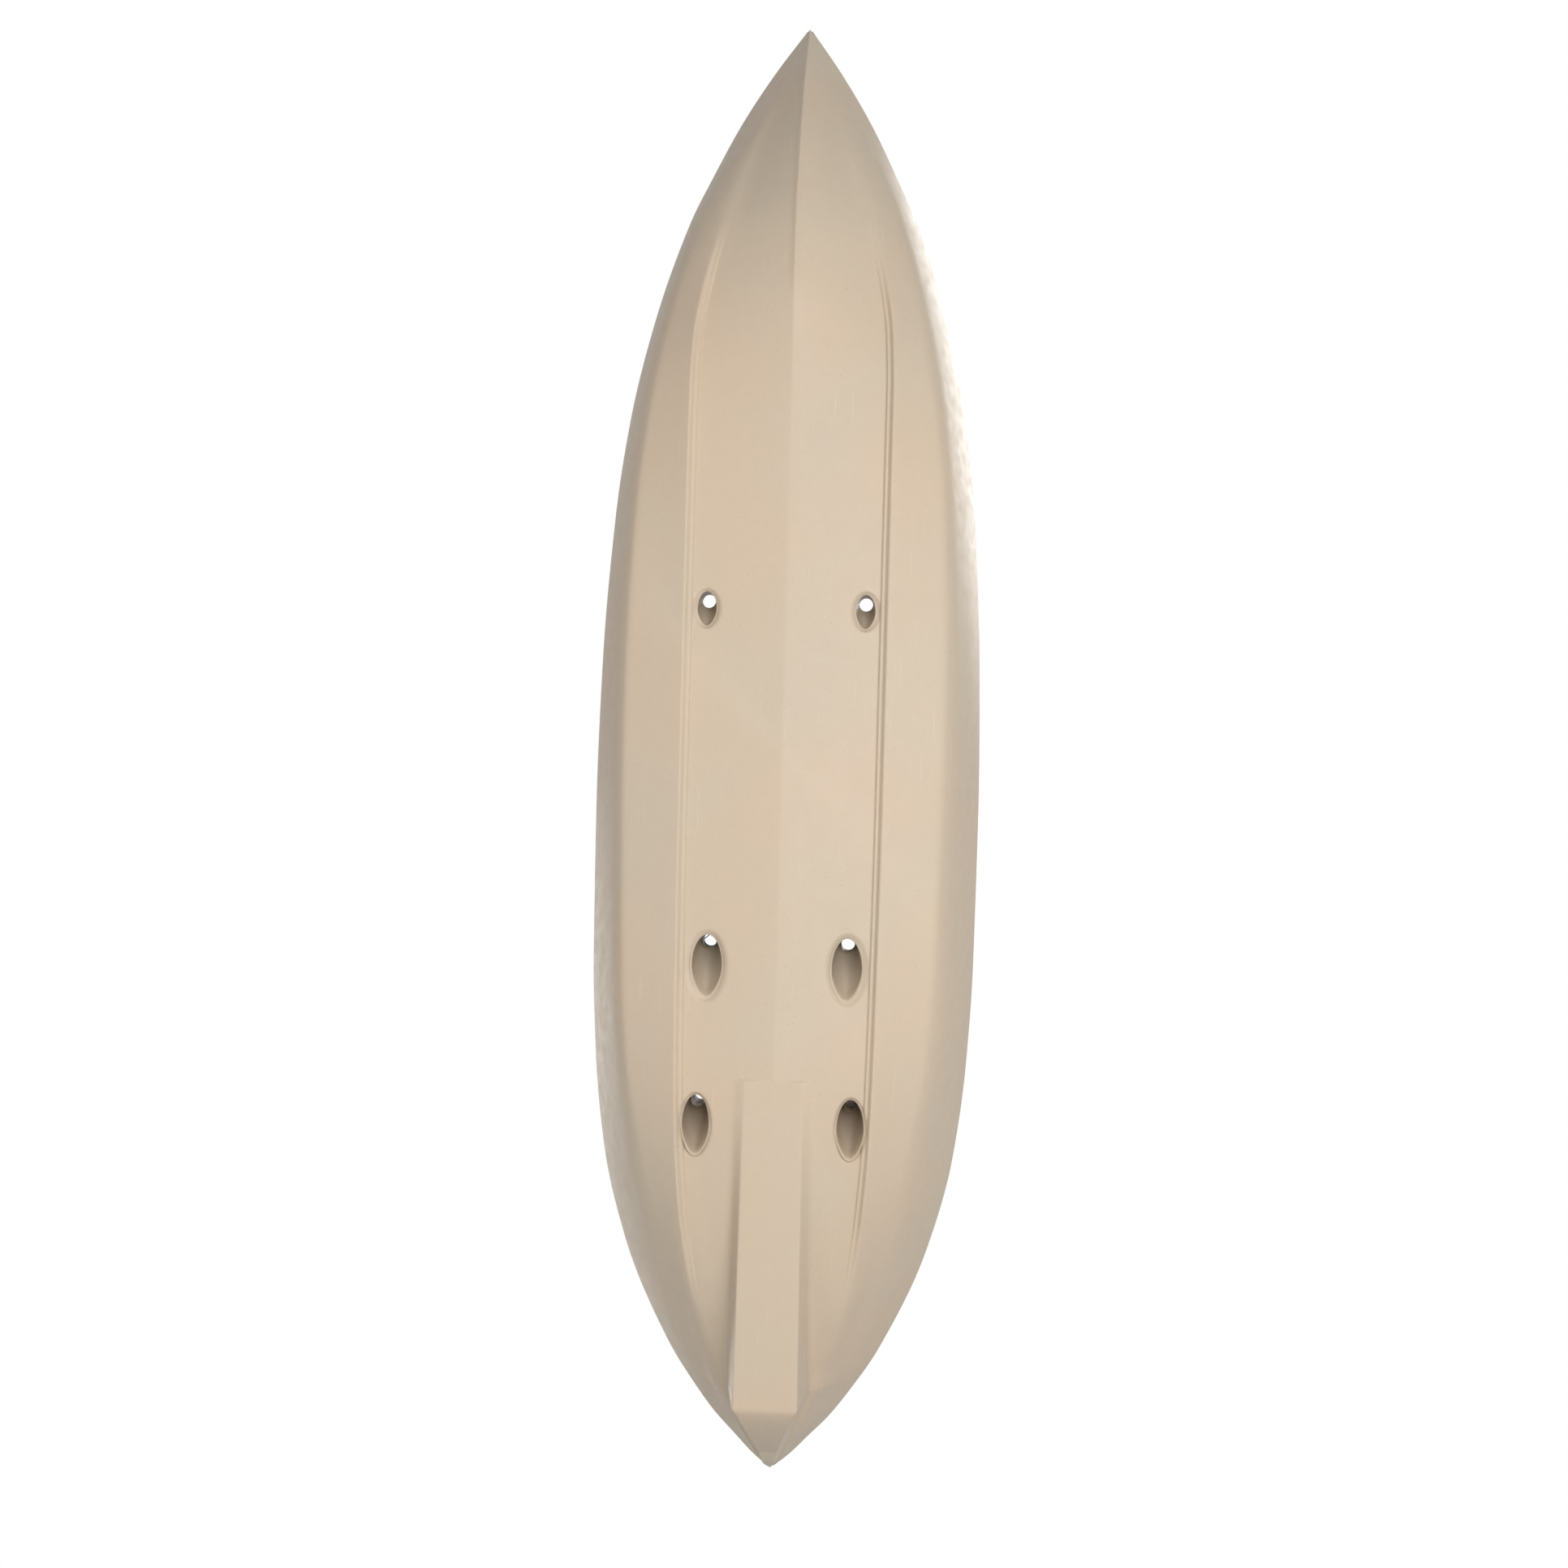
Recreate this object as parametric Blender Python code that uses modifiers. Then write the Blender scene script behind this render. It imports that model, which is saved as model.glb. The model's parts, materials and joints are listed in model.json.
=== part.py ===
"""A sit-on-top fishing kayak, built from its separate pieces.

The kayak stands on its keel, right way up, with its bow at -Y, its port side at +X and its origin on the
floor, halfway along. Heights are from the floor. All sizes are in metres and all angles in degrees.
"""

import math

import bmesh
import bpy
from mathutils import Matrix, Vector

# Driving sizes of the boat
LENGTH = 3.05
BEAM = 0.796
WALL = 0.005
SIDE_HEIGHT = 0.225
BOW_SHEER = 0.120
STERN_SHEER = 0.065
GAP = 0.0003

BOW = -LENGTH / 2
STERN = LENGTH / 2
SIDES = (("starboard", -1), ("port", 1))

# Lines of the hull along the share of its length from the bow. The half beam is a share of the widest, the
# heights are shares of the seam's height there, and the other values are in metres
HALF_BEAM = (
    (0.0, 0.012), (0.033, 0.194), (0.069, 0.357), (0.105, 0.489), (0.139, 0.602), (0.209, 0.768),
    (0.276, 0.877), (0.343, 0.940), (0.444, 0.986), (0.543, 1.0), (0.643, 0.996), (0.710, 0.975),
    (0.777, 0.919), (0.844, 0.791), (0.9125, 0.556), (0.947, 0.382), (0.982, 0.159), (1.0, 0.012),
)
CHINE_INSET = (
    (0.0, 0.003), (0.04, 0.036), (0.115, 0.045), (0.29, 0.053), (0.54, 0.067), (0.69, 0.075),
    (0.81, 0.090), (0.87, 0.085), (0.934, 0.060), (0.984, 0.020), (1.0, 0.003),
)
CHINE_SHARE = (
    (0.0, 0.9797), (0.05, 0.838), (0.115, 0.574), (0.197, 0.3345), (0.28, 0.2337), (0.39, 0.195),
    (0.54, 0.1865), (0.69, 0.2148), (0.787, 0.3276), (0.869, 0.5033), (0.934, 0.697), (1.0, 0.9862),
)
STEP_LINE = (
    (0.0, 0.001), (0.04, 0.032), (0.115, 0.098), (0.172, 0.135), (0.27, 0.181), (0.54, 0.183),
    (0.675, 0.181), (0.754, 0.176), (0.80, 0.166), (0.852, 0.143), (0.92, 0.090), (0.98, 0.022),
    (1.0, 0.001),
)
PONTOON_SHARE = (
    (0.0, 0.9681), (0.039, 0.789), (0.115, 0.4694), (0.172, 0.2603), (0.25, 0.0549), (0.32, 0.0),
    (0.7, 0.0), (0.787, 0.0901), (0.852, 0.2549), (0.934, 0.5539), (0.984, 0.8441), (1.0, 0.9793),
)
KEEL_SHARE = (
    (0.0, 0.9565), (0.0164, 0.8213), (0.049, 0.5734), (0.108, 0.231), (0.164, 0.0466), (0.213, 0.0),
    (0.71, 0.0), (0.787, 0.0491), (0.852, 0.1333), (0.934, 0.2935), (0.984, 0.6375), (1.0, 0.9655),
)
STEP_FADE = ((0.172, 0.0), (0.25, 1.0), (0.80, 1.0), (0.865, 0.0))

# The ledge between the middle panel of the bottom and the pontoon beside it
STEP_DEPTH = 0.013
STEP_WIDTH = 0.018

# Skeg, from the stern
SKEG_START = 0.87
SKEG_HEEL = 0.21
SKEG_WIDTH = 0.118
SKEG_DRAFT = 0.018
SKEG_FRONT_RAMP = 0.006

# Lines of the deck, likewise. The edge's rise is above the lowest seam
DECK_EDGE_RISE = (
    (0.0, 0.127), (0.033, 0.12), (0.1, 0.1), (0.2, 0.065), (0.28, 0.039), (0.31, 0.037),
    (0.74, 0.037), (0.85, 0.05), (0.95, 0.072), (1.0, 0.078),
)
DECK_CROWN = (
    (0.0, 0.002), (0.04, 0.009), (0.108, 0.024), (0.154, 0.040), (0.20, 0.054), (0.25, 0.046),
    (0.30, 0.023), (0.50, 0.026), (0.74, 0.023), (0.80, 0.022), (0.90, 0.020), (0.97, 0.006), (1.0, 0.002),
)
CROWN_FLAT = (
    (0.0, 0.30), (0.06, 0.40), (0.15, 0.54), (0.22, 0.45), (0.29, 0.36), (0.31, 0.34), (0.72, 0.34),
    (0.85, 0.30), (1.0, 0.30),
)
CROWN_FOOT = ((0.0, 0.95), (0.22, 0.88), (0.30, 0.66), (0.74, 0.66), (0.85, 0.88), (1.0, 0.95))
CROWN_SAG = 0.08
DECK_ROUND = 0.033
SEAM_COVER = 0.012

# Cockpit, from the middle of the boat
FOOTWELL_FLOOR = 0.075
SEAT_FLOOR = 0.105
SEAT_FRONT = -0.03
CONSOLE_AFT = -0.105
CONSOLE_HALF_WIDTH = 0.090
FOOTWELL_FRONT = -0.760
SIDE_DECK = 0.128
COCKPIT_HALF_WIDTH = BEAM / 2 - SIDE_DECK
SEAT_HALF_WIDTH = COCKPIT_HALF_WIDTH - 0.045
COCKPIT_AFT = 0.455

# Tank well, from the stern
TANK_FLOOR = 0.150
TANK_FRONT = 0.865
TANK_AFT = 0.395
TANK_SIDE_DECK = 0.193
TANK_FRONT_HALF_WIDTH = BEAM / 2 - TANK_SIDE_DECK
TANK_AFT_HALF_WIDTH = TANK_FRONT_HALF_WIDTH - 0.045

# Cup holder in the console
CUP_PLACE = -0.212
CUP_RADIUS = 0.040
CUP_DEPTH = 0.060

# Scuppers: the hole, its funnel in the hull and the shallow dish around that
SCUPPER_RADIUS = 0.0135
FRONT_SCUPPER_X = 0.157
FRONT_SCUPPER_Y = -0.290
MIDDLE_SCUPPER_X = 0.139
MIDDLE_SCUPPER_Y = 0.390
REAR_SCUPPER_X = 0.154
REAR_SCUPPER_FROM_STERN = 0.815
FRONT_FUNNEL = (0.019, 0.034)
MIDDLE_FUNNEL = (0.030, 0.062)
REAR_FUNNEL = (0.027, 0.060)
FRONT_DISH = (0.032, 0.042)
MIDDLE_DISH = (0.046, 0.076)
REAR_DISH = (0.036, 0.068)
DISH_DEPTH = 0.006
FUNNEL_DRAFT = 0.004
SCUPPER_THROAT = 0.70

# Hatches
BOW_HATCH_FROM_BOW = 0.47
BOW_HATCH_RADIUS = 0.095
CONSOLE_HATCH_Y = -0.360
CONSOLE_HATCH_RADIUS = 0.050
HATCH_COLLAR = 0.003
HATCH_COLLAR_DEPTH = 0.026
HATCH_FLANGE = 0.024
HATCH_FLANGE_THICKNESS = 0.005
HATCH_FLANGE_HEIGHT = 0.009
HATCH_SEAT_WIDTH = 0.012
HATCH_FIT = 0.001
PAD_MARGIN = 0.005
PAD_RISE = 0.003

# Foam blocks between the hull's bottom and the cup holder above it, and between it and the seat
CONSOLE_FOAM_LENGTH = 0.110
SEAT_FOAM_Y = 0.200
SEAT_FOAM_LENGTH = 0.300
FOAM_HALF_WIDTH = 0.050

# Flush rod holders behind the seat
ROD_BORE = 0.0225
ROD_WALL = 0.003
ROD_TUBE_LENGTH = 0.190
ROD_TUBE_FROM_SIDE = 0.108
ROD_TUBE_X = BEAM / 2 - ROD_TUBE_FROM_SIDE
ROD_TUBE_BEHIND_COCKPIT = 0.120
ROD_LEAN_AFT = 20.0
ROD_LEAN_OUT = 10.0
ROD_FLANGE = 0.042
ROD_FLANGE_THICKNESS = 0.004
ROD_CAP_THICKNESS = 0.005
ROD_CAP_STUB = 0.015
ROD_CAP_WALL = 0.0025

# Swivel rod holder on the console
ROD_MOUNT_Y = -0.545
MOUNT_BASE_RADIUS = 0.034
MOUNT_BASE_THICKNESS = 0.006
MOUNT_SOCKET_RADIUS = 0.020
MOUNT_SOCKET_HEIGHT = 0.034
SPINDLE_RADIUS = 0.012
YOKE_EAR = 0.006
YOKE_GAP = 0.018
YOKE_EAR_HALF_DEPTH = 0.012
YOKE_EAR_RISE = 0.010
TILT_HEIGHT = 0.030
TILT_BOLT_RADIUS = 0.004
TILT_KNOB_RADIUS = 0.018
CRADLE_BORE = 0.0235
CRADLE_WALL = 0.0035
CRADLE_LENGTH = 0.220
CRADLE_BEHIND = 0.066
CRADLE_LIFT = 0.044
CRADLE_SLOT = 0.018
CRADLE_ANGLE = 35.0
COLLAR_LENGTH = 0.034
COLLAR_WALL = 0.004
RUNNING_FIT = 0.0005

# Foot braces on the outer walls of the footwells
RAIL_FRONT = -0.585
RAIL_LENGTH = 0.330
RAIL_HEIGHT = 0.165
RAIL_BASE = 0.003
RAIL_BASE_WIDTH = 0.032
RAIL_NECK = 0.004
RAIL_NECK_WIDTH = 0.012
RAIL_HEAD = 0.004
RAIL_HEAD_WIDTH = 0.022
PEDAL_BLOCK_LENGTH = 0.050
PEDAL_BLOCK_WALL = 0.005
PEDAL_WIDTH = 0.080
PEDAL_HEIGHT = 0.110
PEDAL_THICKNESS = 0.008
PEDAL_AT = 0.35
LEVER_PIN_INSET = 0.022
LEVER_LENGTH = 0.044
LEVER_THICKNESS = 0.005
LEVER_WIDTH = 0.014
PIN_RADIUS = 0.003

# Seat
SEAT_PAD_LENGTH = 0.300
SEAT_PAD_HALF_WIDTH = SEAT_HALF_WIDTH - 0.040
SEAT_PAD_THICKNESS = 0.034
SEAT_BACK_HEIGHT = 0.300
SEAT_BACK_HALF_WIDTH = SEAT_HALF_WIDTH - 0.025
SEAT_BACK_THICKNESS = 0.034
SEAT_BACK_LEAN = 8.0
SEAT_BACK_CHANNELS = 3
CUSHION_EDGE = 0.40
SEAT_HEM_Y = 0.300
SEAT_HEM = 0.003
SEAT_HEM_HALF_WIDTH = 0.150
SEAT_HEM_RISE = 0.046
STRAP_WIDTH = 0.025
STRAP_THICKNESS = 0.0016
STRAP_SHARE_UP = 0.62
STRAP_FOLD = 0.040
FRONT_STRAP_EYE_FROM_COCKPIT = 0.048
FRONT_STRAP_EYE_Y = 0.035
REAR_STRAP_EYE_X = COCKPIT_HALF_WIDTH + 0.002
REAR_STRAP_EYE_BEHIND_COCKPIT = 0.037

# Clips between the straps and their pad eyes
CLIP_THICKNESS = 0.003
CLIP_HOLE = 0.0055
CLIP_RIM = 0.0035
CLIP_NECK = 0.010
CLIP_SLOT = 0.0062
CLIP_BAR = 0.0040
CLIP_SIDE = 0.0030

# Pad eyes
EYE_LENGTH = 0.042
EYE_WIDTH = 0.014
EYE_BASE = 0.003
EYE_WIRE = 0.0025
EYE_LOOP_RADIUS = 0.010
EYE_LOOP_RISE = 0.003

# Tank well pad eyes, outside the well's corners
FRONT_TANK_EYE_ASIDE = 0.040
FRONT_TANK_EYE_IN = 0.075
REAR_TANK_EYE_ASIDE = 0.045
REAR_TANK_EYE_IN = 0.035

# Carry handles
HANDLE_HALF_SPAN = 0.055
HANDLE_ARM = 0.036
HANDLE_WIRE = 0.005
HANDLE_GRIP = 0.0115
HANDLE_PIN = 0.022
HANDLE_BEND = 0.010
HANDLE_LIFT = 0.0125
BRACKET_LENGTH = 0.016
BRACKET_DEPTH = 0.020
BRACKET_OVER = 0.005
SIDE_HANDLE_FROM_EDGE = 0.0575
SIDE_HANDLE_Y = -0.125
BOW_HANDLE_FROM_BOW = 0.185
STERN_HANDLE_FROM_STERN = 0.205

# Plugs
DRAIN_FROM_STERN = 0.135
DRAIN_RADIUS = 0.010
DRAIN_HEAD_RADIUS = 0.015
DRAIN_HEAD = 0.005
DRAIN_STUB = 0.014
DRAIN_GASKET = 0.002
PLUG_LENGTH = 0.024
PLUG_RADIUS = SCUPPER_RADIUS - 0.0009

ROUND = 18
FINE = 24
SCUPPER_SIDES = 12
HOLLOW_START = 0.055
HOLLOW_END = 0.100
DECK_HOLLOW_START = 0.045
HULL_STATIONS = 34
DECK_STATIONS = 28
TOP = 0.70
OVER = 0.010


def share_of(y):
    """The share of the length that lies between the bow and y."""
    return min(max((y - BOW) / LENGTH, 0.0), 1.0)


def along(table, y):
    """The value at y of the smooth curve through a line's points, flat beyond its ends."""
    share = share_of(y)
    if share <= table[0][0]:
        return table[0][1]
    if share >= table[-1][0]:
        return table[-1][1]
    widths = [b[0] - a[0] for a, b in zip(table, table[1:])]
    rises = [(b[1] - a[1]) / w for a, b, w in zip(table, table[1:], widths)]
    slopes = [rises[0]]
    for before, after in zip(rises, rises[1:]):
        slopes.append(2 * before * after / (before + after) if before * after > 0 else 0.0)
    slopes.append(rises[-1])
    span = max(i for i, point in enumerate(table[:-1]) if point[0] <= share)
    t = (share - table[span][0]) / widths[span]
    start, end = table[span][1], table[span + 1][1]
    leave, arrive = slopes[span] * widths[span], slopes[span + 1] * widths[span]
    bend = (2 * t**3 - 3 * t**2 + 1) * start + (3 * t**2 - 2 * t**3) * end
    return bend + (t**3 - 2 * t**2 + t) * leave + (t**3 - t**2) * arrive


def half_beam(y):
    return along(HALF_BEAM, y) * BEAM / 2


def seam_height(y):
    """Height of the joint between the hull and the deck."""
    forward = max(0.0, 1 - 2 * share_of(y))
    aft = max(0.0, 2 * share_of(y) - 1)
    return SIDE_HEIGHT + BOW_SHEER * forward**2 + STERN_SHEER * aft**2.2


def keel_height(y):
    return along(KEEL_SHARE, y) * seam_height(y)


def deck_edge_height(y):
    """Height of the deck just inside its rounded edge."""
    return max(SIDE_HEIGHT + along(DECK_EDGE_RISE, y), seam_height(y) + SEAM_COVER)


def deck_edge(y):
    """Half-width of the deck inside its rounded edge."""
    return max(half_beam(y) - DECK_ROUND, half_beam(y) * 0.45)


def deck_height(x, y):
    """Height of the moulded deck before its wells are cut."""
    edge = deck_edge(y)
    inner, outer = along(CROWN_FLAT, y) * edge, along(CROWN_FOOT, y) * edge
    rise = min(max((outer - abs(x)) / (outer - inner), 0.0), 1.0) * (1 - CROWN_SAG * min(abs(x) / inner, 1.0))
    return deck_edge_height(y) + along(DECK_CROWN, y) * rise


def skeg_bottom(y):
    """Half-width and height of the skeg's flat sole, which aft of the heel narrows and rises to the stern."""
    heel = STERN - SKEG_HEEL
    rising = min(max((y - heel) / SKEG_HEEL, 0.0), 1.0)
    top = keel_height(STERN)
    tip = half_beam(STERN) * 0.4
    half_width = SKEG_WIDTH / 2
    return half_width + (tip - half_width) * rising**1.4, top * rising**1.3


def hull_half_section(y):
    """Points of the hull's outer skin on the +X side, from the keel to the seam."""
    keel, pontoon = keel_height(y), along(PONTOON_SHARE, y) * seam_height(y)
    chine_x = half_beam(y) - along(CHINE_INSET, y)
    chine_z = along(CHINE_SHARE, y) * seam_height(y)
    step_x = min(along(STEP_LINE, y), chine_x * 0.8)
    width = min(STEP_WIDTH, (chine_x - step_x) * 0.35)
    depth = STEP_DEPTH * along(STEP_FADE, y)
    panel = pontoon + depth
    sole_x, sole_z = skeg_bottom(y)
    sole_x = min(sole_x, step_x * 0.5)
    root_x = min(sole_x + SKEG_DRAFT, step_x * 0.8)
    slope = (panel - keel) / step_x
    shown = min(max((y - (STERN - SKEG_START)) / SKEG_FRONT_RAMP, 0.0), 1.0)
    middle = keel + (min(sole_z, keel) - keel) * shown
    sole_edge = keel + slope * sole_x
    sole_edge += (middle - sole_edge) * shown
    return [
        (0.0, middle),
        (sole_x, sole_edge),
        (root_x, keel + slope * root_x),
        (step_x, panel),
        (step_x + width * 0.28, panel - depth * 0.35),
        (step_x + width * 0.5, panel - depth * 0.35),
        (step_x + width, pontoon),
        (chine_x - min(0.012, (chine_x - step_x - width) * 0.3), chine_z - 0.004 * along(STEP_FADE, y)),
        (chine_x + 0.125 * (half_beam(y) - chine_x), chine_z + 0.12 * (seam_height(y) - chine_z)),
        (half_beam(y), seam_height(y) - GAP / 2),
    ]


def set_in(points, distance):
    """A half section moved sideways by distance: to its left, seen along its run from the middle outwards."""
    normals = []
    for (x0, z0), (x1, z1) in zip(points, points[1:]):
        normals.append(Vector((z0 - z1, x1 - x0)).normalized())
    moved = []
    for i, point in enumerate(points):
        before = normals[max(i - 1, 0)]
        after = normals[min(i, len(normals) - 1)]
        normal = (before + after).normalized()
        if i == 0:
            normal = Vector((0, 1))
        elif i == len(points) - 1:
            normal = Vector((-1, 0)) if distance > 0 else Vector((1, 0))
        reach = distance / max(0.6, abs(normal.dot(before if i else after)))
        moved.append((point[0] + normal.x * reach, point[1] + normal.y * reach))
    return moved


def inner_half_section(y, wall, top):
    """Points inside the hull, a wall's thickness from its skin, then straight up to top."""
    skin = hull_half_section(y)
    skin[0] = (0.0, keel_height(y))
    inside = set_in([skin[i] for i in (0, 3, 6, 7, 8, 9)], wall)
    return inside + [(inside[-1][0], top)]


def deck_half_section(y, inset, bottom):
    """Points of the deck's skin on the +X side, from its middle to the seam, set in by inset."""
    edge = deck_edge(y)
    flat, foot = along(CROWN_FLAT, y) * edge, along(CROWN_FOOT, y) * edge
    edge_height = deck_edge_height(y)
    seam = seam_height(y) + GAP / 2
    corner = (half_beam(y) - 0.1 * (half_beam(y) - edge), seam + 0.62 * (edge_height - seam))
    skin = [
        (0.0, deck_height(0.0, y)), (flat, deck_height(flat, y)), (foot, edge_height), (edge, edge_height),
        corner, (half_beam(y), seam),
    ]
    if not inset:
        return skin
    inside = set_in(skin, -inset)
    return inside + [(inside[-1][0], bottom)]


def stations(first, last, count, extra=()):
    """Places along the boat, closer together towards both ends of the boat."""
    spread = [0.5 - 0.5 * math.cos(math.pi * i / (count - 1)) for i in range(count)]
    even = [i / (count - 1) for i in range(count)]
    places = [first + (last - first) * (0.55 * a + 0.45 * b) for a, b in zip(spread, even)]
    kept = [y for y in places if all(abs(y - e) > 0.004 for e in extra)]
    return sorted(kept + list(extra))


def between(places, first, last):
    """The places from first to last, both included."""
    return [first] + [y for y in places if first + 0.004 < y < last - 0.004] + [last]


def collection(name):
    found = bpy.data.collections.new(name)
    bpy.context.scene.collection.children.link(found)
    return found


def clear_scene():
    for obj in list(bpy.data.objects):
        bpy.data.objects.remove(obj)


def material(name, color, roughness, metallic=0.0):
    made = bpy.data.materials.new(name)
    made.use_nodes = True
    shader = made.node_tree.nodes["Principled BSDF"]
    shader.inputs["Base Color"].default_value = (*color, 1.0)
    shader.inputs["Roughness"].default_value = roughness
    shader.inputs["Metallic"].default_value = metallic
    return made


clear_scene()
PARTS = collection("fishing_kayak")
CUTTERS = collection("cutters")
SAND = material("sand_polyethylene", (0.66, 0.55, 0.42), 0.45)
BLACK = material("black_plastic", (0.03, 0.03, 0.032), 0.4)
RUBBER = material("black_rubber", (0.02, 0.02, 0.02), 0.75)
GREY = material("grey_plastic", (0.16, 0.16, 0.17), 0.45)
METAL = material("anodised_aluminium", (0.62, 0.63, 0.65), 0.35, 1.0)
FABRIC = material("seat_fabric", (0.07, 0.075, 0.08), 0.9)
WEBBING = material("webbing", (0.035, 0.035, 0.04), 0.85)
FOAM = material("foam", (0.82, 0.83, 0.84), 0.9)


def place(name, bm, finish=None, into=None):
    """An object made of a bmesh: a part where it has a finish, and otherwise a cutter."""
    mesh = bpy.data.meshes.new(name)
    bm.normal_update()
    bm.to_mesh(mesh)
    bm.free()
    mesh.shade_smooth()
    mesh.set_sharp_from_angle(angle=math.radians(35))
    obj = bpy.data.objects.new(name, mesh)
    (into or (PARTS if finish else CUTTERS)).objects.link(obj)
    if finish:
        mesh.materials.append(finish)
    else:
        obj.hide_render = True
        obj.display_type = "WIRE"
    return obj


def boolean(obj, other, operation="DIFFERENCE"):
    modifier = obj.modifiers.new(other.name, "BOOLEAN")
    modifier.operation = operation
    modifier.object = other
    modifier.solver = "EXACT"
    return obj


def weld(obj):
    """Merges points that a Boolean left a hair's breadth apart."""
    modifier = obj.modifiers.new("weld", "WELD")
    modifier.merge_threshold = 0.00002
    return obj


def boolean_all(obj, name, others, operation="DIFFERENCE"):
    """One Boolean with a whole collection of cutters."""
    group = bpy.data.collections.new(name)
    CUTTERS.children.link(group)
    for other in others:
        group.objects.link(other)
        CUTTERS.objects.unlink(other)
    modifier = obj.modifiers.new(name, "BOOLEAN")
    modifier.operation = operation
    modifier.operand_type = "COLLECTION"
    modifier.collection = group
    modifier.solver = "EXACT"
    modifier.use_self = True
    return obj


def loft(name, sections, finish=None):
    """A closed skin through half sections, each a place along the boat and its points on the +X side.

    The points run from the middle to the outside. The other side is their mirror image, and the last points
    of the two sides are joined straight across.
    """
    bm = bmesh.new()
    rings = []
    for y, half in sections:
        ring = [(-x, z) for x, z in reversed(half[1:])] + list(half)
        rings.append([bm.verts.new((x, y, z)) for x, z in ring])
    count = len(rings[0])
    for ahead, behind in zip(rings, rings[1:]):
        for i in range(count):
            j = (i + 1) % count
            bm.faces.new((ahead[i], ahead[j], behind[j], behind[i]))
    bm.faces.new(reversed(rings[0]))
    bm.faces.new(rings[-1])
    bmesh.ops.recalc_face_normals(bm, faces=bm.faces)
    return place(name, bm, finish)


def rounded(corners, steps=3):
    """A closed outline whose corners, given as (x, y, radius), are rounded."""
    points = []
    for i, (x, y, radius) in enumerate(corners):
        corner = Vector((x, y))
        before = Vector(corners[i - 1][:2]) - corner
        after = Vector(corners[(i + 1) % len(corners)][:2]) - corner
        turn = before.angle(after)
        if radius <= 0 or turn > math.radians(179):
            points.append(corner)
            continue
        reach = radius / math.tan(turn / 2)
        start, end = corner + before.normalized() * reach, corner + after.normalized() * reach
        centre = corner + (before.normalized() + after.normalized()).normalized() * radius / math.sin(turn / 2)
        first, last = start - centre, end - centre
        sweep = first.angle_signed(last)
        for step in range(steps + 1):
            spun = first.copy()
            spun.rotate(Matrix.Rotation(-sweep * step / steps, 2))
            points.append(centre + spun)
    return points


def grown(outline, distance):
    """The outline moved outwards by distance. It runs anticlockwise."""
    moved = []
    for i, point in enumerate(outline):
        ahead = (outline[(i + 1) % len(outline)] - point).normalized()
        behind = (point - outline[i - 1]).normalized()
        normal = Vector((ahead.y + behind.y, -ahead.x - behind.x)).normalized()
        reach = distance / max(0.5, normal.dot(Vector((ahead.y, -ahead.x))))
        moved.append(point + normal * reach)
    return moved


def prism(name, outline, low, high, finish=None):
    """A flat outline raised from low to high."""
    bm = bmesh.new()
    face = bm.faces.new([bm.verts.new((p[0], p[1], low)) for p in outline])
    raised = bmesh.ops.extrude_face_region(bm, geom=[face])["geom"]
    risen = [v for v in raised if isinstance(v, bmesh.types.BMVert)]
    bmesh.ops.translate(bm, vec=(0, 0, high - low), verts=risen)
    bmesh.ops.recalc_face_normals(bm, faces=bm.faces)
    return place(name, bm, finish)


def box(name, low, high, finish=None, bevel=0.0):
    low, high = Vector(low), Vector(high)
    bm = bmesh.new()
    bmesh.ops.create_cube(bm, size=1.0)
    bmesh.ops.scale(bm, vec=high - low, verts=bm.verts)
    bmesh.ops.translate(bm, vec=(low + high) / 2, verts=bm.verts)
    obj = place(name, bm, finish)
    if bevel:
        modifier = obj.modifiers.new("rounded edges", "BEVEL")
        modifier.width = bevel
        modifier.segments = 1
        modifier.limit_method = "ANGLE"
    return obj


def rod(name, start, end, radius, finish=None, sides=ROUND, end_radius=None):
    """A round bar or hole from start to end, which may taper."""
    start, end = Vector(start), Vector(end)
    bm = bmesh.new()
    bmesh.ops.create_cone(
        bm, cap_ends=True, segments=sides, radius1=radius, radius2=end_radius or radius,
        depth=(end - start).length,
    )
    turn = (end - start).to_track_quat("Z", "Y").to_matrix().to_4x4()
    bmesh.ops.transform(bm, matrix=Matrix.Translation((start + end) / 2) @ turn, verts=bm.verts)
    return place(name, bm, finish)


def turned(name, profile, finish=None, steps=ROUND, closed=False):
    """A turned shape. Its profile of (radius, height) points runs down its outer side."""
    bm = bmesh.new()
    points = [bm.verts.new((radius, 0, height)) for radius, height in profile]
    for a, b in zip(points, points[1:]):
        bm.edges.new((a, b))
    if closed:
        bm.edges.new((points[-1], points[0]))
    obj = place(name, bm, finish)
    screw = obj.modifiers.new("turn", "SCREW")
    screw.steps = steps
    screw.render_steps = steps
    screw.use_merge_vertices = True
    screw.merge_threshold = 0.00001
    screw.use_smooth_shade = True
    return obj


def tube(name, points, radius, finish=None, sides=1):
    """A bent round bar through points, as a closed mesh."""
    curve = bpy.data.curves.new(name, "CURVE")
    curve.dimensions = "3D"
    curve.bevel_depth = radius
    curve.bevel_resolution = sides
    curve.use_fill_caps = True
    spline = curve.splines.new("POLY")
    spline.points.add(len(points) - 1)
    for point, at in zip(spline.points, points):
        point.co = (*at, 1.0)
    guide = bpy.data.objects.new(name + "_guide", curve)
    CUTTERS.objects.link(guide)
    bpy.context.view_layer.update()
    graph = bpy.context.evaluated_depsgraph_get()
    mesh = bpy.data.meshes.new_from_object(guide.evaluated_get(graph))
    bm = bmesh.new()
    bm.from_mesh(mesh)
    bmesh.ops.remove_doubles(bm, verts=bm.verts, dist=0.00001)
    bmesh.ops.recalc_face_normals(bm, faces=bm.faces)
    bpy.data.objects.remove(guide)
    return place(name, bm, finish)


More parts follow.
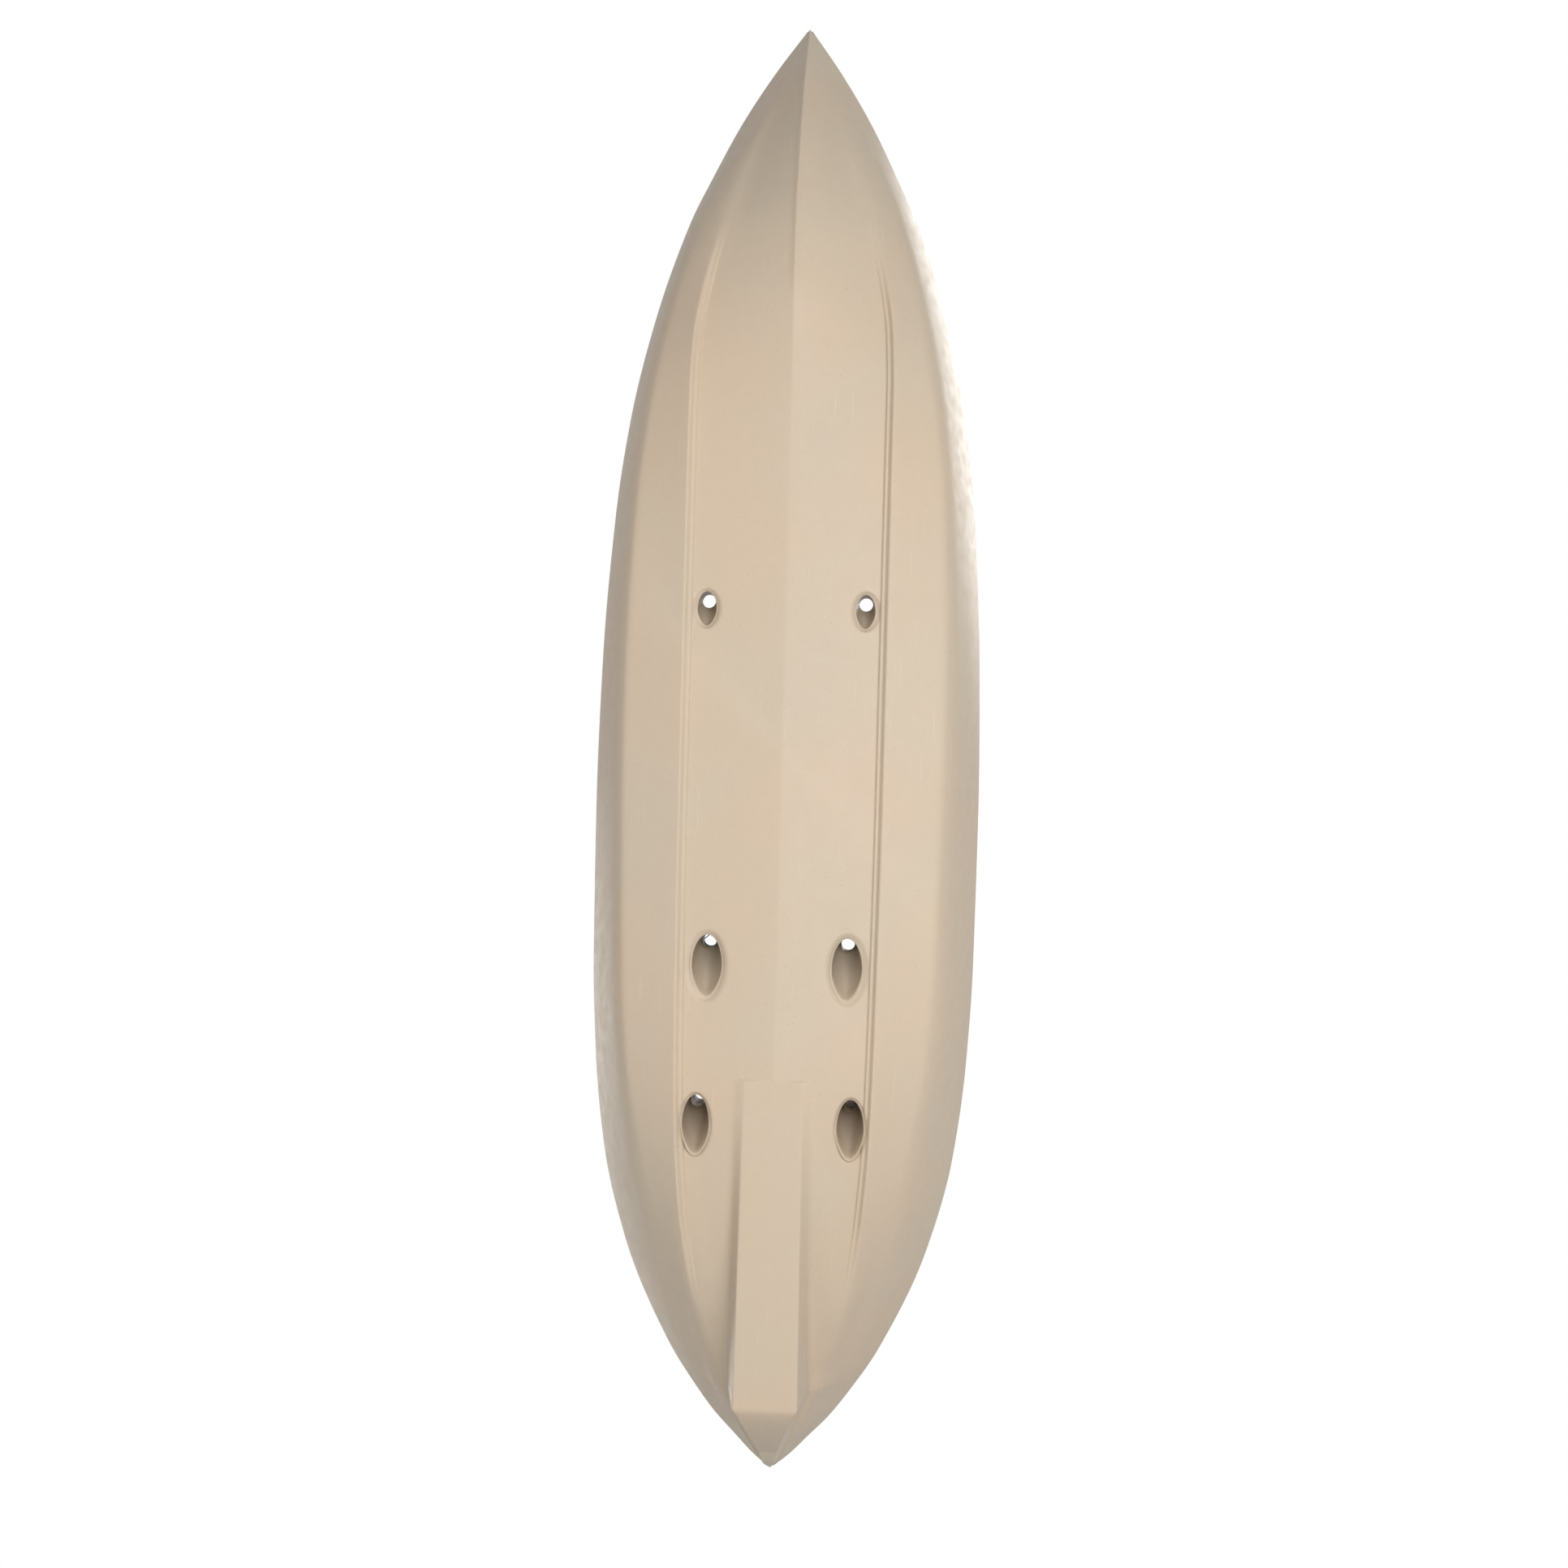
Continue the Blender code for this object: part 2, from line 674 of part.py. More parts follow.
def hull_places():
    skeg = STERN - SKEG_START
    return (skeg, skeg + SKEG_FRONT_RAMP, STERN - SKEG_HEEL)


# Outlines of the wells, anticlockwise seen from above, so from the bow round the port side

def cockpit_outline():
    """The cockpit: two footwells, one each side of the console, which open into the seat pan."""
    footwell = COCKPIT_HALF_WIDTH - CONSOLE_HALF_WIDTH
    half = [
        (COCKPIT_HALF_WIDTH - 0.055, FOOTWELL_FRONT, footwell * 0.3),
        (COCKPIT_HALF_WIDTH, FOOTWELL_FRONT + 0.110, 0.100),
        (COCKPIT_HALF_WIDTH, COCKPIT_AFT - 0.245, 0.120),
        (SEAT_HALF_WIDTH, COCKPIT_AFT, 0.085),
    ]
    notch = [
        (CONSOLE_HALF_WIDTH, CONSOLE_AFT, 0.030),
        (CONSOLE_HALF_WIDTH + 0.012, FOOTWELL_FRONT + 0.012, footwell * 0.19),
    ]
    port = half
    starboard = [(-x, y, radius) for x, y, radius in reversed(half)]
    starboard_notch = [(-x, y, radius) for x, y, radius in reversed(notch)]
    return rounded(port + starboard + starboard_notch + notch)


def tank_outline():
    front, aft = STERN - TANK_FRONT, STERN - TANK_AFT
    half = [(TANK_FRONT_HALF_WIDTH, front, 0.050), (TANK_AFT_HALF_WIDTH, aft, 0.060)]
    return rounded(half + [(-x, y, radius) for x, y, radius in reversed(half)])


def oval(x, y, half_width, half_length, count=ROUND):
    angles = [2 * math.pi * i / count for i in range(count)]
    return [Vector((x + half_width * math.cos(a), y + half_length * math.sin(a))) for a in angles]


def scuppers():
    """(name, x, y, floor height, funnel, dish) of each scupper."""
    rear = STERN - REAR_SCUPPER_FROM_STERN
    rows = (
        ("front", FRONT_SCUPPER_X, FRONT_SCUPPER_Y, FOOTWELL_FLOOR, FRONT_FUNNEL, FRONT_DISH),
        ("middle", MIDDLE_SCUPPER_X, MIDDLE_SCUPPER_Y, SEAT_FLOOR, MIDDLE_FUNNEL, MIDDLE_DISH),
        ("rear", REAR_SCUPPER_X, rear, TANK_FLOOR, REAR_FUNNEL, REAR_DISH),
    )
    for name, x, y, floor, funnel, dish in rows:
        for side, sign in SIDES:
            yield f"{name}_{side}", sign * x, y, floor, funnel, dish


def bottom_height(x, y):
    """Height of the hull's outer skin at a place on its bottom."""
    half = hull_half_section(y)
    for (x0, z0), (x1, z1) in zip(half, half[1:]):
        if x0 <= abs(x) <= x1:
            return z0 + (z1 - z0) * (abs(x) - x0) / max(x1 - x0, 1e-6)
    return half[-1][1]


def scupper_oval(x, y, half_width, half_length):
    return oval(x, y, half_width, half_length, SCUPPER_SIDES)


def funnel_ring(x, y, funnel, more, share):
    """A ring of a scupper's funnel, grown by more: its hole at share 0, and at 1 its mouth, wider towards aft."""
    half_width, half_length = funnel
    wide = SCUPPER_RADIUS + more + (half_width - SCUPPER_RADIUS) * share
    long = SCUPPER_RADIUS + more + (half_length - SCUPPER_RADIUS) * share
    return scupper_oval(x, y + (half_length - SCUPPER_RADIUS - FUNNEL_DRAFT) * share, wide, long)


def stacked(name, rings, finish=None):
    """A closed skin through rings, each a height and its outline, from the lowest up."""
    bm = bmesh.new()
    made = [[bm.verts.new((p.x, p.y, z)) for p in ring] for z, ring in rings]
    for low, high in zip(made, made[1:]):
        for i in range(len(low)):
            j = (i + 1) % len(low)
            bm.faces.new((low[i], low[j], high[j], high[i]))
    bm.faces.new(reversed(made[0]))
    bm.faces.new(made[-1])
    bmesh.ops.recalc_face_normals(bm, faces=bm.faces)
    return place(name, bm, finish)


def hull_shell():
    """The hull: a skin with its scupper funnels standing up inside as tubes."""
    places = stations(BOW, STERN, HULL_STATIONS, hull_places())
    hull = loft("hull_shell", [(y, hull_half_section(y)) for y in places], SAND)
    inside = between(places, BOW + HOLLOW_START, STERN - HOLLOW_END)
    hollow = loft("hull_hollow", [(y, inner_half_section(y, WALL, TOP)) for y in inside])
    boolean(hull, hollow)
    for name, x, y, floor, funnel, dish in scuppers():
        skin = bottom_height(x, y)
        tube_top = floor - WALL - GAP
        mouth = skin + DISH_DEPTH
        throat = mouth + SCUPPER_THROAT * (tube_top - mouth)
        centre = y + funnel[1] - SCUPPER_RADIUS - FUNNEL_DRAFT
        more = WALL * 0.8
        shares = ((1.0, mouth), (0.35, (mouth + throat) / 2), (0.0, throat), (0.0, tube_top))
        lining = scupper_oval(x, centre, dish[0] + more, dish[1] + more)
        rings = [(-OVER, lining), (mouth + more, lining)]
        rings += [(z + (more if share == 1.0 else 0), funnel_ring(x, y, funnel, more, share)) for share, z in shares]
        boolean(hollow, stacked(f"scupper_wall_{name}", rings))
        mouth_ring = scupper_oval(x, centre, *dish)
        inner_ring = scupper_oval(x, centre, dish[0] - DISH_DEPTH, dish[1] - DISH_DEPTH)
        rings = [(-OVER, mouth_ring), (skin, mouth_ring), (mouth, inner_ring)]
        rings += [(z, funnel_ring(x, y, funnel, 0.0, share)) for share, z in shares[:-1]]
        rings += [(tube_top + OVER, funnel_ring(x, y, funnel, 0.0, 0.0))]
        boolean(hull, stacked(f"scupper_hole_{name}", rings))
    return weld(hull)


def deck_pan(name, outline, floor, clip):
    """The wall and floor round a well, up to the underside of clip, still without the well itself."""
    pan = prism(name, grown(outline, WALL), floor - WALL, TOP)
    return boolean(pan, clip, "INTERSECT")


def flat_pad(name, outline, height, under):
    """A moulded flat on the deck that a fitting sits on."""
    return prism(name, outline, under, height)


def pad_height(x, y, reach_x, reach_y):
    """Height of a moulded flat that covers the deck within reach of a place."""
    around = [deck_height(x + i * reach_x, y + j * reach_y) for i in (-1, 0, 1) for j in (-1, 0, 1)]
    return max(around) + PAD_RISE


def pad_floor(x, y, reach_x, reach_y):
    """Lowest height of the deck's skin under a moulded flat, just inside the skin."""
    around = [deck_height(x + i * reach_x, y + j * reach_y) for i in (-1, 0, 1) for j in (-1, 0, 1)]
    return min(around) - WALL * 0.5


def cup_floor():
    return deck_height(0, CUP_PLACE) - CUP_DEPTH


def rectangle(x, y, half_x, half_y, radius=0.004):
    corners = [
        (x - half_x, y - half_y, radius), (x + half_x, y - half_y, radius),
        (x + half_x, y + half_y, radius), (x - half_x, y + half_y, radius),
    ]
    return rounded(corners, 1)


def hatches():
    """(name, y, radius of the clear opening) of each hatch."""
    return (
        ("bow_hatch", BOW + BOW_HATCH_FROM_BOW, BOW_HATCH_RADIUS),
        ("console_hatch", CONSOLE_HATCH_Y, CONSOLE_HATCH_RADIUS),
    )


def hatch_outer(radius):
    return radius + HATCH_COLLAR + HATCH_FLANGE


def round_pads():
    """(name, y, radius) of each round moulded flat on the middle line."""
    for name, y, radius in hatches():
        yield name, y, hatch_outer(radius) + PAD_MARGIN
    yield "rod_mount", ROD_MOUNT_Y, MOUNT_BASE_RADIUS + PAD_MARGIN
    yield "drain", STERN - DRAIN_FROM_STERN, DRAIN_HEAD_RADIUS + PAD_MARGIN


def front_strap_eye():
    return COCKPIT_HALF_WIDTH + FRONT_STRAP_EYE_FROM_COCKPIT, FRONT_STRAP_EYE_Y


def rear_strap_eye():
    return REAR_STRAP_EYE_X, COCKPIT_AFT + REAR_STRAP_EYE_BEHIND_COCKPIT


def eyes():
    """(name, x, y, whether it lies across the boat) of each pad eye."""
    front_tank = (TANK_FRONT_HALF_WIDTH + FRONT_TANK_EYE_ASIDE, STERN - TANK_FRONT + FRONT_TANK_EYE_IN)
    rear_tank = (TANK_AFT_HALF_WIDTH + REAR_TANK_EYE_ASIDE, STERN - TANK_AFT - REAR_TANK_EYE_IN)
    rows = (
        ("strap_eye_front", *front_strap_eye(), True),
        ("strap_eye_rear", *rear_strap_eye(), False),
        ("tank_eye_front", *front_tank, False),
        ("tank_eye_rear", *rear_tank, False),
    )
    for name, x, y, across in rows:
        for side, sign in SIDES:
            yield f"{name}_{side}", sign * x, y, across


def eye_reach(across):
    """Half sizes along X and Y of the moulded flat under a pad eye."""
    short, long = EYE_WIDTH / 2 + PAD_MARGIN, EYE_LENGTH / 2 + PAD_MARGIN
    return (long, short) if across else (short, long)


def eye_base(x, y, across):
    """Height of the underside of a pad eye."""
    return pad_height(x, y, *eye_reach(across)) + GAP


BRACKET_INNER = HANDLE_HALF_SPAN + HANDLE_BEND + GAP
BRACKET_CENTRE = BRACKET_INNER + BRACKET_LENGTH / 2


def handles():
    """(name, x, y, heading) of each carry handle. The heading turns its pivot line, which starts along Y."""
    side = half_beam(SIDE_HANDLE_Y) - SIDE_HANDLE_FROM_EDGE
    return (
        ("side_handle_starboard", -side, SIDE_HANDLE_Y, 0.0),
        ("side_handle_port", side, SIDE_HANDLE_Y, 180.0),
        ("bow_handle", 0.0, BOW + BOW_HANDLE_FROM_BOW, 90.0),
        ("stern_handle", 0.0, STERN - STERN_HANDLE_FROM_STERN, -90.0),
    )


def handle_pad(x, y, heading):
    """Half sizes along X and Y of the moulded flat under a whole handle."""
    along_pivot = BRACKET_CENTRE + BRACKET_LENGTH / 2 + PAD_MARGIN
    across = BRACKET_DEPTH / 2 + PAD_MARGIN
    return (across, along_pivot) if heading % 180 == 0 else (along_pivot, across)


def rod_tube_y():
    return COCKPIT_AFT + ROD_TUBE_BEHIND_COCKPIT


def rod_axis(sign):
    """The direction that a flush rod holder points, up and out of the deck."""
    aft, out = math.radians(ROD_LEAN_AFT), math.radians(ROD_LEAN_OUT)
    return Vector((sign * math.tan(out), math.tan(aft), 1.0)).normalized()


def rod_flange_base(sign):
    """Height of the underside of a flush rod holder's flange."""
    reach = ROD_FLANGE + PAD_MARGIN
    return pad_height(sign * ROD_TUBE_X, rod_tube_y(), reach, reach) + GAP


def rod_mouth(sign):
    """The middle of a flush rod holder's mouth."""
    return Vector((sign * ROD_TUBE_X, rod_tube_y(), rod_flange_base(sign) + ROD_FLANGE_THICKNESS))


def flange_outline(x, y, reach):
    """The oval flange of a flush rod holder."""
    return oval(x, y, reach * 0.86, reach)


def deck_skin(name, inset, finish=None):
    """The deck's outer form, set in by inset."""
    places = stations(BOW, STERN, DECK_STATIONS)
    if inset:
        places = between(places, BOW + DECK_HOLLOW_START, STERN - DECK_HOLLOW_START)
    return loft(name, [(y, deck_half_section(y, inset, 0.0)) for y in places], finish)


def deck_shell():
    """The deck: a crowned skin with moulded flats, openings for the wells and a cup holder sunk into it."""
    deck = deck_skin("deck_shell", 0.0, SAND)
    boolean(deck, deck_skin("deck_hollow", WALL))
    cup = oval(0, CUP_PLACE, CUP_RADIUS, CUP_RADIUS)
    added = [deck_pan("cup_pan", cup, cup_floor(), deck_skin("deck_clip", WALL * 0.5))]
    for name, y, radius in round_pads():
        outline = oval(0, y, radius, radius, FINE)
        added.append(flat_pad(f"{name}_pad", outline, pad_height(0, y, 0, radius), pad_floor(0, y, radius, radius)))
    spots = [(name, x, y, eye_reach(across)) for name, x, y, across in eyes()]
    spots += [(name, x, y, handle_pad(x, y, heading)) for name, x, y, heading in handles()]
    for name, x, y, reach in spots:
        outline = rectangle(x, y, *reach)
        added.append(flat_pad(f"{name}_pad", outline, pad_height(x, y, *reach), pad_floor(x, y, *reach)))
    cut = [
        prism("cockpit_opening", grown(cockpit_outline(), WALL + GAP), 0.0, TOP),
        prism("tank_opening", grown(tank_outline(), WALL + GAP), 0.0, TOP),
        prism("cup_well", cup, cup_floor(), TOP),
    ]
    for side, sign in SIDES:
        reach = ROD_FLANGE + PAD_MARGIN
        x = sign * ROD_TUBE_X
        outline = flange_outline(x, rod_tube_y(), reach)
        height = pad_height(x, rod_tube_y(), reach, reach)
        added.append(flat_pad(f"rod_pad_{side}", outline, height, pad_floor(x, rod_tube_y(), reach, reach)))
        at = rod_mouth(sign)
        hole = ROD_BORE + ROD_WALL + HATCH_FIT
        cut.append(rod(f"rod_opening_{side}", at - rod_axis(sign) * 0.06, at + rod_axis(sign) * 0.06, hole))
    for name, y, radius in hatches():
        hole = radius + HATCH_COLLAR + HATCH_FIT
        cut.append(rod(f"{name}_opening", (0, y, 0.18), (0, y, TOP), hole, sides=FINE))
    drain = STERN - DRAIN_FROM_STERN
    cut.append(rod("drain_opening", (0, drain, 0.20), (0, drain, TOP), DRAIN_RADIUS + RUNNING_FIT))
    boolean_all(deck, "deck_pads_and_pans", added, "UNION")
    boolean_all(deck, "deck_wells_and_holes", cut)
    return weld(deck)


def well_tub(tub, well, row_names):
    """Cuts a well and its scuppers out of the solid of its tub."""
    boolean(tub, well)
    for name, x, y, floor, funnel, dish in scuppers():
        if name.startswith(row_names):
            boolean(tub, rod(f"deck_scupper_{name}", (x, y, floor - 0.03), (x, y, floor + 0.03), SCUPPER_RADIUS))
    return weld(tub)


def cockpit_tub():
    """The cockpit's walls and floor: two footwells and the higher seat pan behind them."""
    outline = cockpit_outline()
    well = prism("cockpit_well", outline, FOOTWELL_FLOOR, TOP)
    boolean(well, box("seat_step", (-1, SEAT_FRONT, 0), (1, STERN, SEAT_FLOOR)))
    tub = prism("cockpit_tub", grown(outline, WALL), FOOTWELL_FLOOR - WALL, TOP, SAND)
    boolean(tub, box("seat_pan_step", (-1, SEAT_FRONT + WALL, 0), (1, STERN, SEAT_FLOOR - WALL)))
    boolean(tub, deck_skin("cockpit_rim", GAP), "INTERSECT")
    return well_tub(tub, well, ("front", "middle"))


def tank_tub():
    """The walls and floor of the tank well behind the seat."""
    outline = tank_outline()
    tub = prism("tank_tub", grown(outline, WALL), TANK_FLOOR - WALL, TOP, SAND)
    boolean(tub, deck_skin("tank_rim", GAP), "INTERSECT")
    return well_tub(tub, prism("tank_well", outline, TANK_FLOOR, TOP), ("rear",))


def foam_block(name, middle, length, top):
    """A foam block that stands on the hull's bottom inside the boat."""
    sections = []
    for y in (middle - length / 2, middle, middle + length / 2):
        floor = inner_half_section(y, WALL + GAP, TOP)
        step_x, step_z = floor[1]
        slope = (step_z - floor[0][1]) / step_x
        edge = floor[0][1] + slope * FOAM_HALF_WIDTH
        sections.append((y, [(0.0, floor[0][1]), (FOAM_HALF_WIDTH, edge), (FOAM_HALF_WIDTH, top)]))
    return loft(name, sections, FOAM)


def hatch(name, y, radius):
    """A round hatch: a flanged ring in the deck, its seal and the bayonet lid with a grip across it."""
    base = pad_height(0, y, 0, hatch_outer(radius) + PAD_MARGIN) + GAP
    collar = radius + HATCH_COLLAR
    outer = hatch_outer(radius)
    seat = collar + HATCH_SEAT_WIDTH
    floor = base + HATCH_FLANGE_THICKNESS
    rim = base + HATCH_FLANGE_HEIGHT
    ring = turned(
        f"{name}_ring",
        [
            (seat, rim), (outer - 0.005, rim), (outer, floor - 0.002), (outer, base), (collar, base),
            (collar, base - HATCH_COLLAR_DEPTH), (radius, base - HATCH_COLLAR_DEPTH), (radius, floor),
            (seat, floor),
        ],
        BLACK, FINE, closed=True,
    )
    ring.location = (0, y, 0)
    seal_low, seal_high = floor + GAP, floor + GAP + 0.003
    seal = turned(
        f"{name}_seal",
        [(radius + 0.003, seal_high), (seat - 0.002, seal_high), (seat - 0.002, seal_low), (radius + 0.003, seal_low)],
        RUBBER, FINE, closed=True,
    )
    seal.location = (0, y, 0)
    under = seal_high + GAP
    top = under + 0.005
    plug = radius - HATCH_FIT
    lid = turned(
        f"{name}_lid",
        [
            (0, top - 0.002), (radius * 0.55, top - 0.002), (radius * 0.66, top + 0.001), (seat - 0.006, top + 0.001),
            (seat - 0.001, top - 0.002), (seat - 0.001, under), (plug, under), (plug, base - 0.012),
            (plug - 0.003, base - 0.012), (plug - 0.003, under - 0.001), (0, under - 0.001),
        ],
        BLACK, FINE,
    )
    lid.location = (0, y, 0)
    half = radius * 0.50
    grip = box(f"{name}_grip", (-half, -0.006, top - 0.004), (half, 0.006, top + 0.012))
    grip.parent = lid
    boolean(lid, grip, "UNION")
    return ring, seal, lid


def rod_tube(side, sign):
    """A flush rod holder with its cap. The tube hangs from an oval flange on the deck and is open below."""
    x, y = sign * ROD_TUBE_X, rod_tube_y()
    base = rod_flange_base(sign)
    axis = rod_axis(sign)
    mouth = rod_mouth(sign)
    top = mouth.z
    tube_end = mouth - axis * ROD_TUBE_LENGTH
    flange = prism(f"rod_tube_{side}", flange_outline(x, y, ROD_FLANGE), base, top, BLACK)
    boolean(flange, rod(f"rod_sleeve_{side}", tube_end, mouth + axis * 0.02, ROD_BORE + ROD_WALL), "UNION")
    boolean(flange, box(f"rod_trim_{side}", (x - 0.1, y - 0.1, top), (x + 0.1, y + 0.1, TOP)))
    boolean(flange, rod(f"rod_bore_{side}", tube_end + axis * 0.004, mouth + axis * 0.05, ROD_BORE))
    boolean(flange, rod(f"rod_drain_{side}", tube_end - axis * 0.01, tube_end + axis * 0.01, 0.005, sides=12))
    cap_base = top + GAP
    cap_top = cap_base + ROD_CAP_THICKNESS
    cap = prism(f"rod_cap_{side}", flange_outline(x, y, ROD_FLANGE - 0.004), cap_base, cap_top, RUBBER)
    start = mouth - axis * ROD_CAP_STUB
    outer = ROD_BORE - RUNNING_FIT
    stub = rod(f"rod_stub_{side}", start, mouth + axis * 0.012, outer)
    boolean(stub, rod(f"rod_stub_bore_{side}", start - axis * 0.01, mouth + axis * 0.02, outer - ROD_CAP_WALL))
    boolean(stub, box(f"rod_stub_trim_{side}", (x - 0.1, y - 0.1, cap_base + 0.002), (x + 0.1, y + 0.1, TOP)))
    boolean(cap, stub, "UNION")
    return flange, cap


def cradle_frame():
    """The tilt axis of the swivel rod holder, and the direction and place of its tube."""
    base = pad_height(0, ROD_MOUNT_Y, 0, MOUNT_BASE_RADIUS + PAD_MARGIN) + GAP
    socket_top = base + MOUNT_SOCKET_HEIGHT
    pivot = Vector((0, ROD_MOUNT_Y, socket_top + TILT_HEIGHT))
    lean = math.radians(CRADLE_ANGLE)
    ahead = Vector((0, -math.cos(lean), math.sin(lean)))
    upward = Vector((0, math.sin(lean), math.cos(lean)))
    return base, socket_top, pivot, ahead, upward


def split_ring(name, inner, outer, length, slot, finish):
    """A tube along Z with a slot down its +X side, from z = 0."""
    outline = []
    half = slot / 2
    for radius, turn in ((outer, 1), (inner, -1)):
        edge = math.asin(half / radius)
        angles = [edge + (2 * math.pi - 2 * edge) * i / (ROUND - 2) for i in range(ROUND - 1)]
        if turn < 0:
            angles.reverse()
        outline += [Vector((radius * math.cos(a), radius * math.sin(a))) for a in angles]
    return prism(name, outline, 0, length, finish)


def swivel_rod_holder():
    """Base, swivelling yoke, tilting cradle, its locking collar and the tilt bolt with its knob."""
    base, socket_top, pivot, ahead, upward = cradle_frame()
    bore = SPINDLE_RADIUS + RUNNING_FIT
    mount = turned(
        "rod_mount_base",
        [
            (bore, socket_top), (MOUNT_SOCKET_RADIUS, socket_top), (MOUNT_SOCKET_RADIUS + 0.002, base + 0.012),
            (MOUNT_BASE_RADIUS, base + MOUNT_BASE_THICKNESS), (MOUNT_BASE_RADIUS, base), (bore, base),
        ],
        BLACK, closed=True,
    )
    mount.location = (0, ROD_MOUNT_Y, 0)
    floor = socket_top + GAP
    ear_x = YOKE_GAP / 2 + YOKE_EAR
    yoke = turned(
        "rod_mount_yoke",
        [
            (0, floor + 0.008), (MOUNT_SOCKET_RADIUS - 0.002, floor + 0.008), (MOUNT_SOCKET_RADIUS, floor + 0.005),
            (MOUNT_SOCKET_RADIUS, floor), (SPINDLE_RADIUS, floor), (SPINDLE_RADIUS, base + 0.001), (0, base + 0.001),
        ],
        BLACK,
    )
    yoke.location = (0, ROD_MOUNT_Y, 0)
    for side, sign in SIDES:
        inner, outer = sign * YOKE_GAP / 2, sign * ear_x
        ear = box(
            f"yoke_ear_{side}",
            (min(inner, outer), -YOKE_EAR_HALF_DEPTH, floor + 0.004),
            (max(inner, outer), YOKE_EAR_HALF_DEPTH, pivot.z + YOKE_EAR_RISE),
        )
        ear.location = (0, 0, 0)
        ear.parent = yoke
        boolean(yoke, ear, "UNION")
    bolt_hole = TILT_BOLT_RADIUS + RUNNING_FIT
    across = rod("yoke_bolt_hole", (-0.05, ROD_MOUNT_Y, pivot.z), (0.05, ROD_MOUNT_Y, pivot.z), bolt_hole)
    boolean(yoke, across)

    outer = CRADLE_BORE + CRADLE_WALL
    centre = pivot + upward * CRADLE_LIFT
    rear = centre - ahead * CRADLE_BEHIND
    turn = Matrix((upward, -Vector((1, 0, 0)), ahead)).transposed().to_4x4()
    cradle = split_ring("rod_cradle", CRADLE_BORE, outer, CRADLE_LENGTH, CRADLE_SLOT, BLACK)
    cradle.data.transform(Matrix.Translation(rear - pivot) @ turn)
    cradle.location = pivot
    lug_half = YOKE_GAP / 2 - RUNNING_FIT
    lug = box("cradle_lug", (-lug_half, -0.011, -0.011), (lug_half, 0.011, CRADLE_LIFT - CRADLE_BORE - 0.001))
    lug.data.transform(Matrix.Rotation(-math.radians(CRADLE_ANGLE), 4, "X"))
    lug.location = pivot
    boolean(cradle, lug, "UNION")
    boolean(cradle, rod("cradle_bolt_hole", pivot - Vector((0.05, 0, 0)), pivot + Vector((0.05, 0, 0)), bolt_hole))
    stop = split_ring("cradle_stop", outer - 0.001, outer + 0.002, 0.004, CRADLE_SLOT, None)
    collar_at = CRADLE_LENGTH - COLLAR_LENGTH - 0.010
    stop.data.transform(Matrix.Translation(rear - pivot) @ turn @ Matrix.Translation((0, 0, collar_at - 0.0043)))
    stop.location = pivot
    boolean(cradle, stop, "UNION")

    inner = outer + RUNNING_FIT
    collar = split_ring("cradle_collar", inner, inner + COLLAR_WALL, COLLAR_LENGTH, CRADLE_SLOT, GREY)
    collar.data.transform(turn)
    collar.location = rear + ahead * collar_at

    knob_x = ear_x + GAP
    knob = turned(
        "tilt_knob",
        [
            (0, 0.016), (TILT_KNOB_RADIUS - 0.003, 0.016), (TILT_KNOB_RADIUS, 0.012), (TILT_KNOB_RADIUS, 0.003),
            (TILT_KNOB_RADIUS - 0.003, 0.0), (TILT_BOLT_RADIUS, 0.0), (TILT_BOLT_RADIUS, -2 * ear_x - 2 * GAP),
            (0.0065, -2 * ear_x - 2 * GAP), (0.0065, -2 * ear_x - 0.004), (0, -2 * ear_x - 0.004),
        ],
        GREY, closed=False,
    )
    knob.rotation_euler = (0, math.radians(90), 0)
    knob.location = (knob_x, ROD_MOUNT_Y, pivot.z)
    for i in range(5):
        angle = 2 * math.pi * i / 5
        at = Vector((math.cos(angle), math.sin(angle), 0)) * (TILT_KNOB_RADIUS + 0.003)
        scoop = rod(f"knob_scoop_{i}", at - Vector((0, 0, 0.01)), at + Vector((0, 0, 0.03)), 0.0065, sides=12)
        scoop.parent = knob
        boolean(knob, scoop)


def rail_section(x_wall, sign, spare):
    """The T-shaped section of a foot rail as (x, z) points, or of the slot that runs on it."""
    steps = (
        (0.0, RAIL_BASE_WIDTH / 2), (RAIL_BASE, RAIL_BASE_WIDTH / 2), (RAIL_BASE, RAIL_NECK_WIDTH / 2),
        (RAIL_BASE + RAIL_NECK, RAIL_NECK_WIDTH / 2), (RAIL_BASE + RAIL_NECK, RAIL_HEAD_WIDTH / 2),
        (RAIL_BASE + RAIL_NECK + RAIL_HEAD, RAIL_HEAD_WIDTH / 2),
    )
    if spare:
        steps = (
            (RAIL_BASE - 0.001, RAIL_NECK_WIDTH / 2 + spare),
            (RAIL_BASE + RAIL_NECK - spare, RAIL_NECK_WIDTH / 2 + spare),
            (RAIL_BASE + RAIL_NECK - spare, RAIL_HEAD_WIDTH / 2 + spare),
            (RAIL_BASE + RAIL_NECK + RAIL_HEAD + spare, RAIL_HEAD_WIDTH / 2 + spare),
        )
    upper = [(x_wall - sign * depth, RAIL_HEIGHT + half) for depth, half in steps]
    lower = [(x_wall - sign * depth, RAIL_HEIGHT - half) for depth, half in reversed(steps)]
    return upper + lower


def extruded_along(name, section, y0, y1, finish=None):
    """A section of (x, z) points drawn along Y."""
    bm = bmesh.new()
    face = bm.faces.new([bm.verts.new((x, y0, z)) for x, z in section])
    raised = bmesh.ops.extrude_face_region(bm, geom=[face])["geom"]
    moved = [v for v in raised if isinstance(v, bmesh.types.BMVert)]
    bmesh.ops.translate(bm, vec=(0, y1 - y0, 0), verts=moved)
    bmesh.ops.recalc_face_normals(bm, faces=bm.faces)
    return place(name, bm, finish)


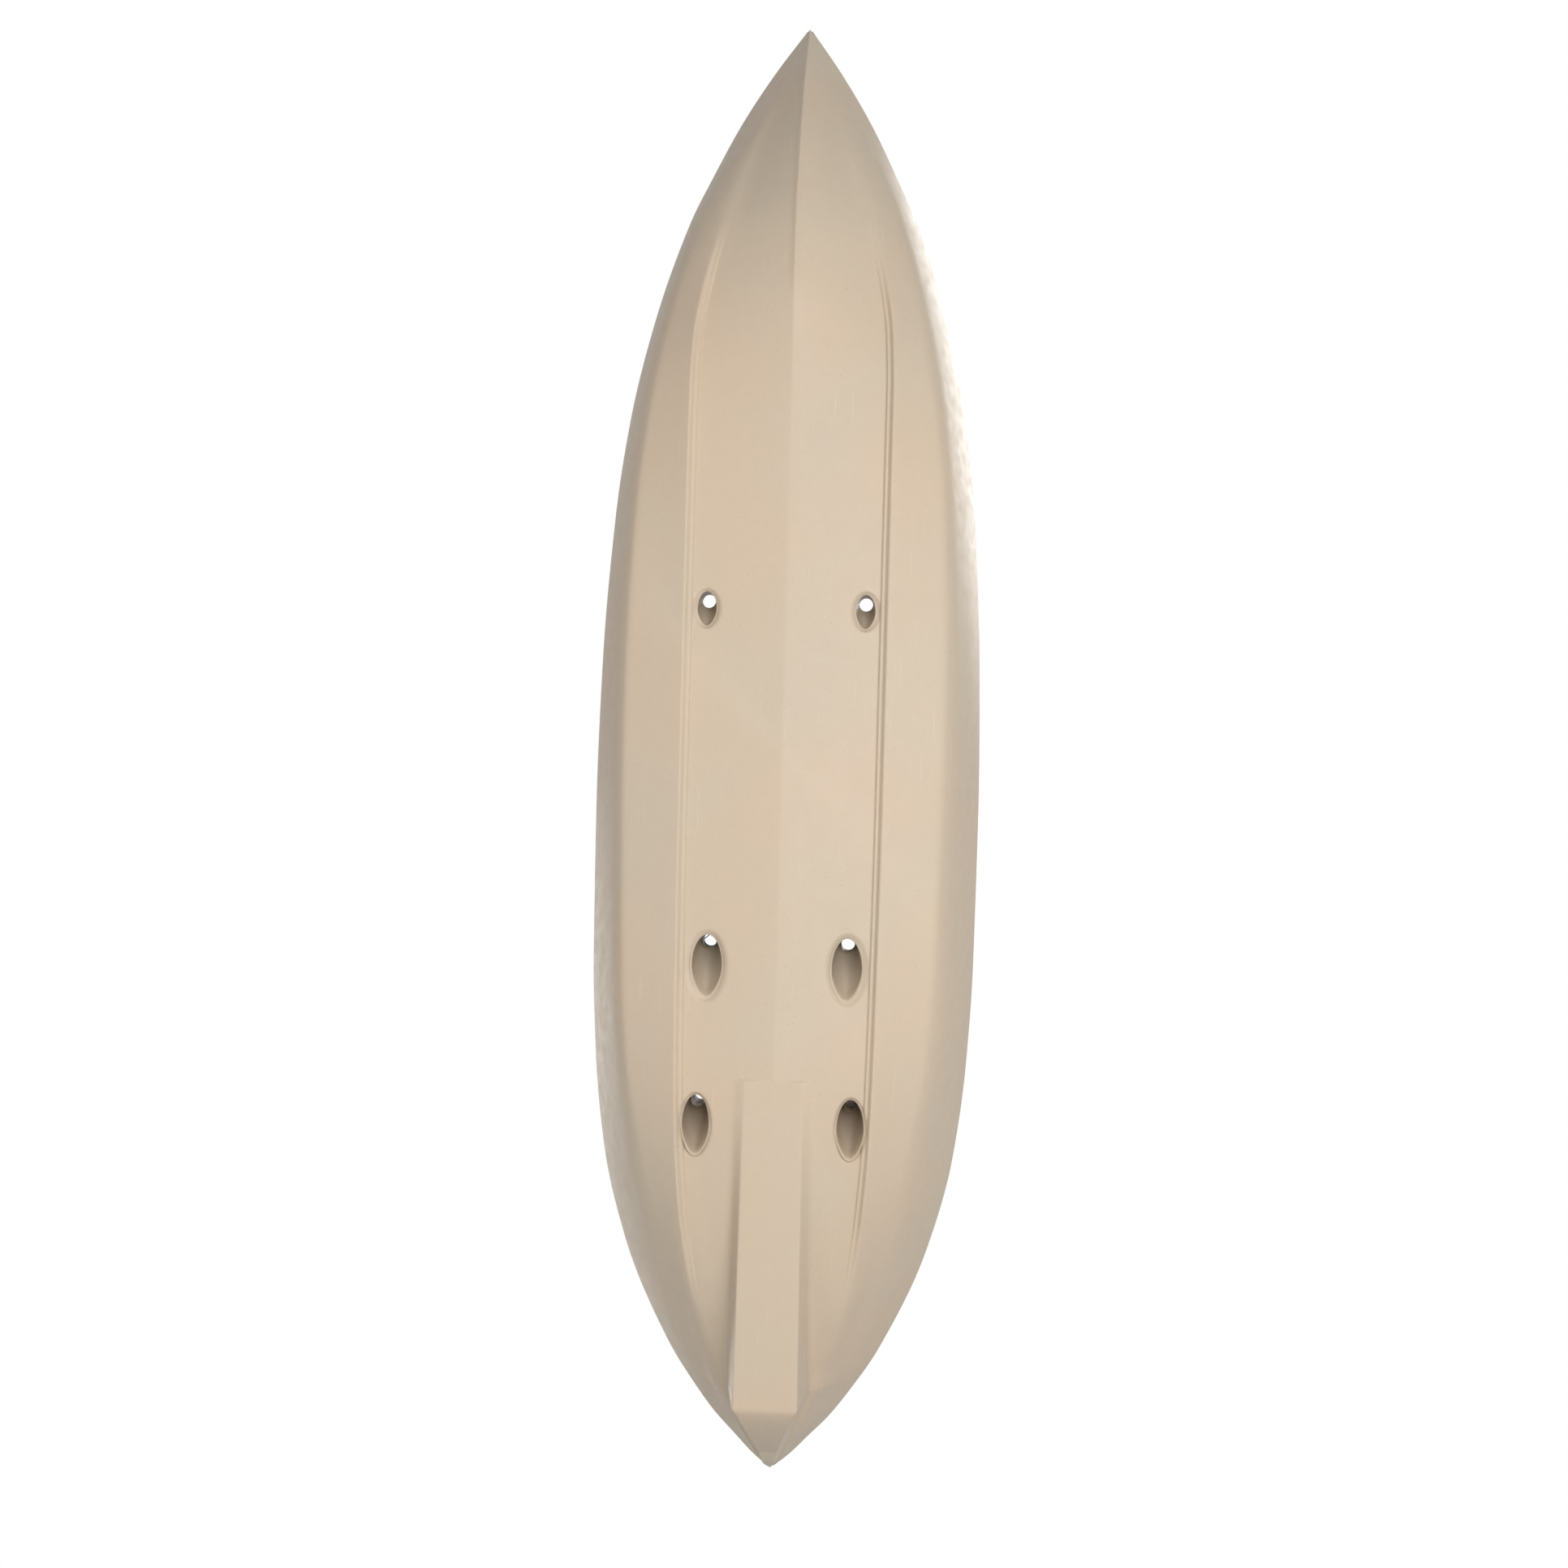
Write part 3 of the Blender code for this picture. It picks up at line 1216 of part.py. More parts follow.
def foot_brace(side, sign):
    """A rail on the footwell's outer wall, the pedal that slides on it and the pedal's release lever."""
    wall = sign * (COCKPIT_HALF_WIDTH - GAP)
    rail_end = RAIL_FRONT + RAIL_LENGTH
    extruded_along(f"foot_rail_{side}", rail_section(wall, sign, 0.0), RAIL_FRONT, rail_end, METAL)
    front = RAIL_FRONT + RAIL_LENGTH * PEDAL_AT
    aft = front + PEDAL_BLOCK_LENGTH
    head = RAIL_BASE + RAIL_NECK + RAIL_HEAD
    near = wall - sign * (RAIL_BASE + RUNNING_FIT)
    far = wall - sign * (head + PEDAL_BLOCK_WALL)
    reach = RAIL_HEAD_WIDTH / 2 + PEDAL_BLOCK_WALL
    block = box(
        f"foot_pedal_{side}",
        (min(near, far), front, RAIL_HEIGHT - reach), (max(near, far), aft, RAIL_HEIGHT + reach), BLACK,
    )
    plate_far = near - sign * PEDAL_WIDTH
    plate = box(
        f"pedal_plate_{side}",
        (min(far + sign * 0.002, plate_far), aft - PEDAL_THICKNESS, RAIL_HEIGHT - PEDAL_HEIGHT * 0.62),
        (max(far + sign * 0.002, plate_far), aft + 0.0001, RAIL_HEIGHT + PEDAL_HEIGHT * 0.38),
        bevel=0.002,
    )
    boolean(block, plate, "UNION")
    slot = extruded_along(f"pedal_slot_{side}", rail_section(wall, sign, RUNNING_FIT), front - 0.01, aft + 0.01)
    boolean(block, slot)
    top = RAIL_HEIGHT + reach
    pin = Vector(((near + far) / 2, aft - LEVER_PIN_INSET, 0))
    post = rod(f"pedal_post_{side}", (*pin.xy, top - 0.002), (*pin.xy, top + LEVER_THICKNESS), PIN_RADIUS, sides=12)
    boolean(block, post, "UNION")
    outline = rounded([
        (-LEVER_WIDTH / 2, -LEVER_LENGTH + 0.008, 0.005), (LEVER_WIDTH / 2, -LEVER_LENGTH + 0.008, 0.005),
        (LEVER_WIDTH / 2, 0.008, 0.005), (-LEVER_WIDTH / 2, 0.008, 0.005),
    ], 3)
    lever = prism(f"pedal_lever_{side}", outline, top + GAP, top + GAP + LEVER_THICKNESS, GREY)
    lever.location = (pin.x, pin.y, 0)
    eye = rod(f"lever_hole_{side}", (0, 0, 0), (0, 0, 0.5), PIN_RADIUS + RUNNING_FIT, sides=12)
    eye.parent = lever
    boolean(lever, eye)


def drawn_in(u, v):
    """The share of its half width that a cushion keeps at v, from 0 to 1 along it, and u across it."""
    waist = 1 - 0.035 * (1 - (2 * v - 1) ** 2) * abs(u) ** 3
    return waist * (1 - 0.06 * abs(2 * v - 1) ** 6 * abs(u) ** 6)


def crowned(u, v, channels):
    """The share of its thickness that a cushion has at v along it and u, from -1 to 1, across it."""
    fall = max(abs(u), abs(2 * v - 1)) ** 5
    sewn = 0.5 - 0.5 * math.cos(2 * math.pi * channels * v)
    return CUSHION_EDGE + (1 - fall) * (0.42 + 0.18 * sewn)


def cushion(name, half_width, length, thickness, channels, both_sides, finish):
    """A padded slab round z = 0, or over it, crowned, drawn in along its sides and sewn across in channels."""
    across, lengthwise = 8, 15
    bm = bmesh.new()
    tops, bottoms = [], []
    for j in range(lengthwise + 1):
        v = j / lengthwise
        top_row, bottom_row = [], []
        for i in range(across + 1):
            u = 2 * i / across - 1
            x = u * half_width * drawn_in(u, v)
            y = (v - 0.5) * length * (1 - 0.06 * abs(2 * v - 1) ** 6 * abs(u) ** 6)
            height = thickness * crowned(u, v, channels)
            top_row.append(bm.verts.new((x, y, height / 2 if both_sides else height)))
            bottom_row.append(bm.verts.new((x, y, -height / 2 if both_sides else 0.0)))
        tops.append(top_row)
        bottoms.append(bottom_row)
    for j in range(lengthwise):
        for i in range(across):
            bm.faces.new((tops[j][i], tops[j][i + 1], tops[j + 1][i + 1], tops[j + 1][i]))
            bm.faces.new((bottoms[j + 1][i], bottoms[j + 1][i + 1], bottoms[j][i + 1], bottoms[j][i]))
    rim = [(0, i) for i in range(across)] + [(j, across) for j in range(lengthwise)]
    rim += [(lengthwise, across - i) for i in range(across)] + [(lengthwise - j, 0) for j in range(lengthwise)]
    for (j0, i0), (j1, i1) in zip(rim, rim[1:] + rim[:1]):
        bm.faces.new((bottoms[j0][i0], bottoms[j1][i1], tops[j1][i1], tops[j0][i0]))
    bmesh.ops.recalc_face_normals(bm, faces=bm.faces)
    return place(name, bm, finish)


def seat_hinge():
    """Where the back rest turns, on the upright hem at the back of the seat pad."""
    edge = SEAT_BACK_THICKNESS * CUSHION_EDGE / 2
    return Vector((0, SEAT_HEM_Y, SEAT_FLOOR + GAP + SEAT_HEM_RISE + GAP + edge)), edge


def seat():
    """Seat pad with its upright rear hem, and the back rest that turns on the hem."""
    floor = SEAT_FLOOR + GAP
    rear = SEAT_HEM_Y - SEAT_HEM / 2
    pad = cushion("seat_pad", SEAT_PAD_HALF_WIDTH, SEAT_PAD_LENGTH, SEAT_PAD_THICKNESS, 4, False, FABRIC)
    pad.location = (0, rear - SEAT_PAD_LENGTH / 2, floor)
    hem = box(
        "seat_hem", (-SEAT_HEM_HALF_WIDTH, rear - 0.001, floor + 0.001),
        (SEAT_HEM_HALF_WIDTH, rear + SEAT_HEM, floor + SEAT_HEM_RISE),
    )
    boolean(pad, hem, "UNION")
    hinge, edge = seat_hinge()
    back = cushion(
        "seat_back", SEAT_BACK_HALF_WIDTH, SEAT_BACK_HEIGHT, SEAT_BACK_THICKNESS, SEAT_BACK_CHANNELS, True, FABRIC
    )
    lean = math.radians(SEAT_BACK_LEAN)
    along_back = Vector((0, math.sin(lean), math.cos(lean)))
    face = Vector((0, -math.cos(lean), math.sin(lean)))
    turn = Matrix((Vector((1, 0, 0)), along_back, face)).transposed().to_4x4()
    back.data.transform(turn @ Matrix.Translation((0, SEAT_BACK_HEIGHT / 2, 0)))
    roll = rod("seat_back_edge", (-SEAT_HEM_HALF_WIDTH, 0, 0), (SEAT_HEM_HALF_WIDTH, 0, 0), edge, sides=16)
    roll.location = hinge
    back.location = hinge
    boolean(back, roll, "UNION")
    up = STRAP_SHARE_UP
    fixed = hinge + along_back * SEAT_BACK_HEIGHT * up
    clear = GAP + STRAP_THICKNESS / 2
    widest = up + STRAP_WIDTH / SEAT_BACK_HEIGHT
    side_x = SEAT_BACK_HALF_WIDTH * drawn_in(1.0, widest) + clear
    aft = SEAT_BACK_THICKNESS / 2 * crowned(0.0, up, SEAT_BACK_CHANNELS) + clear
    aft_y = fixed.y + aft / math.cos(lean) + 0.5 * STRAP_WIDTH * math.tan(lean)
    for side, sign in SIDES:
        start = [Vector((side_x, fixed.y - 0.006, fixed.z)), Vector((side_x, fixed.y + 0.006, fixed.z))]
        strap_and_clip(f"front_{side}", sign, start, Vector((*front_strap_eye(), 0)), True)
        start = [
            Vector((SEAT_BACK_HALF_WIDTH * 0.45, aft_y, fixed.z)), Vector((SEAT_BACK_HALF_WIDTH * 0.25, aft_y, fixed.z))
        ]
        strap_and_clip(f"rear_{side}", sign, start, Vector((*rear_strap_eye(), 0)), False)


def band(name, points, ups, thickness, width, finish):
    """A flat strip through points. ups gives the direction of its width at each."""
    bm = bmesh.new()
    rings = []
    for i, (point, up) in enumerate(zip(points, ups)):
        ahead = points[min(i + 1, len(points) - 1)] - point
        behind = point - points[max(i - 1, 0)]
        ahead = (ahead if ahead.length else behind).normalized()
        behind = (behind if behind.length else ahead).normalized()
        run = (ahead + behind).normalized()
        side = up.cross(run).normalized() * thickness / 2 / max(0.5, run.dot(ahead))
        rise = up * width / 2
        corners = (point + side + rise, point - side + rise, point - side - rise, point + side - rise)
        rings.append([bm.verts.new(corner) for corner in corners])
    for low, high in zip(rings, rings[1:]):
        for i in range(4):
            j = (i + 1) % 4
            bm.faces.new((low[i], low[j], high[j], high[i]))
    bm.faces.new(rings[0])
    bm.faces.new(rings[-1])
    bmesh.ops.recalc_face_normals(bm, faces=bm.faces)
    return place(name, bm, finish)


def mirror_over(piece, sign):
    """Mirrors a piece that was made for the +X side where sign is -1."""
    if sign < 0:
        piece.data.transform(Matrix.Diagonal((-1, 1, 1, 1)))
        piece.data.flip_normals()


def strap_and_clip(which, sign, start, eye, across):
    """A strap from start on the back rest, looped round the bar of a flat clip that hangs on a pad eye.

    The places are given for the +X side, and sign puts them on either side. The eye lies across the boat or
    along it.
    """
    eye.z = eye_base(eye.x, eye.y, across) + EYE_BASE + EYE_LOOP_RISE + EYE_LOOP_RADIUS
    pull = (start[0] - eye).normalized()
    side = Vector((0, 0, 1)).cross(pull).normalized()
    rise = pull.cross(side)
    slant = abs(pull.x / pull.y) if across else abs(pull.y / pull.x)
    wire = EYE_WIRE * math.hypot(1, slant) + CLIP_THICKNESS / 2 * slant
    hook = CLIP_HOLE - wire - 2 * GAP
    bar = hook + CLIP_HOLE + CLIP_NECK + CLIP_SLOT

    # The strap turns round the bar and lies on itself for the length of its fold
    clear = STRAP_THICKNESS / 2 + GAP
    wide = CLIP_THICKNESS / 2 + clear
    near = bar - clear
    far = bar + CLIP_BAR + clear
    turns = [
        (far + STRAP_FOLD, STRAP_THICKNESS + GAP), (far + 0.010, STRAP_THICKNESS + GAP), (far, wide), (near, wide),
        (near, -wide), (far, -wide), (far + 0.010, 0.0), (far + STRAP_FOLD, 0.0),
    ]
    points = [eye + pull * reach + side * aside for reach, aside in turns] + start
    upright = Vector((0, 0, 1))
    ups = [rise] * len(turns) + [upright] * len(start)
    mirror_over(band(f"strap_{which}", points, ups, STRAP_THICKNESS, STRAP_WIDTH, WEBBING), sign)

    # The clip's plate is drawn flat with its pull along +Y, then stood up
    half = STRAP_WIDTH / 2 + GAP * 2
    reach = CLIP_HOLE + CLIP_RIM
    shoulder = bar - CLIP_SLOT - 0.004
    outline = rounded([
        (-half - CLIP_SIDE, shoulder, 0.003), (-reach, hook + reach * 0.5, 0.002),
        (-reach, hook - reach, reach * 0.95), (reach, hook - reach, reach * 0.95),
        (reach, hook + reach * 0.5, 0.002), (half + CLIP_SIDE, shoulder, 0.003),
        (half + CLIP_SIDE, bar + CLIP_BAR, 0.003), (-half - CLIP_SIDE, bar + CLIP_BAR, 0.003),
    ], 2)
    clip = prism(f"strap_clip_{which}", outline, -CLIP_THICKNESS / 2, CLIP_THICKNESS / 2, BLACK)
    hole = rod(f"clip_hole_{which}", (0, hook, -0.01), (0, hook, 0.01), CLIP_HOLE, sides=12)
    slot = box(f"clip_slot_{which}", (-half, bar - CLIP_SLOT, -0.01), (half, bar, 0.01))
    stand = Matrix((rise, pull, rise.cross(pull))).transposed().to_4x4()
    for piece in (clip, hole, slot):
        piece.data.transform(Matrix.Translation(eye) @ stand)
        mirror_over(piece, sign)
    boolean(clip, hole)
    boolean(clip, slot)


def pad_eye(name, x, y, across):
    """A base plate with a half-round loop over it, along Y or across the boat."""
    base = eye_base(x, y, across)
    plate = prism(name, rectangle(0, 0, EYE_WIDTH / 2, EYE_LENGTH / 2, 0.005), base, base + EYE_BASE, BLACK)
    foot = base + EYE_BASE
    points = [(0, -EYE_LOOP_RADIUS, foot - 0.002)]
    for step in range(7):
        angle = math.pi * step / 6
        rise = foot + EYE_LOOP_RISE + EYE_LOOP_RADIUS * math.sin(angle)
        points.append((0, -EYE_LOOP_RADIUS * math.cos(angle), rise))
    points.append((0, EYE_LOOP_RADIUS, foot - 0.002))
    loop = tube(f"{name}_loop", points, EYE_WIRE)
    turn = Matrix.Rotation(math.pi / 2 if across else 0.0, 4, "Z")
    for piece in (plate, loop):
        piece.data.transform(Matrix.Translation((x, y, 0)) @ turn)
    boolean(plate, loop, "UNION")
    return plate


def bend(points, radius, steps=2):
    """Points of a bent bar with rounded corners."""
    path = [Vector(points[0])]
    for before, corner, after in zip(points, points[1:], points[2:]):
        corner = Vector(corner)
        back = (Vector(before) - corner).normalized()
        on = (Vector(after) - corner).normalized()
        start, end = corner + back * radius, corner + on * radius
        for step in range(steps + 1):
            t = step / steps
            path.append(start * (1 - t) ** 2 + corner * 2 * t * (1 - t) + end * t**2)
    path.append(Vector(points[-1]))
    return path


def handle(name, x, y, heading):
    """A carry handle: a bail with a thick grip, whose pins turn in two brackets."""
    reach = handle_pad(x, y, heading)
    base = pad_height(x, y, *reach) + GAP
    pivot_z = base + HANDLE_LIFT
    half = HANDLE_HALF_SPAN
    turn = Matrix.Rotation(math.radians(heading), 4, "Z")
    path = bend([
        (0, half + HANDLE_PIN, 0), (0, half, 0), (HANDLE_ARM, half, 0), (HANDLE_ARM, -half, 0), (0, -half, 0),
        (0, -half - HANDLE_PIN, 0),
    ], HANDLE_BEND)
    bail = tube(f"{name}_bail", path, HANDLE_WIRE, BLACK)
    grip_half = half - HANDLE_BEND - 0.002
    grip = rod(f"{name}_grip", (HANDLE_ARM, -grip_half, 0), (HANDLE_ARM, grip_half, 0), HANDLE_GRIP, sides=12)
    grip.parent = bail
    boolean(bail, grip, "UNION")
    bail.matrix_world = Matrix.Translation((x, y, pivot_z)) @ turn
    for end, sign in (("a", -1), ("b", 1)):
        inner = sign * BRACKET_INNER
        outer = inner + sign * BRACKET_LENGTH
        bracket = box(
            f"{name}_bracket_{end}",
            (-BRACKET_DEPTH / 2, min(inner, outer), base - pivot_z),
            (BRACKET_DEPTH / 2, max(inner, outer), HANDLE_WIRE + BRACKET_OVER), BLACK, bevel=0.002,
        )
        bore = rod(
            f"{name}_bore_{end}", (0, inner - sign * 0.01, 0), (0, sign * (half + HANDLE_PIN + 0.001), 0),
            HANDLE_WIRE + GAP * 2, sides=10,
        )
        bore.parent = bracket
        boolean(bracket, bore)
        bracket.matrix_world = Matrix.Translation((x, y, pivot_z)) @ turn


def plugs():
    """The drain plug in the stern deck with its seal, and a bung in one rear scupper."""
    y = STERN - DRAIN_FROM_STERN
    base = pad_height(0, y, 0, DRAIN_HEAD_RADIUS + PAD_MARGIN) + GAP
    gasket_top = base + DRAIN_GASKET
    gasket = turned(
        "drain_seal",
        [
            (DRAIN_RADIUS + 0.001, gasket_top), (DRAIN_HEAD_RADIUS - 0.001, gasket_top),
            (DRAIN_HEAD_RADIUS - 0.001, base), (DRAIN_RADIUS + 0.001, base),
        ],
        RUBBER, closed=True,
    )
    gasket.location = (0, y, 0)
    low = gasket_top + GAP
    plug = turned(
        "drain_plug",
        [
            (0, low + DRAIN_HEAD), (DRAIN_HEAD_RADIUS - 0.002, low + DRAIN_HEAD), (DRAIN_HEAD_RADIUS, low + 0.003),
            (DRAIN_HEAD_RADIUS, low), (DRAIN_RADIUS, low), (DRAIN_RADIUS, low - DRAIN_STUB),
            (DRAIN_RADIUS - 0.002, low - DRAIN_STUB - 0.002), (0, low - DRAIN_STUB - 0.002),
        ],
        BLACK,
    )
    plug.location = (0, y, 0)
    wing = box("drain_wing", (-0.011, -0.0025, low + 0.001), (0.011, 0.0025, low + DRAIN_HEAD + 0.007))
    wing.parent = plug
    boolean(plug, wing, "UNION")
    plug_y = STERN - REAR_SCUPPER_FROM_STERN
    tube_top = TANK_FLOOR - WALL - GAP
    mouth = bottom_height(REAR_SCUPPER_X, plug_y) + DISH_DEPTH
    throat = mouth + SCUPPER_THROAT * (tube_top - mouth)
    bung = turned(
        "scupper_plug",
        [
            (0, PLUG_LENGTH), (PLUG_RADIUS - 0.002, PLUG_LENGTH), (PLUG_RADIUS - 0.0007, PLUG_LENGTH - 0.003),
            (PLUG_RADIUS, 0), (0.009, 0), (0.008, -0.002), (0.003, -0.002), (0.003, 0), (0, 0),
        ],
        RUBBER, SCUPPER_SIDES,
    )
    bung.location = (REAR_SCUPPER_X, plug_y, throat + 0.004)


hull_shell()
deck_shell()
cockpit_tub()
tank_tub()
foam_block("console_foam_block", CUP_PLACE, CONSOLE_FOAM_LENGTH, cup_floor() - WALL - GAP)
foam_block("seat_foam_block", SEAT_FOAM_Y, SEAT_FOAM_LENGTH, SEAT_FLOOR - WALL - GAP)
for hatch_name, hatch_y, hatch_radius in hatches():
    hatch(hatch_name, hatch_y, hatch_radius)
for which, towards in SIDES:
    rod_tube(which, towards)
    foot_brace(which, towards)
swivel_rod_holder()
seat()
for eye_name, eye_x, eye_y, lies_across in eyes():
    pad_eye(eye_name, eye_x, eye_y, lies_across)
for handle_name, handle_x, handle_y, handle_heading in handles():
    handle(handle_name, handle_x, handle_y, handle_heading)
plugs()
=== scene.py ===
"""Looks of the sit-on-top fishing kayak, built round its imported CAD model.

The hull and the deck are rebuilt finely from the same lines as the CAD, the seat's cushions are simulated,
and the fittings get rounder forms and finished materials.
"""

import json
import math

import bmesh
import bpy
import numpy as np
from mathutils import Matrix, Vector, noise

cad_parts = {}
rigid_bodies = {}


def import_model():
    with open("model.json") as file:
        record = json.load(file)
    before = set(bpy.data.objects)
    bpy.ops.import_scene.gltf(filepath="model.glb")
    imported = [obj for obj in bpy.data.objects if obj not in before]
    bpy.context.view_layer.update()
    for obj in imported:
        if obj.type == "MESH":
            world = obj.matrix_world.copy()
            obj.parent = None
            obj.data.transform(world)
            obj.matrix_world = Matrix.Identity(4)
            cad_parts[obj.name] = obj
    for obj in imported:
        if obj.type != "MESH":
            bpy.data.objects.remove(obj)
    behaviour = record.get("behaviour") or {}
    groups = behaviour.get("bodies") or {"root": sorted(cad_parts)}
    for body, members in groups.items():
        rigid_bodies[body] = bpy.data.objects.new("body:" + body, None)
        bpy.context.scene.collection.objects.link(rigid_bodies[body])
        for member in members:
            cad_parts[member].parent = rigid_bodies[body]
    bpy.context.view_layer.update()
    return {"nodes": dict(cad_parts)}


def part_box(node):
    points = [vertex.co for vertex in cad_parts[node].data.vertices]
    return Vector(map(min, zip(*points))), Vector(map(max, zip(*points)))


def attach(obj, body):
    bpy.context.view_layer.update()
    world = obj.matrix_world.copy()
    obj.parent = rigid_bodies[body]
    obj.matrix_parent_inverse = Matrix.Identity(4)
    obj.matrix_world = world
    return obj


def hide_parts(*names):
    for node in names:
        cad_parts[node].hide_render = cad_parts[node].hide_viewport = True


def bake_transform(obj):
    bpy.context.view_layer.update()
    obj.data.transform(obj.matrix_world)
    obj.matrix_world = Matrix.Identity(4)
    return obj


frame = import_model()

# The boat's lines, as in the CAD
LENGTH, BEAM, SIDE_HEIGHT, BOW_SHEER, STERN_SHEER, GAP = 3.05, 0.796, 0.225, 0.120, 0.065, 0.0003
BOW, STERN = -LENGTH / 2, LENGTH / 2
SIDES = (("starboard", -1), ("port", 1))
HALF_BEAM = (
    (0.0, 0.012), (0.033, 0.185), (0.069, 0.348), (0.105, 0.483), (0.139, 0.600), (0.209, 0.768),
    (0.276, 0.877), (0.343, 0.940), (0.444, 0.986), (0.543, 1.0), (0.643, 0.996), (0.710, 0.975),
    (0.777, 0.919), (0.844, 0.791), (0.9125, 0.560), (0.947, 0.391), (0.963, 0.298), (0.977, 0.1975),
    (0.989, 0.112), (0.9945, 0.066), (1.0, 0.014),
)
CHINE_INSET = (
    (0.0, 0.003), (0.04, 0.036), (0.115, 0.045), (0.29, 0.053), (0.54, 0.067), (0.69, 0.075),
    (0.81, 0.090), (0.87, 0.085), (0.934, 0.060), (0.984, 0.020), (1.0, 0.003),
)
CHINE_SHARE = (
    (0.0, 0.9797), (0.05, 0.838), (0.115, 0.574), (0.197, 0.3345), (0.28, 0.2337), (0.39, 0.195),
    (0.54, 0.1865), (0.69, 0.2148), (0.787, 0.3276), (0.869, 0.5033), (0.934, 0.697), (1.0, 0.9862),
)
STEP_LINE = (
    (0.0, 0.001), (0.04, 0.034), (0.115, 0.105), (0.162, 0.142), (0.20, 0.167), (0.232, 0.180),
    (0.27, 0.184), (0.54, 0.184), (0.675, 0.181), (0.754, 0.176), (0.80, 0.167), (0.852, 0.148),
    (0.92, 0.095), (0.98, 0.024), (1.0, 0.001),
)
PONTOON_SHARE = (
    (0.0, 0.9681), (0.039, 0.789), (0.115, 0.4694), (0.172, 0.2603), (0.25, 0.0549), (0.32, 0.0),
    (0.7, 0.0), (0.787, 0.0901), (0.852, 0.2549), (0.934, 0.5539), (0.984, 0.8441), (1.0, 0.9793),
)
KEEL_SHARE = (
    (0.0, 0.9565), (0.0164, 0.8213), (0.049, 0.5734), (0.108, 0.231), (0.164, 0.0466), (0.213, 0.0),
    (0.71, 0.0), (0.787, 0.0491), (0.852, 0.1333), (0.934, 0.2935), (0.984, 0.6375), (1.0, 0.9655),
)
STEP_FADE = ((0.156, 0.0), (0.24, 1.0), (0.79, 1.0), (0.872, 0.0))
STEP_DEPTH, STEP_WIDTH = 0.013, 0.018
SKEG_START, SKEG_HEEL, SKEG_WIDTH, SKEG_DRAFT, SKEG_FRONT_RAMP = 0.87, 0.21, 0.118, 0.018, 0.006
DECK_EDGE_RISE = (
    (0.0, 0.127), (0.033, 0.12), (0.1, 0.1), (0.2, 0.065), (0.28, 0.039), (0.31, 0.037),
    (0.74, 0.037), (0.85, 0.05), (0.95, 0.072), (1.0, 0.078),
)
DECK_CROWN = (
    (0.0, 0.002), (0.04, 0.009), (0.108, 0.024), (0.154, 0.040), (0.20, 0.054), (0.25, 0.046),
    (0.30, 0.023), (0.50, 0.026), (0.74, 0.023), (0.80, 0.022), (0.90, 0.020), (0.97, 0.006), (1.0, 0.002),
)
CROWN_FLAT = (
    (0.0, 0.30), (0.06, 0.40), (0.15, 0.54), (0.22, 0.45), (0.29, 0.36), (0.31, 0.34), (0.72, 0.34),
    (0.85, 0.30), (1.0, 0.30),
)
CROWN_FOOT = ((0.0, 0.95), (0.22, 0.88), (0.30, 0.66), (0.74, 0.66), (0.85, 0.88), (1.0, 0.95))
CROWN_SAG, DECK_ROUND, SEAM_COVER = 0.08, 0.033, 0.012
FOOTWELL_FLOOR, SEAT_FLOOR, SEAT_FRONT, TANK_FLOOR = 0.075, 0.105, -0.03, 0.150
COCKPIT_HALF_WIDTH, SEAT_HALF_WIDTH, CONSOLE_HALF_WIDTH = 0.270, 0.225, 0.090
CONSOLE_AFT, FOOTWELL_FRONT, COCKPIT_AFT = -0.105, -0.760, 0.455
TANK_FRONT, TANK_AFT, TANK_FRONT_HALF_WIDTH, TANK_AFT_HALF_WIDTH = 0.865, 0.395, 0.205, 0.160
CUP_PLACE, CUP_RADIUS, CUP_DEPTH = -0.212, 0.040, 0.060
SCUPPER_RADIUS, DISH_DEPTH, FUNNEL_DRAFT, SCUPPER_THROAT = 0.0135, 0.006, 0.003, 0.70
PLUGGED_X, PLUGGED_Y = 0.154, STERN - 0.815
SCUPPERS = (
    (0.157, -0.290, FOOTWELL_FLOOR, (0.019, 0.034), (0.032, 0.042)),
    (0.139, 0.390, SEAT_FLOOR, (0.030, 0.062), (0.046, 0.076)),
    (PLUGGED_X, PLUGGED_Y, TANK_FLOOR, (0.027, 0.060), (0.036, 0.068)),
)
HATCHES = (("bow_hatch", BOW + 0.47, 0.095), ("console_hatch", -0.360, 0.050))
ROD_TUBE_X, ROD_TUBE_Y = 0.290, COCKPIT_AFT + 0.120
ROD_TUBE_TOP, ROD_TUBE_ROUND = 0.2693, 0.86
ROD_MOUNT_Y = -0.545
DRAIN_Y = STERN - 0.135
EYES = (
    ("strap_eye_front", 0.318, 0.035, True), ("strap_eye_rear", 0.272, 0.492, False),
    ("tank_eye_front", 0.245, 0.735, False), ("tank_eye_rear", 0.205, 1.095, False),
)
HANDLES = (
    ("side_handle_starboard", -0.3362, -0.125, 0.0), ("side_handle_port", 0.3362, -0.125, 180.0),
    ("bow_handle", 0.0, -1.34, 90.0), ("stern_handle", 0.0, 1.32, -90.0),
)
BAIL_HALF, BRACKET_GAP, BRACKET_WIDTH = 0.055, 0.010, 0.016


def share_of(y):
    return min(max((y - BOW) / LENGTH, 0.0), 1.0)


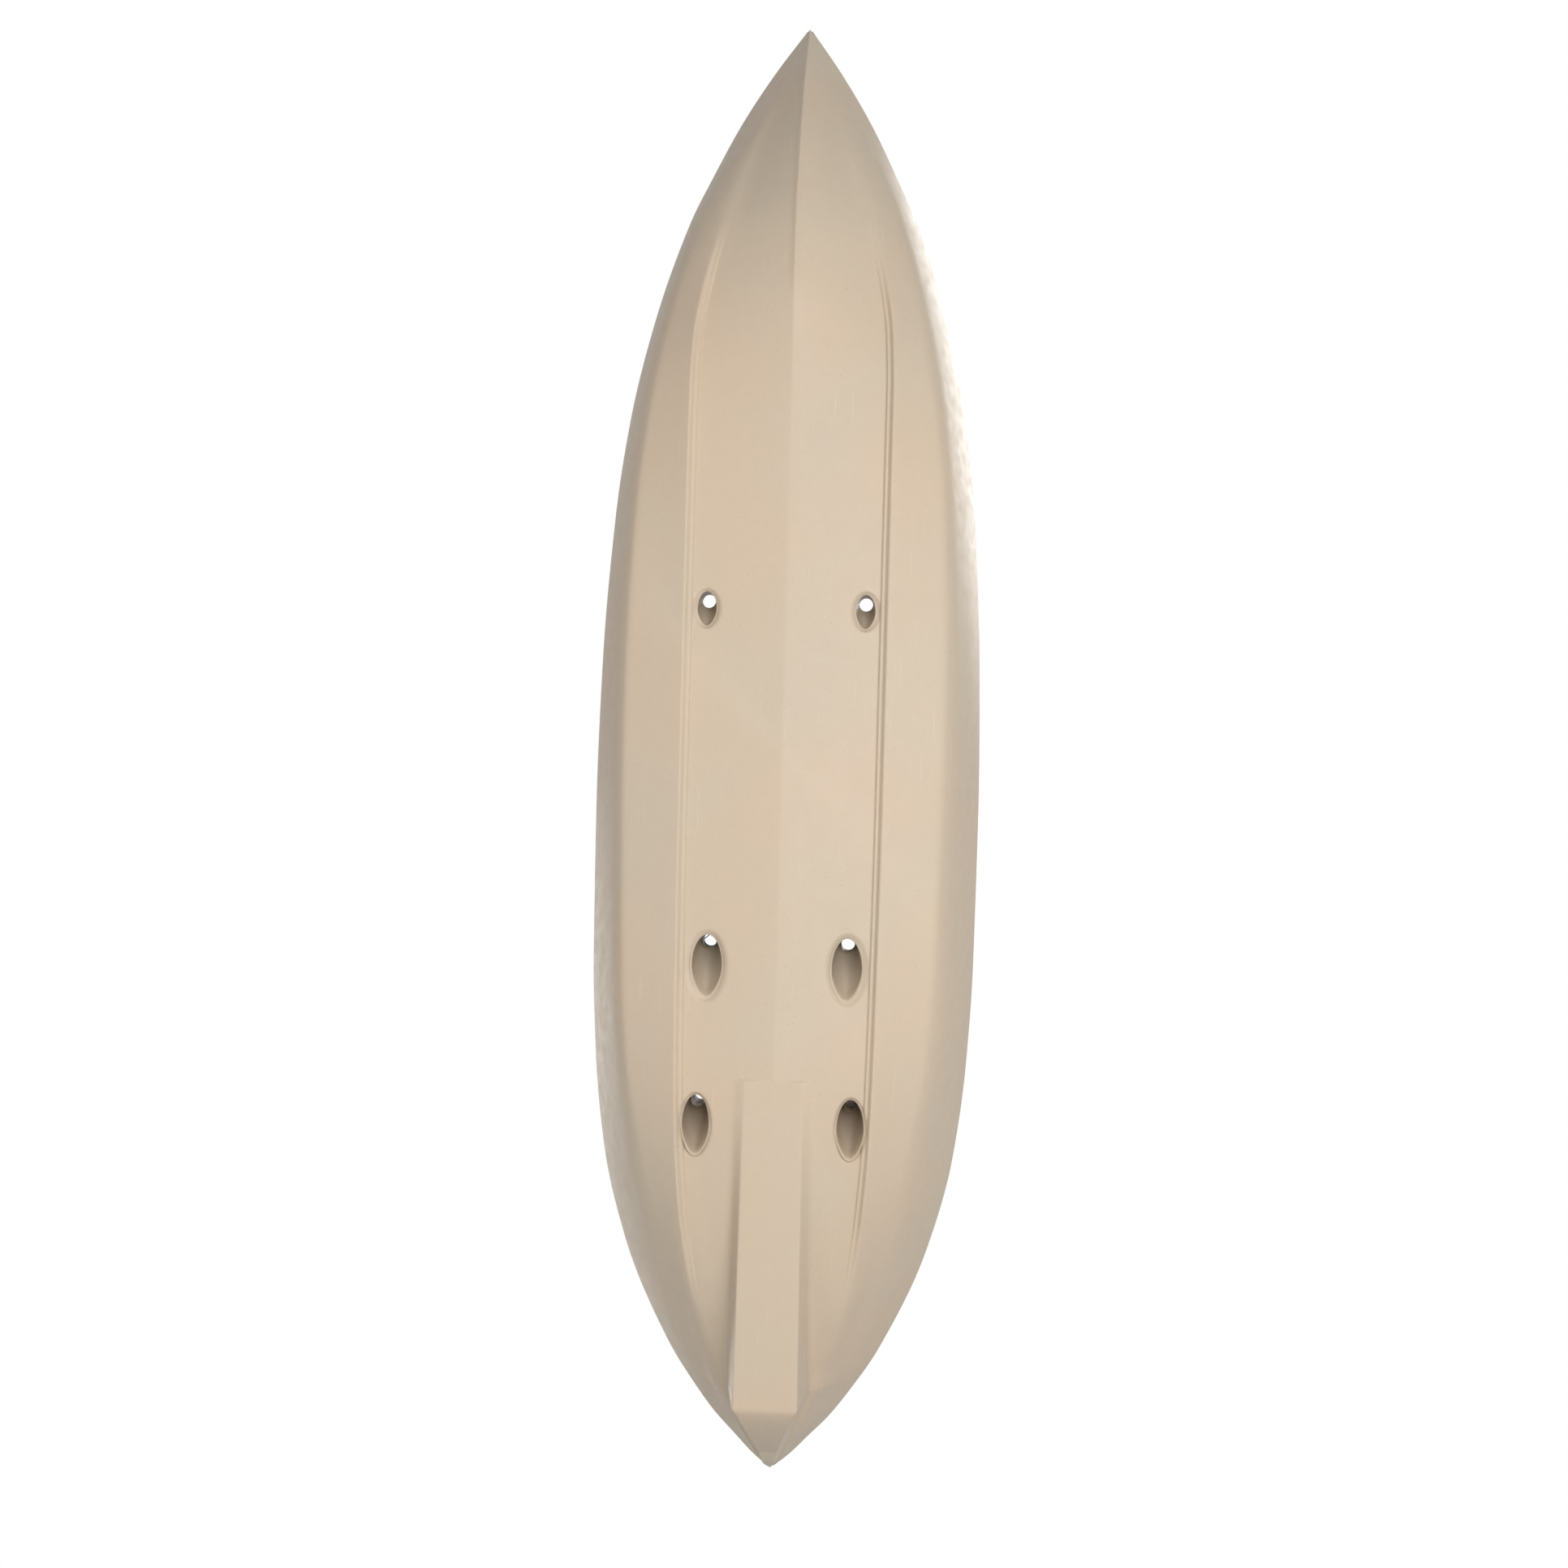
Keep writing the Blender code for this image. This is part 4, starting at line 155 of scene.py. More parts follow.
def along(table, y):
    """The value at y of the smooth curve through a line's points."""
    share = share_of(y)
    if share <= table[0][0]:
        return table[0][1]
    if share >= table[-1][0]:
        return table[-1][1]
    widths = [b[0] - a[0] for a, b in zip(table, table[1:])]
    rises = [(b[1] - a[1]) / w for a, b, w in zip(table, table[1:], widths)]
    slopes = [rises[0]]
    for before, after in zip(rises, rises[1:]):
        slopes.append(2 * before * after / (before + after) if before * after > 0 else 0.0)
    slopes.append(rises[-1])
    span = max(i for i, point in enumerate(table[:-1]) if point[0] <= share)
    t = (share - table[span][0]) / widths[span]
    start, end = table[span][1], table[span + 1][1]
    leave, arrive = slopes[span] * widths[span], slopes[span + 1] * widths[span]
    bend = (2 * t**3 - 3 * t**2 + 1) * start + (3 * t**2 - 2 * t**3) * end
    return bend + (t**3 - 2 * t**2 + t) * leave + (t**3 - t**2) * arrive


def half_beam(y):
    return along(HALF_BEAM, y) * BEAM / 2


def seam_height(y):
    forward, aft = max(0.0, 1 - 2 * share_of(y)), max(0.0, 2 * share_of(y) - 1)
    return SIDE_HEIGHT + BOW_SHEER * forward**2 + STERN_SHEER * aft**2.2


def keel_height(y):
    return along(KEEL_SHARE, y) * seam_height(y)


def deck_edge_height(y):
    return max(SIDE_HEIGHT + along(DECK_EDGE_RISE, y), seam_height(y) + SEAM_COVER)


def deck_edge(y):
    return max(half_beam(y) - DECK_ROUND, half_beam(y) * 0.45)


def deck_height(x, y):
    edge = deck_edge(y)
    inner, outer = along(CROWN_FLAT, y) * edge, along(CROWN_FOOT, y) * edge
    rise = min(max((outer - abs(x)) / (outer - inner), 0.0), 1.0) * (1 - CROWN_SAG * min(abs(x) / inner, 1.0))
    return deck_edge_height(y) + along(DECK_CROWN, y) * rise


def eased(points, reaches, steps=4):
    """A run of 2-D points with each inner corner rounded over the reach given for it."""
    out = [Vector(points[0])]
    for a, b, c, reach in zip(points, points[1:], points[2:], reaches):
        a, b, c = Vector(a), Vector(b), Vector(c)
        back, on = a - b, c - b
        start = b + back.normalized() * min(reach, back.length * 0.49)
        end = b + on.normalized() * min(reach, on.length * 0.49)
        for step in range(steps + 1):
            t = step / steps
            out.append(start * (1 - t) ** 2 + b * 2 * t * (1 - t) + end * t**2)
    out.append(Vector(points[-1]))
    return out


def filled(run, counts):
    """The run with each of its spans cut into the number of steps given for it."""
    out = [run[0]]
    for a, b, count in zip(run, run[1:], counts):
        out += [a.lerp(b, i / count) for i in range(1, count + 1)]
    return out


# Materials

def linked(tree, made, inputs):
    """Gives inputs of a node their values, or the links that they come from."""
    for socket, value in inputs.items():
        if isinstance(value, bpy.types.NodeSocket):
            tree.links.new(value, made.inputs[socket])
        else:
            made.inputs[socket].default_value = value


def new_node(tree, kind, inputs, **settings):
    made = tree.nodes.new(kind)
    for key, value in settings.items():
        setattr(made, key, value)
    linked(tree, made, inputs)
    return made


def nodes_of(name):
    """A new material with its node tree, its shader and its object coordinates."""
    made = bpy.data.materials.new(name)
    made.use_nodes = True
    tree = made.node_tree
    return made, tree, tree.nodes["Principled BSDF"], tree.nodes.new("ShaderNodeTexCoord").outputs["Object"]


def noise_node(tree, coords, scale, detail=3.0, rough=0.5):
    inputs = {"Vector": coords, "Scale": scale, "Detail": detail, "Roughness": rough}
    return new_node(tree, "ShaderNodeTexNoise", inputs).outputs["Fac"]


def stretched_noise(tree, coords, scale, detail):
    inputs = {"Vector": coords, "Scale": scale}
    stretched = new_node(tree, "ShaderNodeMapping", inputs).outputs["Vector"]
    return noise_node(tree, stretched, 1.0, detail, 0.6)


def spread(tree, fac, low, high, start=0.35, end=0.65):
    """Maps the middle of a noise to the range from low to high."""
    inputs = {"Value": fac, "From Min": start, "From Max": end, "To Min": low, "To Max": high}
    return new_node(tree, "ShaderNodeMapRange", inputs).outputs["Result"]


def math_node(tree, operation, first, second):
    return new_node(tree, "ShaderNodeMath", {0: first, 1: second}, operation=operation).outputs[0]


def mixed(tree, fac, first, second, blend="MIX"):
    """Mixes two colours, each a link or a tuple."""
    colors = [c if isinstance(c, bpy.types.NodeSocket) else (*c, 1.0) for c in (first, second)]
    inputs = {0: fac, 6: colors[0], 7: colors[1]}
    return new_node(tree, "ShaderNodeMix", inputs, data_type="RGBA", blend_type=blend).outputs[2]


def mixed_values(tree, fac, first, second):
    return new_node(tree, "ShaderNodeMix", {0: fac, 2: first, 3: second}).outputs[0]


def dimmed(color, share, more=0.0):
    return tuple(min(1.0, c * share + more) for c in color)


def bumped(tree, shader, layers):
    """Stacks bumps, each a height, its depth in metres and its strength."""
    inputs = {}
    for height, depth, strength in layers:
        inputs |= {"Distance": depth, "Strength": strength, "Height": height}
        inputs["Normal"] = new_node(tree, "ShaderNodeBump", inputs).outputs["Normal"]
    tree.links.new(inputs["Normal"], shader.inputs["Normal"])


def moulded_plastic(name, color, warm, cool, roughness, grain=1400.0, depth=0.00018, scuffs=0.0, flecks=0.0):
    """Moulded plastic: soft clouds of colour, a fine pebbled skin and, on the boat's own skin, scuffs and painted
    shade in the funnels.
    """
    made, tree, shader, at = nodes_of(name)
    clouds = noise_node(tree, at, 3.2, 3.0, 0.45)
    base = mixed(tree, spread(tree, clouds, 0.0, 1.0, 0.38, 0.62), warm, cool)
    base = mixed(tree, 0.5, base, color)
    fine = noise_node(tree, at, 42.0, 4.0, 0.6)
    base = mixed(tree, spread(tree, fine, 0.0, 0.10), base, dimmed(color, 0.86))
    if flecks:
        specks = noise_node(tree, at, 260.0, 1.0, 0.5)
        base = mixed(tree, spread(tree, specks, 0.0, flecks, 0.70, 0.74), base, dimmed(color, 0.45))
    pebbles = noise_node(tree, at, grain, 2.0, 0.55)
    waves = noise_node(tree, at, 9.0, 2.0, 0.5)
    layers = [(waves, 0.0016, 0.22), (pebbles, depth, 0.45)]
    shine = spread(tree, fine, roughness - 0.05, roughness + 0.07)
    if scuffs:
        lines = stretched_noise(tree, at, (260.0, 7.0, 60.0), 2.0)
        patch = noise_node(tree, at, 5.5, 2.0, 0.5)
        where = spread(tree, patch, 0.0, 1.0, 0.50, 0.64)
        marks = math_node(tree, "MULTIPLY", spread(tree, lines, 0.0, scuffs, 0.62, 0.72), where)
        base = mixed(tree, marks, base, dimmed(color, 1.22, 0.02))
        layers.append((lines, 0.00012, 0.25))
        # Painted shade in the funnels, darkest by their throats, read from the hull's shade attribute
        painted_shade = new_node(tree, "ShaderNodeAttribute", {}, attribute_name="shade").outputs["Fac"]
        base = mixed(tree, spread(tree, painted_shade, 0.0, 0.62, 0.0, 1.0), base, dimmed(color, 0.06))
    linked(tree, shader, {"Base Color": base, "Roughness": shine})
    bumped(tree, shader, layers)
    return made


def brushed_metal(name, color, roughness, stretch):
    made, tree, shader, at = nodes_of(name)
    lines = stretched_noise(tree, at, stretch, 3.0)
    blotch = noise_node(tree, at, 24.0, 3.0, 0.5)
    linked(tree, shader, {
        "Base Color": mixed(tree, spread(tree, blotch, 0.0, 0.35), color, dimmed(color, 0.80)),
        "Roughness": spread(tree, lines, roughness - 0.07, roughness + 0.10),
        "Metallic": 1.0,
    })
    bumped(tree, shader, [(lines, 0.00004, 0.5)])
    return made


def woven(name, color, light, pitch, roughness):
    """Woven cloth: crossed waves of thread, with fuzz and faded patches."""
    made, tree, shader, at = nodes_of(name)
    inputs = {"Vector": at, "Scale": pitch, "Distortion": 0.4, "Detail": 1.0}
    waves = [
        new_node(tree, "ShaderNodeTexWave", inputs, wave_type="BANDS", bands_direction=axis).outputs["Fac"]
        for axis in "XYZ"
    ]
    weave = mixed(tree, 1.0, waves[0], waves[1], "MULTIPLY")
    weave = mixed(tree, 1.0, weave, waves[2], "SCREEN")
    fade = noise_node(tree, at, 11.0, 4.0, 0.6)
    base = mixed(tree, spread(tree, fade, 0.0, 0.75), color, light)
    linked(tree, shader, {
        "Base Color": mixed(tree, weave, dimmed(color, 0.55), base),
        "Roughness": roughness, "Sheen Weight": 0.25, "Sheen Roughness": 0.5,
    })
    fuzz = noise_node(tree, at, 900.0, 2.0, 0.7)
    creases = noise_node(tree, at, 26.0, 3.0, 0.55)
    bumped(tree, shader, [(creases, 0.0025, 0.35), (weave, 0.0003, 0.6), (fuzz, 0.0002, 0.3)])
    return made


SAND = moulded_plastic(
    "sand_polyethylene", (0.620, 0.510, 0.390), (0.650, 0.512, 0.385), (0.600, 0.520, 0.405), 0.40,
    scuffs=0.35, flecks=0.25,
)
SAND.node_tree.nodes["Principled BSDF"].inputs["Specular IOR Level"].default_value = 0.35
BLACK, GREY, RUBBER, BUNG = (
    moulded_plastic(name, color, warm, cool, roughness, grain, depth)
    for name, color, warm, cool, roughness, grain, depth in (
        ("black_plastic", (0.022, 0.022, 0.024), (0.026, 0.025, 0.025), (0.018, 0.019, 0.021), 0.42, 2200.0, 0.0001),
        ("grey_plastic", (0.13, 0.13, 0.14), (0.14, 0.135, 0.135), (0.12, 0.125, 0.135), 0.44, 2200.0, 0.0001),
        ("black_rubber", (0.028, 0.028, 0.028), (0.034, 0.032, 0.031), (0.022, 0.023, 0.024), 0.68, 1700.0, 0.00012),
        ("grey_rubber", (0.30, 0.28, 0.25), (0.31, 0.28, 0.24), (0.28, 0.27, 0.25), 0.62, 1700.0, 0.00012),
    )
)
METAL = brushed_metal("anodised_aluminium", (0.60, 0.61, 0.63), 0.34, (1500.0, 12.0, 1500.0))
STEEL = brushed_metal("stainless_steel", (0.66, 0.65, 0.63), 0.24, (900.0, 900.0, 900.0))
FABRIC = woven("seat_fabric", (0.040, 0.043, 0.047), (0.075, 0.078, 0.082), 420.0, 0.88)
TRIM = woven("seat_trim", (0.30, 0.25, 0.185), (0.38, 0.32, 0.24), 420.0, 0.86)
WEBBING = woven("webbing", (0.026, 0.026, 0.029), (0.050, 0.050, 0.055), 560.0, 0.80)
FOAM = woven("foam", (0.70, 0.71, 0.72), (0.82, 0.83, 0.84), 90.0, 0.92)


# Making pieces

def mesh_from(bm, name, sharp):
    mesh = bpy.data.meshes.new(name)
    bm.normal_update()
    bm.to_mesh(mesh)
    bm.free()
    mesh.shade_smooth()
    if sharp:
        mesh.set_sharp_from_angle(angle=math.radians(sharp))
    return mesh


def coated(obj, material):
    obj.data.materials.clear()
    obj.data.materials.append(material)


def added(name, mesh, material):
    obj = bpy.data.objects.new(name, mesh)
    bpy.context.scene.collection.objects.link(obj)
    coated(obj, material)
    return obj


def piece(name, bm, material, body, stands_for=None, sharp=40.0):
    """Makes a mesh a piece that rides on a body, in its material's slot."""
    obj = added(name, mesh_from(bm, name, sharp), material)
    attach(obj, body)
    if stands_for:
        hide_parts(stands_for)
    return obj


def baked(obj):
    """Applies an object's modifiers."""
    bpy.context.view_layer.update()
    graph = bpy.context.evaluated_depsgraph_get()
    mesh = bpy.data.meshes.new_from_object(obj.evaluated_get(graph))
    old = obj.data
    obj.modifiers.clear()
    obj.data = mesh
    bpy.data.meshes.remove(old)


def bridged(bm, rows, wrap=True):
    """Joins each row of points to the next with faces, all the way round where the rows wrap."""
    for low, high in zip(rows, rows[1:]):
        for i in range(len(low) if wrap else len(low) - 1):
            j = (i + 1) % len(low)
            bm.faces.new((low[i], low[j], high[j], high[i]))


def turns(count, offset=0.0):
    """Even angles round a circle."""
    return [2 * math.pi * (i + offset) / count for i in range(count)]


def tracked(axis):
    """The turn that takes Z to the axis."""
    return Vector(axis).to_track_quat("Z", "Y").to_matrix()


# The hull

def skeg_bottom(y):
    """The skeg's sole: half width and height. Behind its heel it narrows and rises to the stern's tip."""
    start, heel = STERN - SKEG_START, STERN - SKEG_HEEL
    rising = min(max((y - heel) / SKEG_HEEL, 0.0), 1.0)
    tip = half_beam(STERN) * 0.4
    half_width = SKEG_WIDTH / 2 - 0.0015 + 0.0075 * min(max((y - start) / (heel - start), 0.0), 1.0)
    return half_width + (tip - half_width) * rising**0.75, keel_height(STERN) * rising**1.3


def hull_corners(y):
    """Corners of the half section without its ledges, and its step line, ledges' width, sole and root."""
    keel, pontoon = keel_height(y), along(PONTOON_SHARE, y) * seam_height(y)
    chine_x = half_beam(y) - along(CHINE_INSET, y)
    chine_z = along(CHINE_SHARE, y) * seam_height(y)
    step_x = min(along(STEP_LINE, y), chine_x * 0.8)
    width = min(STEP_WIDTH, (chine_x - step_x) * 0.35)
    sole_x, sole_z = skeg_bottom(y)
    shown = min(max((y - (STERN - SKEG_START)) / SKEG_FRONT_RAMP, 0.0), 1.0)
    if shown:
        root_x = sole_x + min(SKEG_DRAFT, 0.16 * half_beam(y))
        step_x = max(step_x, root_x + 0.07 * half_beam(y))
        chine_x = max(chine_x, step_x + width + 0.05 * half_beam(y))
    else:
        sole_x = min(sole_x, step_x * 0.5)
        root_x = min(sole_x + SKEG_DRAFT, step_x * 0.8)
    slope = (pontoon - keel) / step_x
    middle = keel + (min(sole_z, keel) - keel) * shown
    sole_edge = keel + slope * sole_x
    sole_edge += (middle - sole_edge) * shown
    corners = [
        (0.0, middle), (sole_x, sole_edge), (root_x, keel + slope * root_x), (step_x, pontoon),
        (step_x + width * 0.28, pontoon), (step_x + width * 0.5, pontoon), (step_x + width, pontoon),
        (chine_x - min(0.012, (chine_x - step_x - width) * 0.3), chine_z - 0.004 * along(STEP_FADE, y)),
        (chine_x + 0.125 * (half_beam(y) - chine_x), chine_z + 0.12 * (seam_height(y) - chine_z)),
        (half_beam(y), seam_height(y) - GAP / 2),
    ]
    return corners, step_x, width, sole_x, root_x, shown


# Steps between the rounded corners of the half section, from the keel to the seam
SPANS = (8, 2, 28, 2, 2, 3, 16, 3, 14)
CORNER_REACHES = (0.007, 0.0035, 0.012, 0.0022, 0.0016, 0.0016, 0.0040, 0.010, 0.014)
CORNER_STEPS = 4
ROOT = 2 + SPANS[0] + SPANS[1] + 2 * CORNER_STEPS
LEDGE_END = ROOT + sum(SPANS[2:6]) + 4 * CORNER_STEPS
SIDE_FULLNESS, FULL_HALF_BEAM = 0.0035, 0.3


def plain_run(corners, y):
    """Fine points of the half section, from the keel to the seam, still without its ledges."""
    mirrored = [(-corners[1][0], corners[1][1])] + corners
    run = eased(mirrored, CORNER_REACHES, CORNER_STEPS)[3:]
    run[0] = Vector((0.0, run[0].y))
    out = filled(run, [1, 1] + [count for span in SPANS for count in (span, 1, 1, 1, 1)])
    # The side wall is a little full between the chine and the seam
    side = [p for p in out if p.x >= corners[8][0]]
    for i, p in enumerate(side):
        full = math.sin(math.pi * i / max(1, len(side) - 1))
        p.x += SIDE_FULLNESS * full * min(1.0, half_beam(y) / FULL_HALF_BEAM)
    return np.array([(p.x, p.y) for p in out])


def travelled(run):
    return np.concatenate(([0.0], np.cumsum(np.linalg.norm(np.diff(run, axis=0), axis=1))))


def at_reach(run, reach, places):
    return np.stack([np.interp(places, reach, run[:, 0]), np.interp(places, reach, run[:, 1])], axis=1)


def smooth_run(run, sigma):
    """The run smoothed over about sigma metres, with both ends held."""
    reach = travelled(run)
    count = 400
    even = at_reach(run, reach, np.linspace(0.0, reach[-1], count))
    span = max(1, min(count - 2, int(3 * sigma / (reach[-1] / (count - 1)))))
    weights = np.exp(-0.5 * (np.arange(-span, span + 1) / (span / 3)) ** 2)
    weights /= weights.sum()
    before = 2 * even[0] - even[span:0:-1]
    after = 2 * even[-1] - even[-2:-span - 2:-1]
    padded = np.concatenate((before, even, after))
    soft = np.stack([np.convolve(padded[:, k], weights, "valid") for k in (0, 1)], axis=1)
    return even, soft


def eased_step(t):
    t = np.clip(t, 0.0, 1.0)
    return t * t * (3 - 2 * t)


BOW_MELT, STERN_MELT = 0.018, 0.022
KEEL_BEAD, BEAD_REACH = 0.0028, 0.009
TIP = 0.012
known_runs = {}


def hull_run(y):
    """The finished half section at y. Towards the ends its chine melts into smooth sides."""
    if y in known_runs:
        return known_runs[y]
    corners, step_x, width, sole_x, root_x, shown = hull_corners(y)
    run = plain_run(corners, y)
    share = share_of(y)
    weight = eased_step((0.225 - share) / 0.08) + eased_step((share - 0.785) / 0.09)
    if weight > 0:
        first = 0 if share < 0.5 else ROOT
        even, soft = smooth_run(run[first:], STERN_MELT if first else BOW_MELT)
        here = weight * np.clip((even[:, 0] - even[0, 0]) / 0.02, 0.0, 1.0)[:, None]
        curve = even * (1 - here) + soft * here
        curve[:, 0] = np.maximum.accumulate(curve[:, 0])
        old, new = travelled(run), travelled(curve)
        made = run.copy()
        upto = LEDGE_END + 1
        made[first:upto, 1] = np.interp(run[first:upto, 0], curve[:, 0], curve[:, 1])
        start = np.interp(run[LEDGE_END, 0], curve[:, 0], new)
        rest = (old[upto:] - old[LEDGE_END]) / (old[-1] - old[LEDGE_END])
        made[upto:] = at_reach(curve, new, start + rest * (new[-1] - start))
        run = made
    # A narrow bead along the keel, from the stem to amidships
    bead = eased_step((share - 0.015) / 0.03) * eased_step((0.42 - share) / 0.22)
    bead *= min(1.0, run[0, 1] / KEEL_BEAD)
    run[:, 1] -= KEEL_BEAD * bead * eased_step(1 - run[:, 0] / BEAD_REACH)
    # The two ledges: a small one, a narrow flat, and a deeper one
    depth = STEP_DEPTH * along(STEP_FADE, y)
    x = run[:, 0]
    u = (x - step_x) / width
    lift = np.minimum(x / step_x, 1.0) - 0.35 * eased_step(u / 0.28) - 0.65 * eased_step((u - 0.46) / 0.54)
    lift *= 1 - shown * (1 - np.clip((x - sole_x) / (root_x - sole_x), 0.0, 1.0))
    run[:, 1] += depth * lift * (u < 1)
    tip = min(y - BOW, STERN - y)
    if tip < TIP:
        run[:, 0] *= math.sqrt(max(0.0, 1 - ((TIP - tip) / TIP) ** 2))
    known_runs[y] = run
    return run


def hull_places():
    """Where the hull's sections are cut: closely at both ends and at the skeg's front edge."""
    ends = (0.0, 0.0004, 0.0012, 0.0025, 0.004, 0.006, 0.009, 0.012, 0.016)
    places = [BOW + d for d in ends] + [STERN - d for d in ends]
    y = BOW + 0.021
    while y < STERN - 0.018:
        places.append(y)
        y += 0.0048
    front = STERN - SKEG_START
    places += [front + d for d in (-0.003, -0.001, 0.0005, 0.002, 0.004, 0.0055, 0.007, 0.009)]
    places.sort()
    kept = [places[0]]
    for y in places[1:]:
        if y - kept[-1] > 0.0003:
            kept.append(y)
    return kept


def skin_height(x, y):
    run = hull_run(y)
    return float(np.interp(abs(x), run[:, 0], run[:, 1]))


def funnel_middle(y, funnel):
    return y + funnel[1] - SCUPPER_RADIUS - FUNNEL_DRAFT


def funnel_rings(x, y, floor, funnel, dish):
    """Rings from a scupper's dish into its throat: half width, half length, middle, height, teardrop."""
    skin = skin_height(x, y)
    tube_top = floor - 0.002
    mouth = skin + DISH_DEPTH
    throat = mouth + SCUPPER_THROAT * (tube_top - mouth)
    middle = funnel_middle(y, funnel)

    def at(share, z, tear):
        wide = SCUPPER_RADIUS + (funnel[0] - SCUPPER_RADIUS) * share
        long = SCUPPER_RADIUS + (funnel[1] - SCUPPER_RADIUS) * share
        return wide, long, y + (funnel[1] - SCUPPER_RADIUS - FUNNEL_DRAFT) * share, z, tear

    rings = []
    for t in (0.10, 0.22, 0.36, 0.50, 0.64, 0.78, 0.90, 1.0):
        wide, long = (d + (f - d) * t for d, f in zip(dish, funnel))
        rings.append((wide, long, middle, skin + DISH_DEPTH * t * t * (3 - 2 * t), 0.18 * t))
    rings += [at(0.985, mouth + 0.0008, 0.21), at(0.95, mouth + 0.0034, 0.25)]
    for share in (0.87, 0.78, 0.68, 0.57, 0.46, 0.35, 0.24, 0.13, 0.05, 0.0):
        z = mouth + 0.003 + (throat - mouth - 0.003) * (1 - share) ** 0.66
        rings.append(at(share, z, 0.36 * min(1.0, share * 1.4)))
    rings += [at(0.0, throat + (tube_top - throat) * t, 0.0) for t in (0.3, 0.65, 1.0)]
    return rings


def hull():
    """The hull's outer skin with the scuppers' dishes, funnels and throats in it."""
    bm = bmesh.new()
    shade = bm.verts.layers.float.new("shade")
    rows = []
    for y in hull_places():
        half = hull_run(y).tolist()
        ring = [(-x, z) for x, z in reversed(half[1:])] + half
        rows.append([bm.verts.new((x, y, z)) for x, z in ring])
    bridged(bm, rows, wrap=False)
    for sx, y, floor, funnel, dish in SCUPPERS:
        for sign in (-1, 1):
            x = sign * sx
            middle = funnel_middle(y, funnel)
            gone = []
            for face in bm.faces:
                c = face.calc_center_median()
                if abs(c.x - x) < 0.06 and abs(c.y - middle) < 0.09 and c.z < 0.1:
                    if ((c.x - x) / dish[0]) ** 2 + ((c.y - middle) / dish[1]) ** 2 < 1.0:
                        gone.append(face)
            bmesh.ops.delete(bm, geom=gone, context="FACES")
            angles = {}
            for edge in bm.edges:
                at = edge.verts[0].co
                if edge.is_boundary and abs(at.x - x) < 0.07 and abs(at.y - middle) < 0.10 and at.z < 0.1:
                    for v in edge.verts:
                        angles[v] = None
            for v in angles:
                dx, dy = (v.co.x - x) / dish[0], (v.co.y - middle) / dish[1]
                size = math.hypot(dx, dy)
                px, py = x + dx / size * dish[0], middle + dy / size * dish[1]
                v.co = (px, py, skin_height(px, py))
                angles[v] = math.atan2(dy, dx)
            last = order = sorted(angles, key=lambda v: angles[v])
            skin = skin_height(x, y)
            reach = 2 * funnel[1] - SCUPPER_RADIUS
            for k, (wide, long, centre, z, tear) in enumerate(funnel_rings(x, y, floor, funnel, dish)):
                made = []
                for v in order:
                    a = angles[v]
                    narrow = 1 - tear * max(0.0, math.sin(a)) ** 1.5
                    px, py = x + wide * math.cos(a) * narrow, centre + long * math.sin(a)
                    lift = skin_height(px, py) - skin if z < skin + 0.005 else 0.0
                    made.append(bm.verts.new((px, py, z + lift)))
                    # Painted shade for the funnels, kept in the shade attribute: darkest near the hole, fading out
                    # over the dish
                    near = max(0.0, 1 - math.hypot(px - x, py - y) / reach) ** 0.8
                    made[-1][shade] = near * min(1.0, (k / 9) ** 2)
                bridged(bm, [last, made])
                last = made
    bmesh.ops.recalc_face_normals(bm, faces=bm.faces)
    lowest = min(bm.faces, key=lambda f: f.calc_center_median().z)
    if lowest.normal.z > 0:
        bmesh.ops.reverse_faces(bm, faces=bm.faces)
    piece("hull_skin", bm, SAND, "boat", "hull_shell", 48.0)


# The deck

def rounded(corners, steps=8):
    """A closed outline whose corners, given as (x, y, radius), are rounded."""
    points = []
    for i, (x, y, radius) in enumerate(corners):
        corner = Vector((x, y))
        before = Vector(corners[i - 1][:2]) - corner
        after = Vector(corners[(i + 1) % len(corners)][:2]) - corner
        turn = before.angle(after)
        reach = radius / math.tan(turn / 2)
        start, end = corner + before.normalized() * reach, corner + after.normalized() * reach
        centre = corner + (before.normalized() + after.normalized()).normalized() * radius / math.sin(turn / 2)
        first, last = start - centre, end - centre
        sweep = first.angle_signed(last)
        for step in range(steps + 1):
            spun = first.copy()
            spun.rotate(Matrix.Rotation(-sweep * step / steps, 2))
            points.append(centre + spun)
    return points


def mirrored(corners):
    return [(-x, y, radius) for x, y, radius in reversed(corners)]


def cockpit_outline():
    half = [
        (COCKPIT_HALF_WIDTH - 0.055, FOOTWELL_FRONT, 0.054),
        (COCKPIT_HALF_WIDTH, FOOTWELL_FRONT + 0.110, 0.100),
        (COCKPIT_HALF_WIDTH, COCKPIT_AFT - 0.245, 0.120),
        (SEAT_HALF_WIDTH, COCKPIT_AFT, 0.085),
    ]
    notch = [
        (CONSOLE_HALF_WIDTH, CONSOLE_AFT, 0.030),
        (CONSOLE_HALF_WIDTH + 0.012, FOOTWELL_FRONT + 0.012, 0.034),
    ]
    return rounded(half + mirrored(half) + mirrored(notch) + notch)


def tank_outline():
    front, aft = STERN - TANK_FRONT, STERN - TANK_AFT
    half = [(TANK_FRONT_HALF_WIDTH, front, 0.050), (TANK_AFT_HALF_WIDTH, aft, 0.060)]
    return rounded(half + mirrored(half))


def oval(x, y, half_width, half_length, count=48):
    return [Vector((x + half_width * math.cos(a), y + half_length * math.sin(a))) for a in turns(count)]


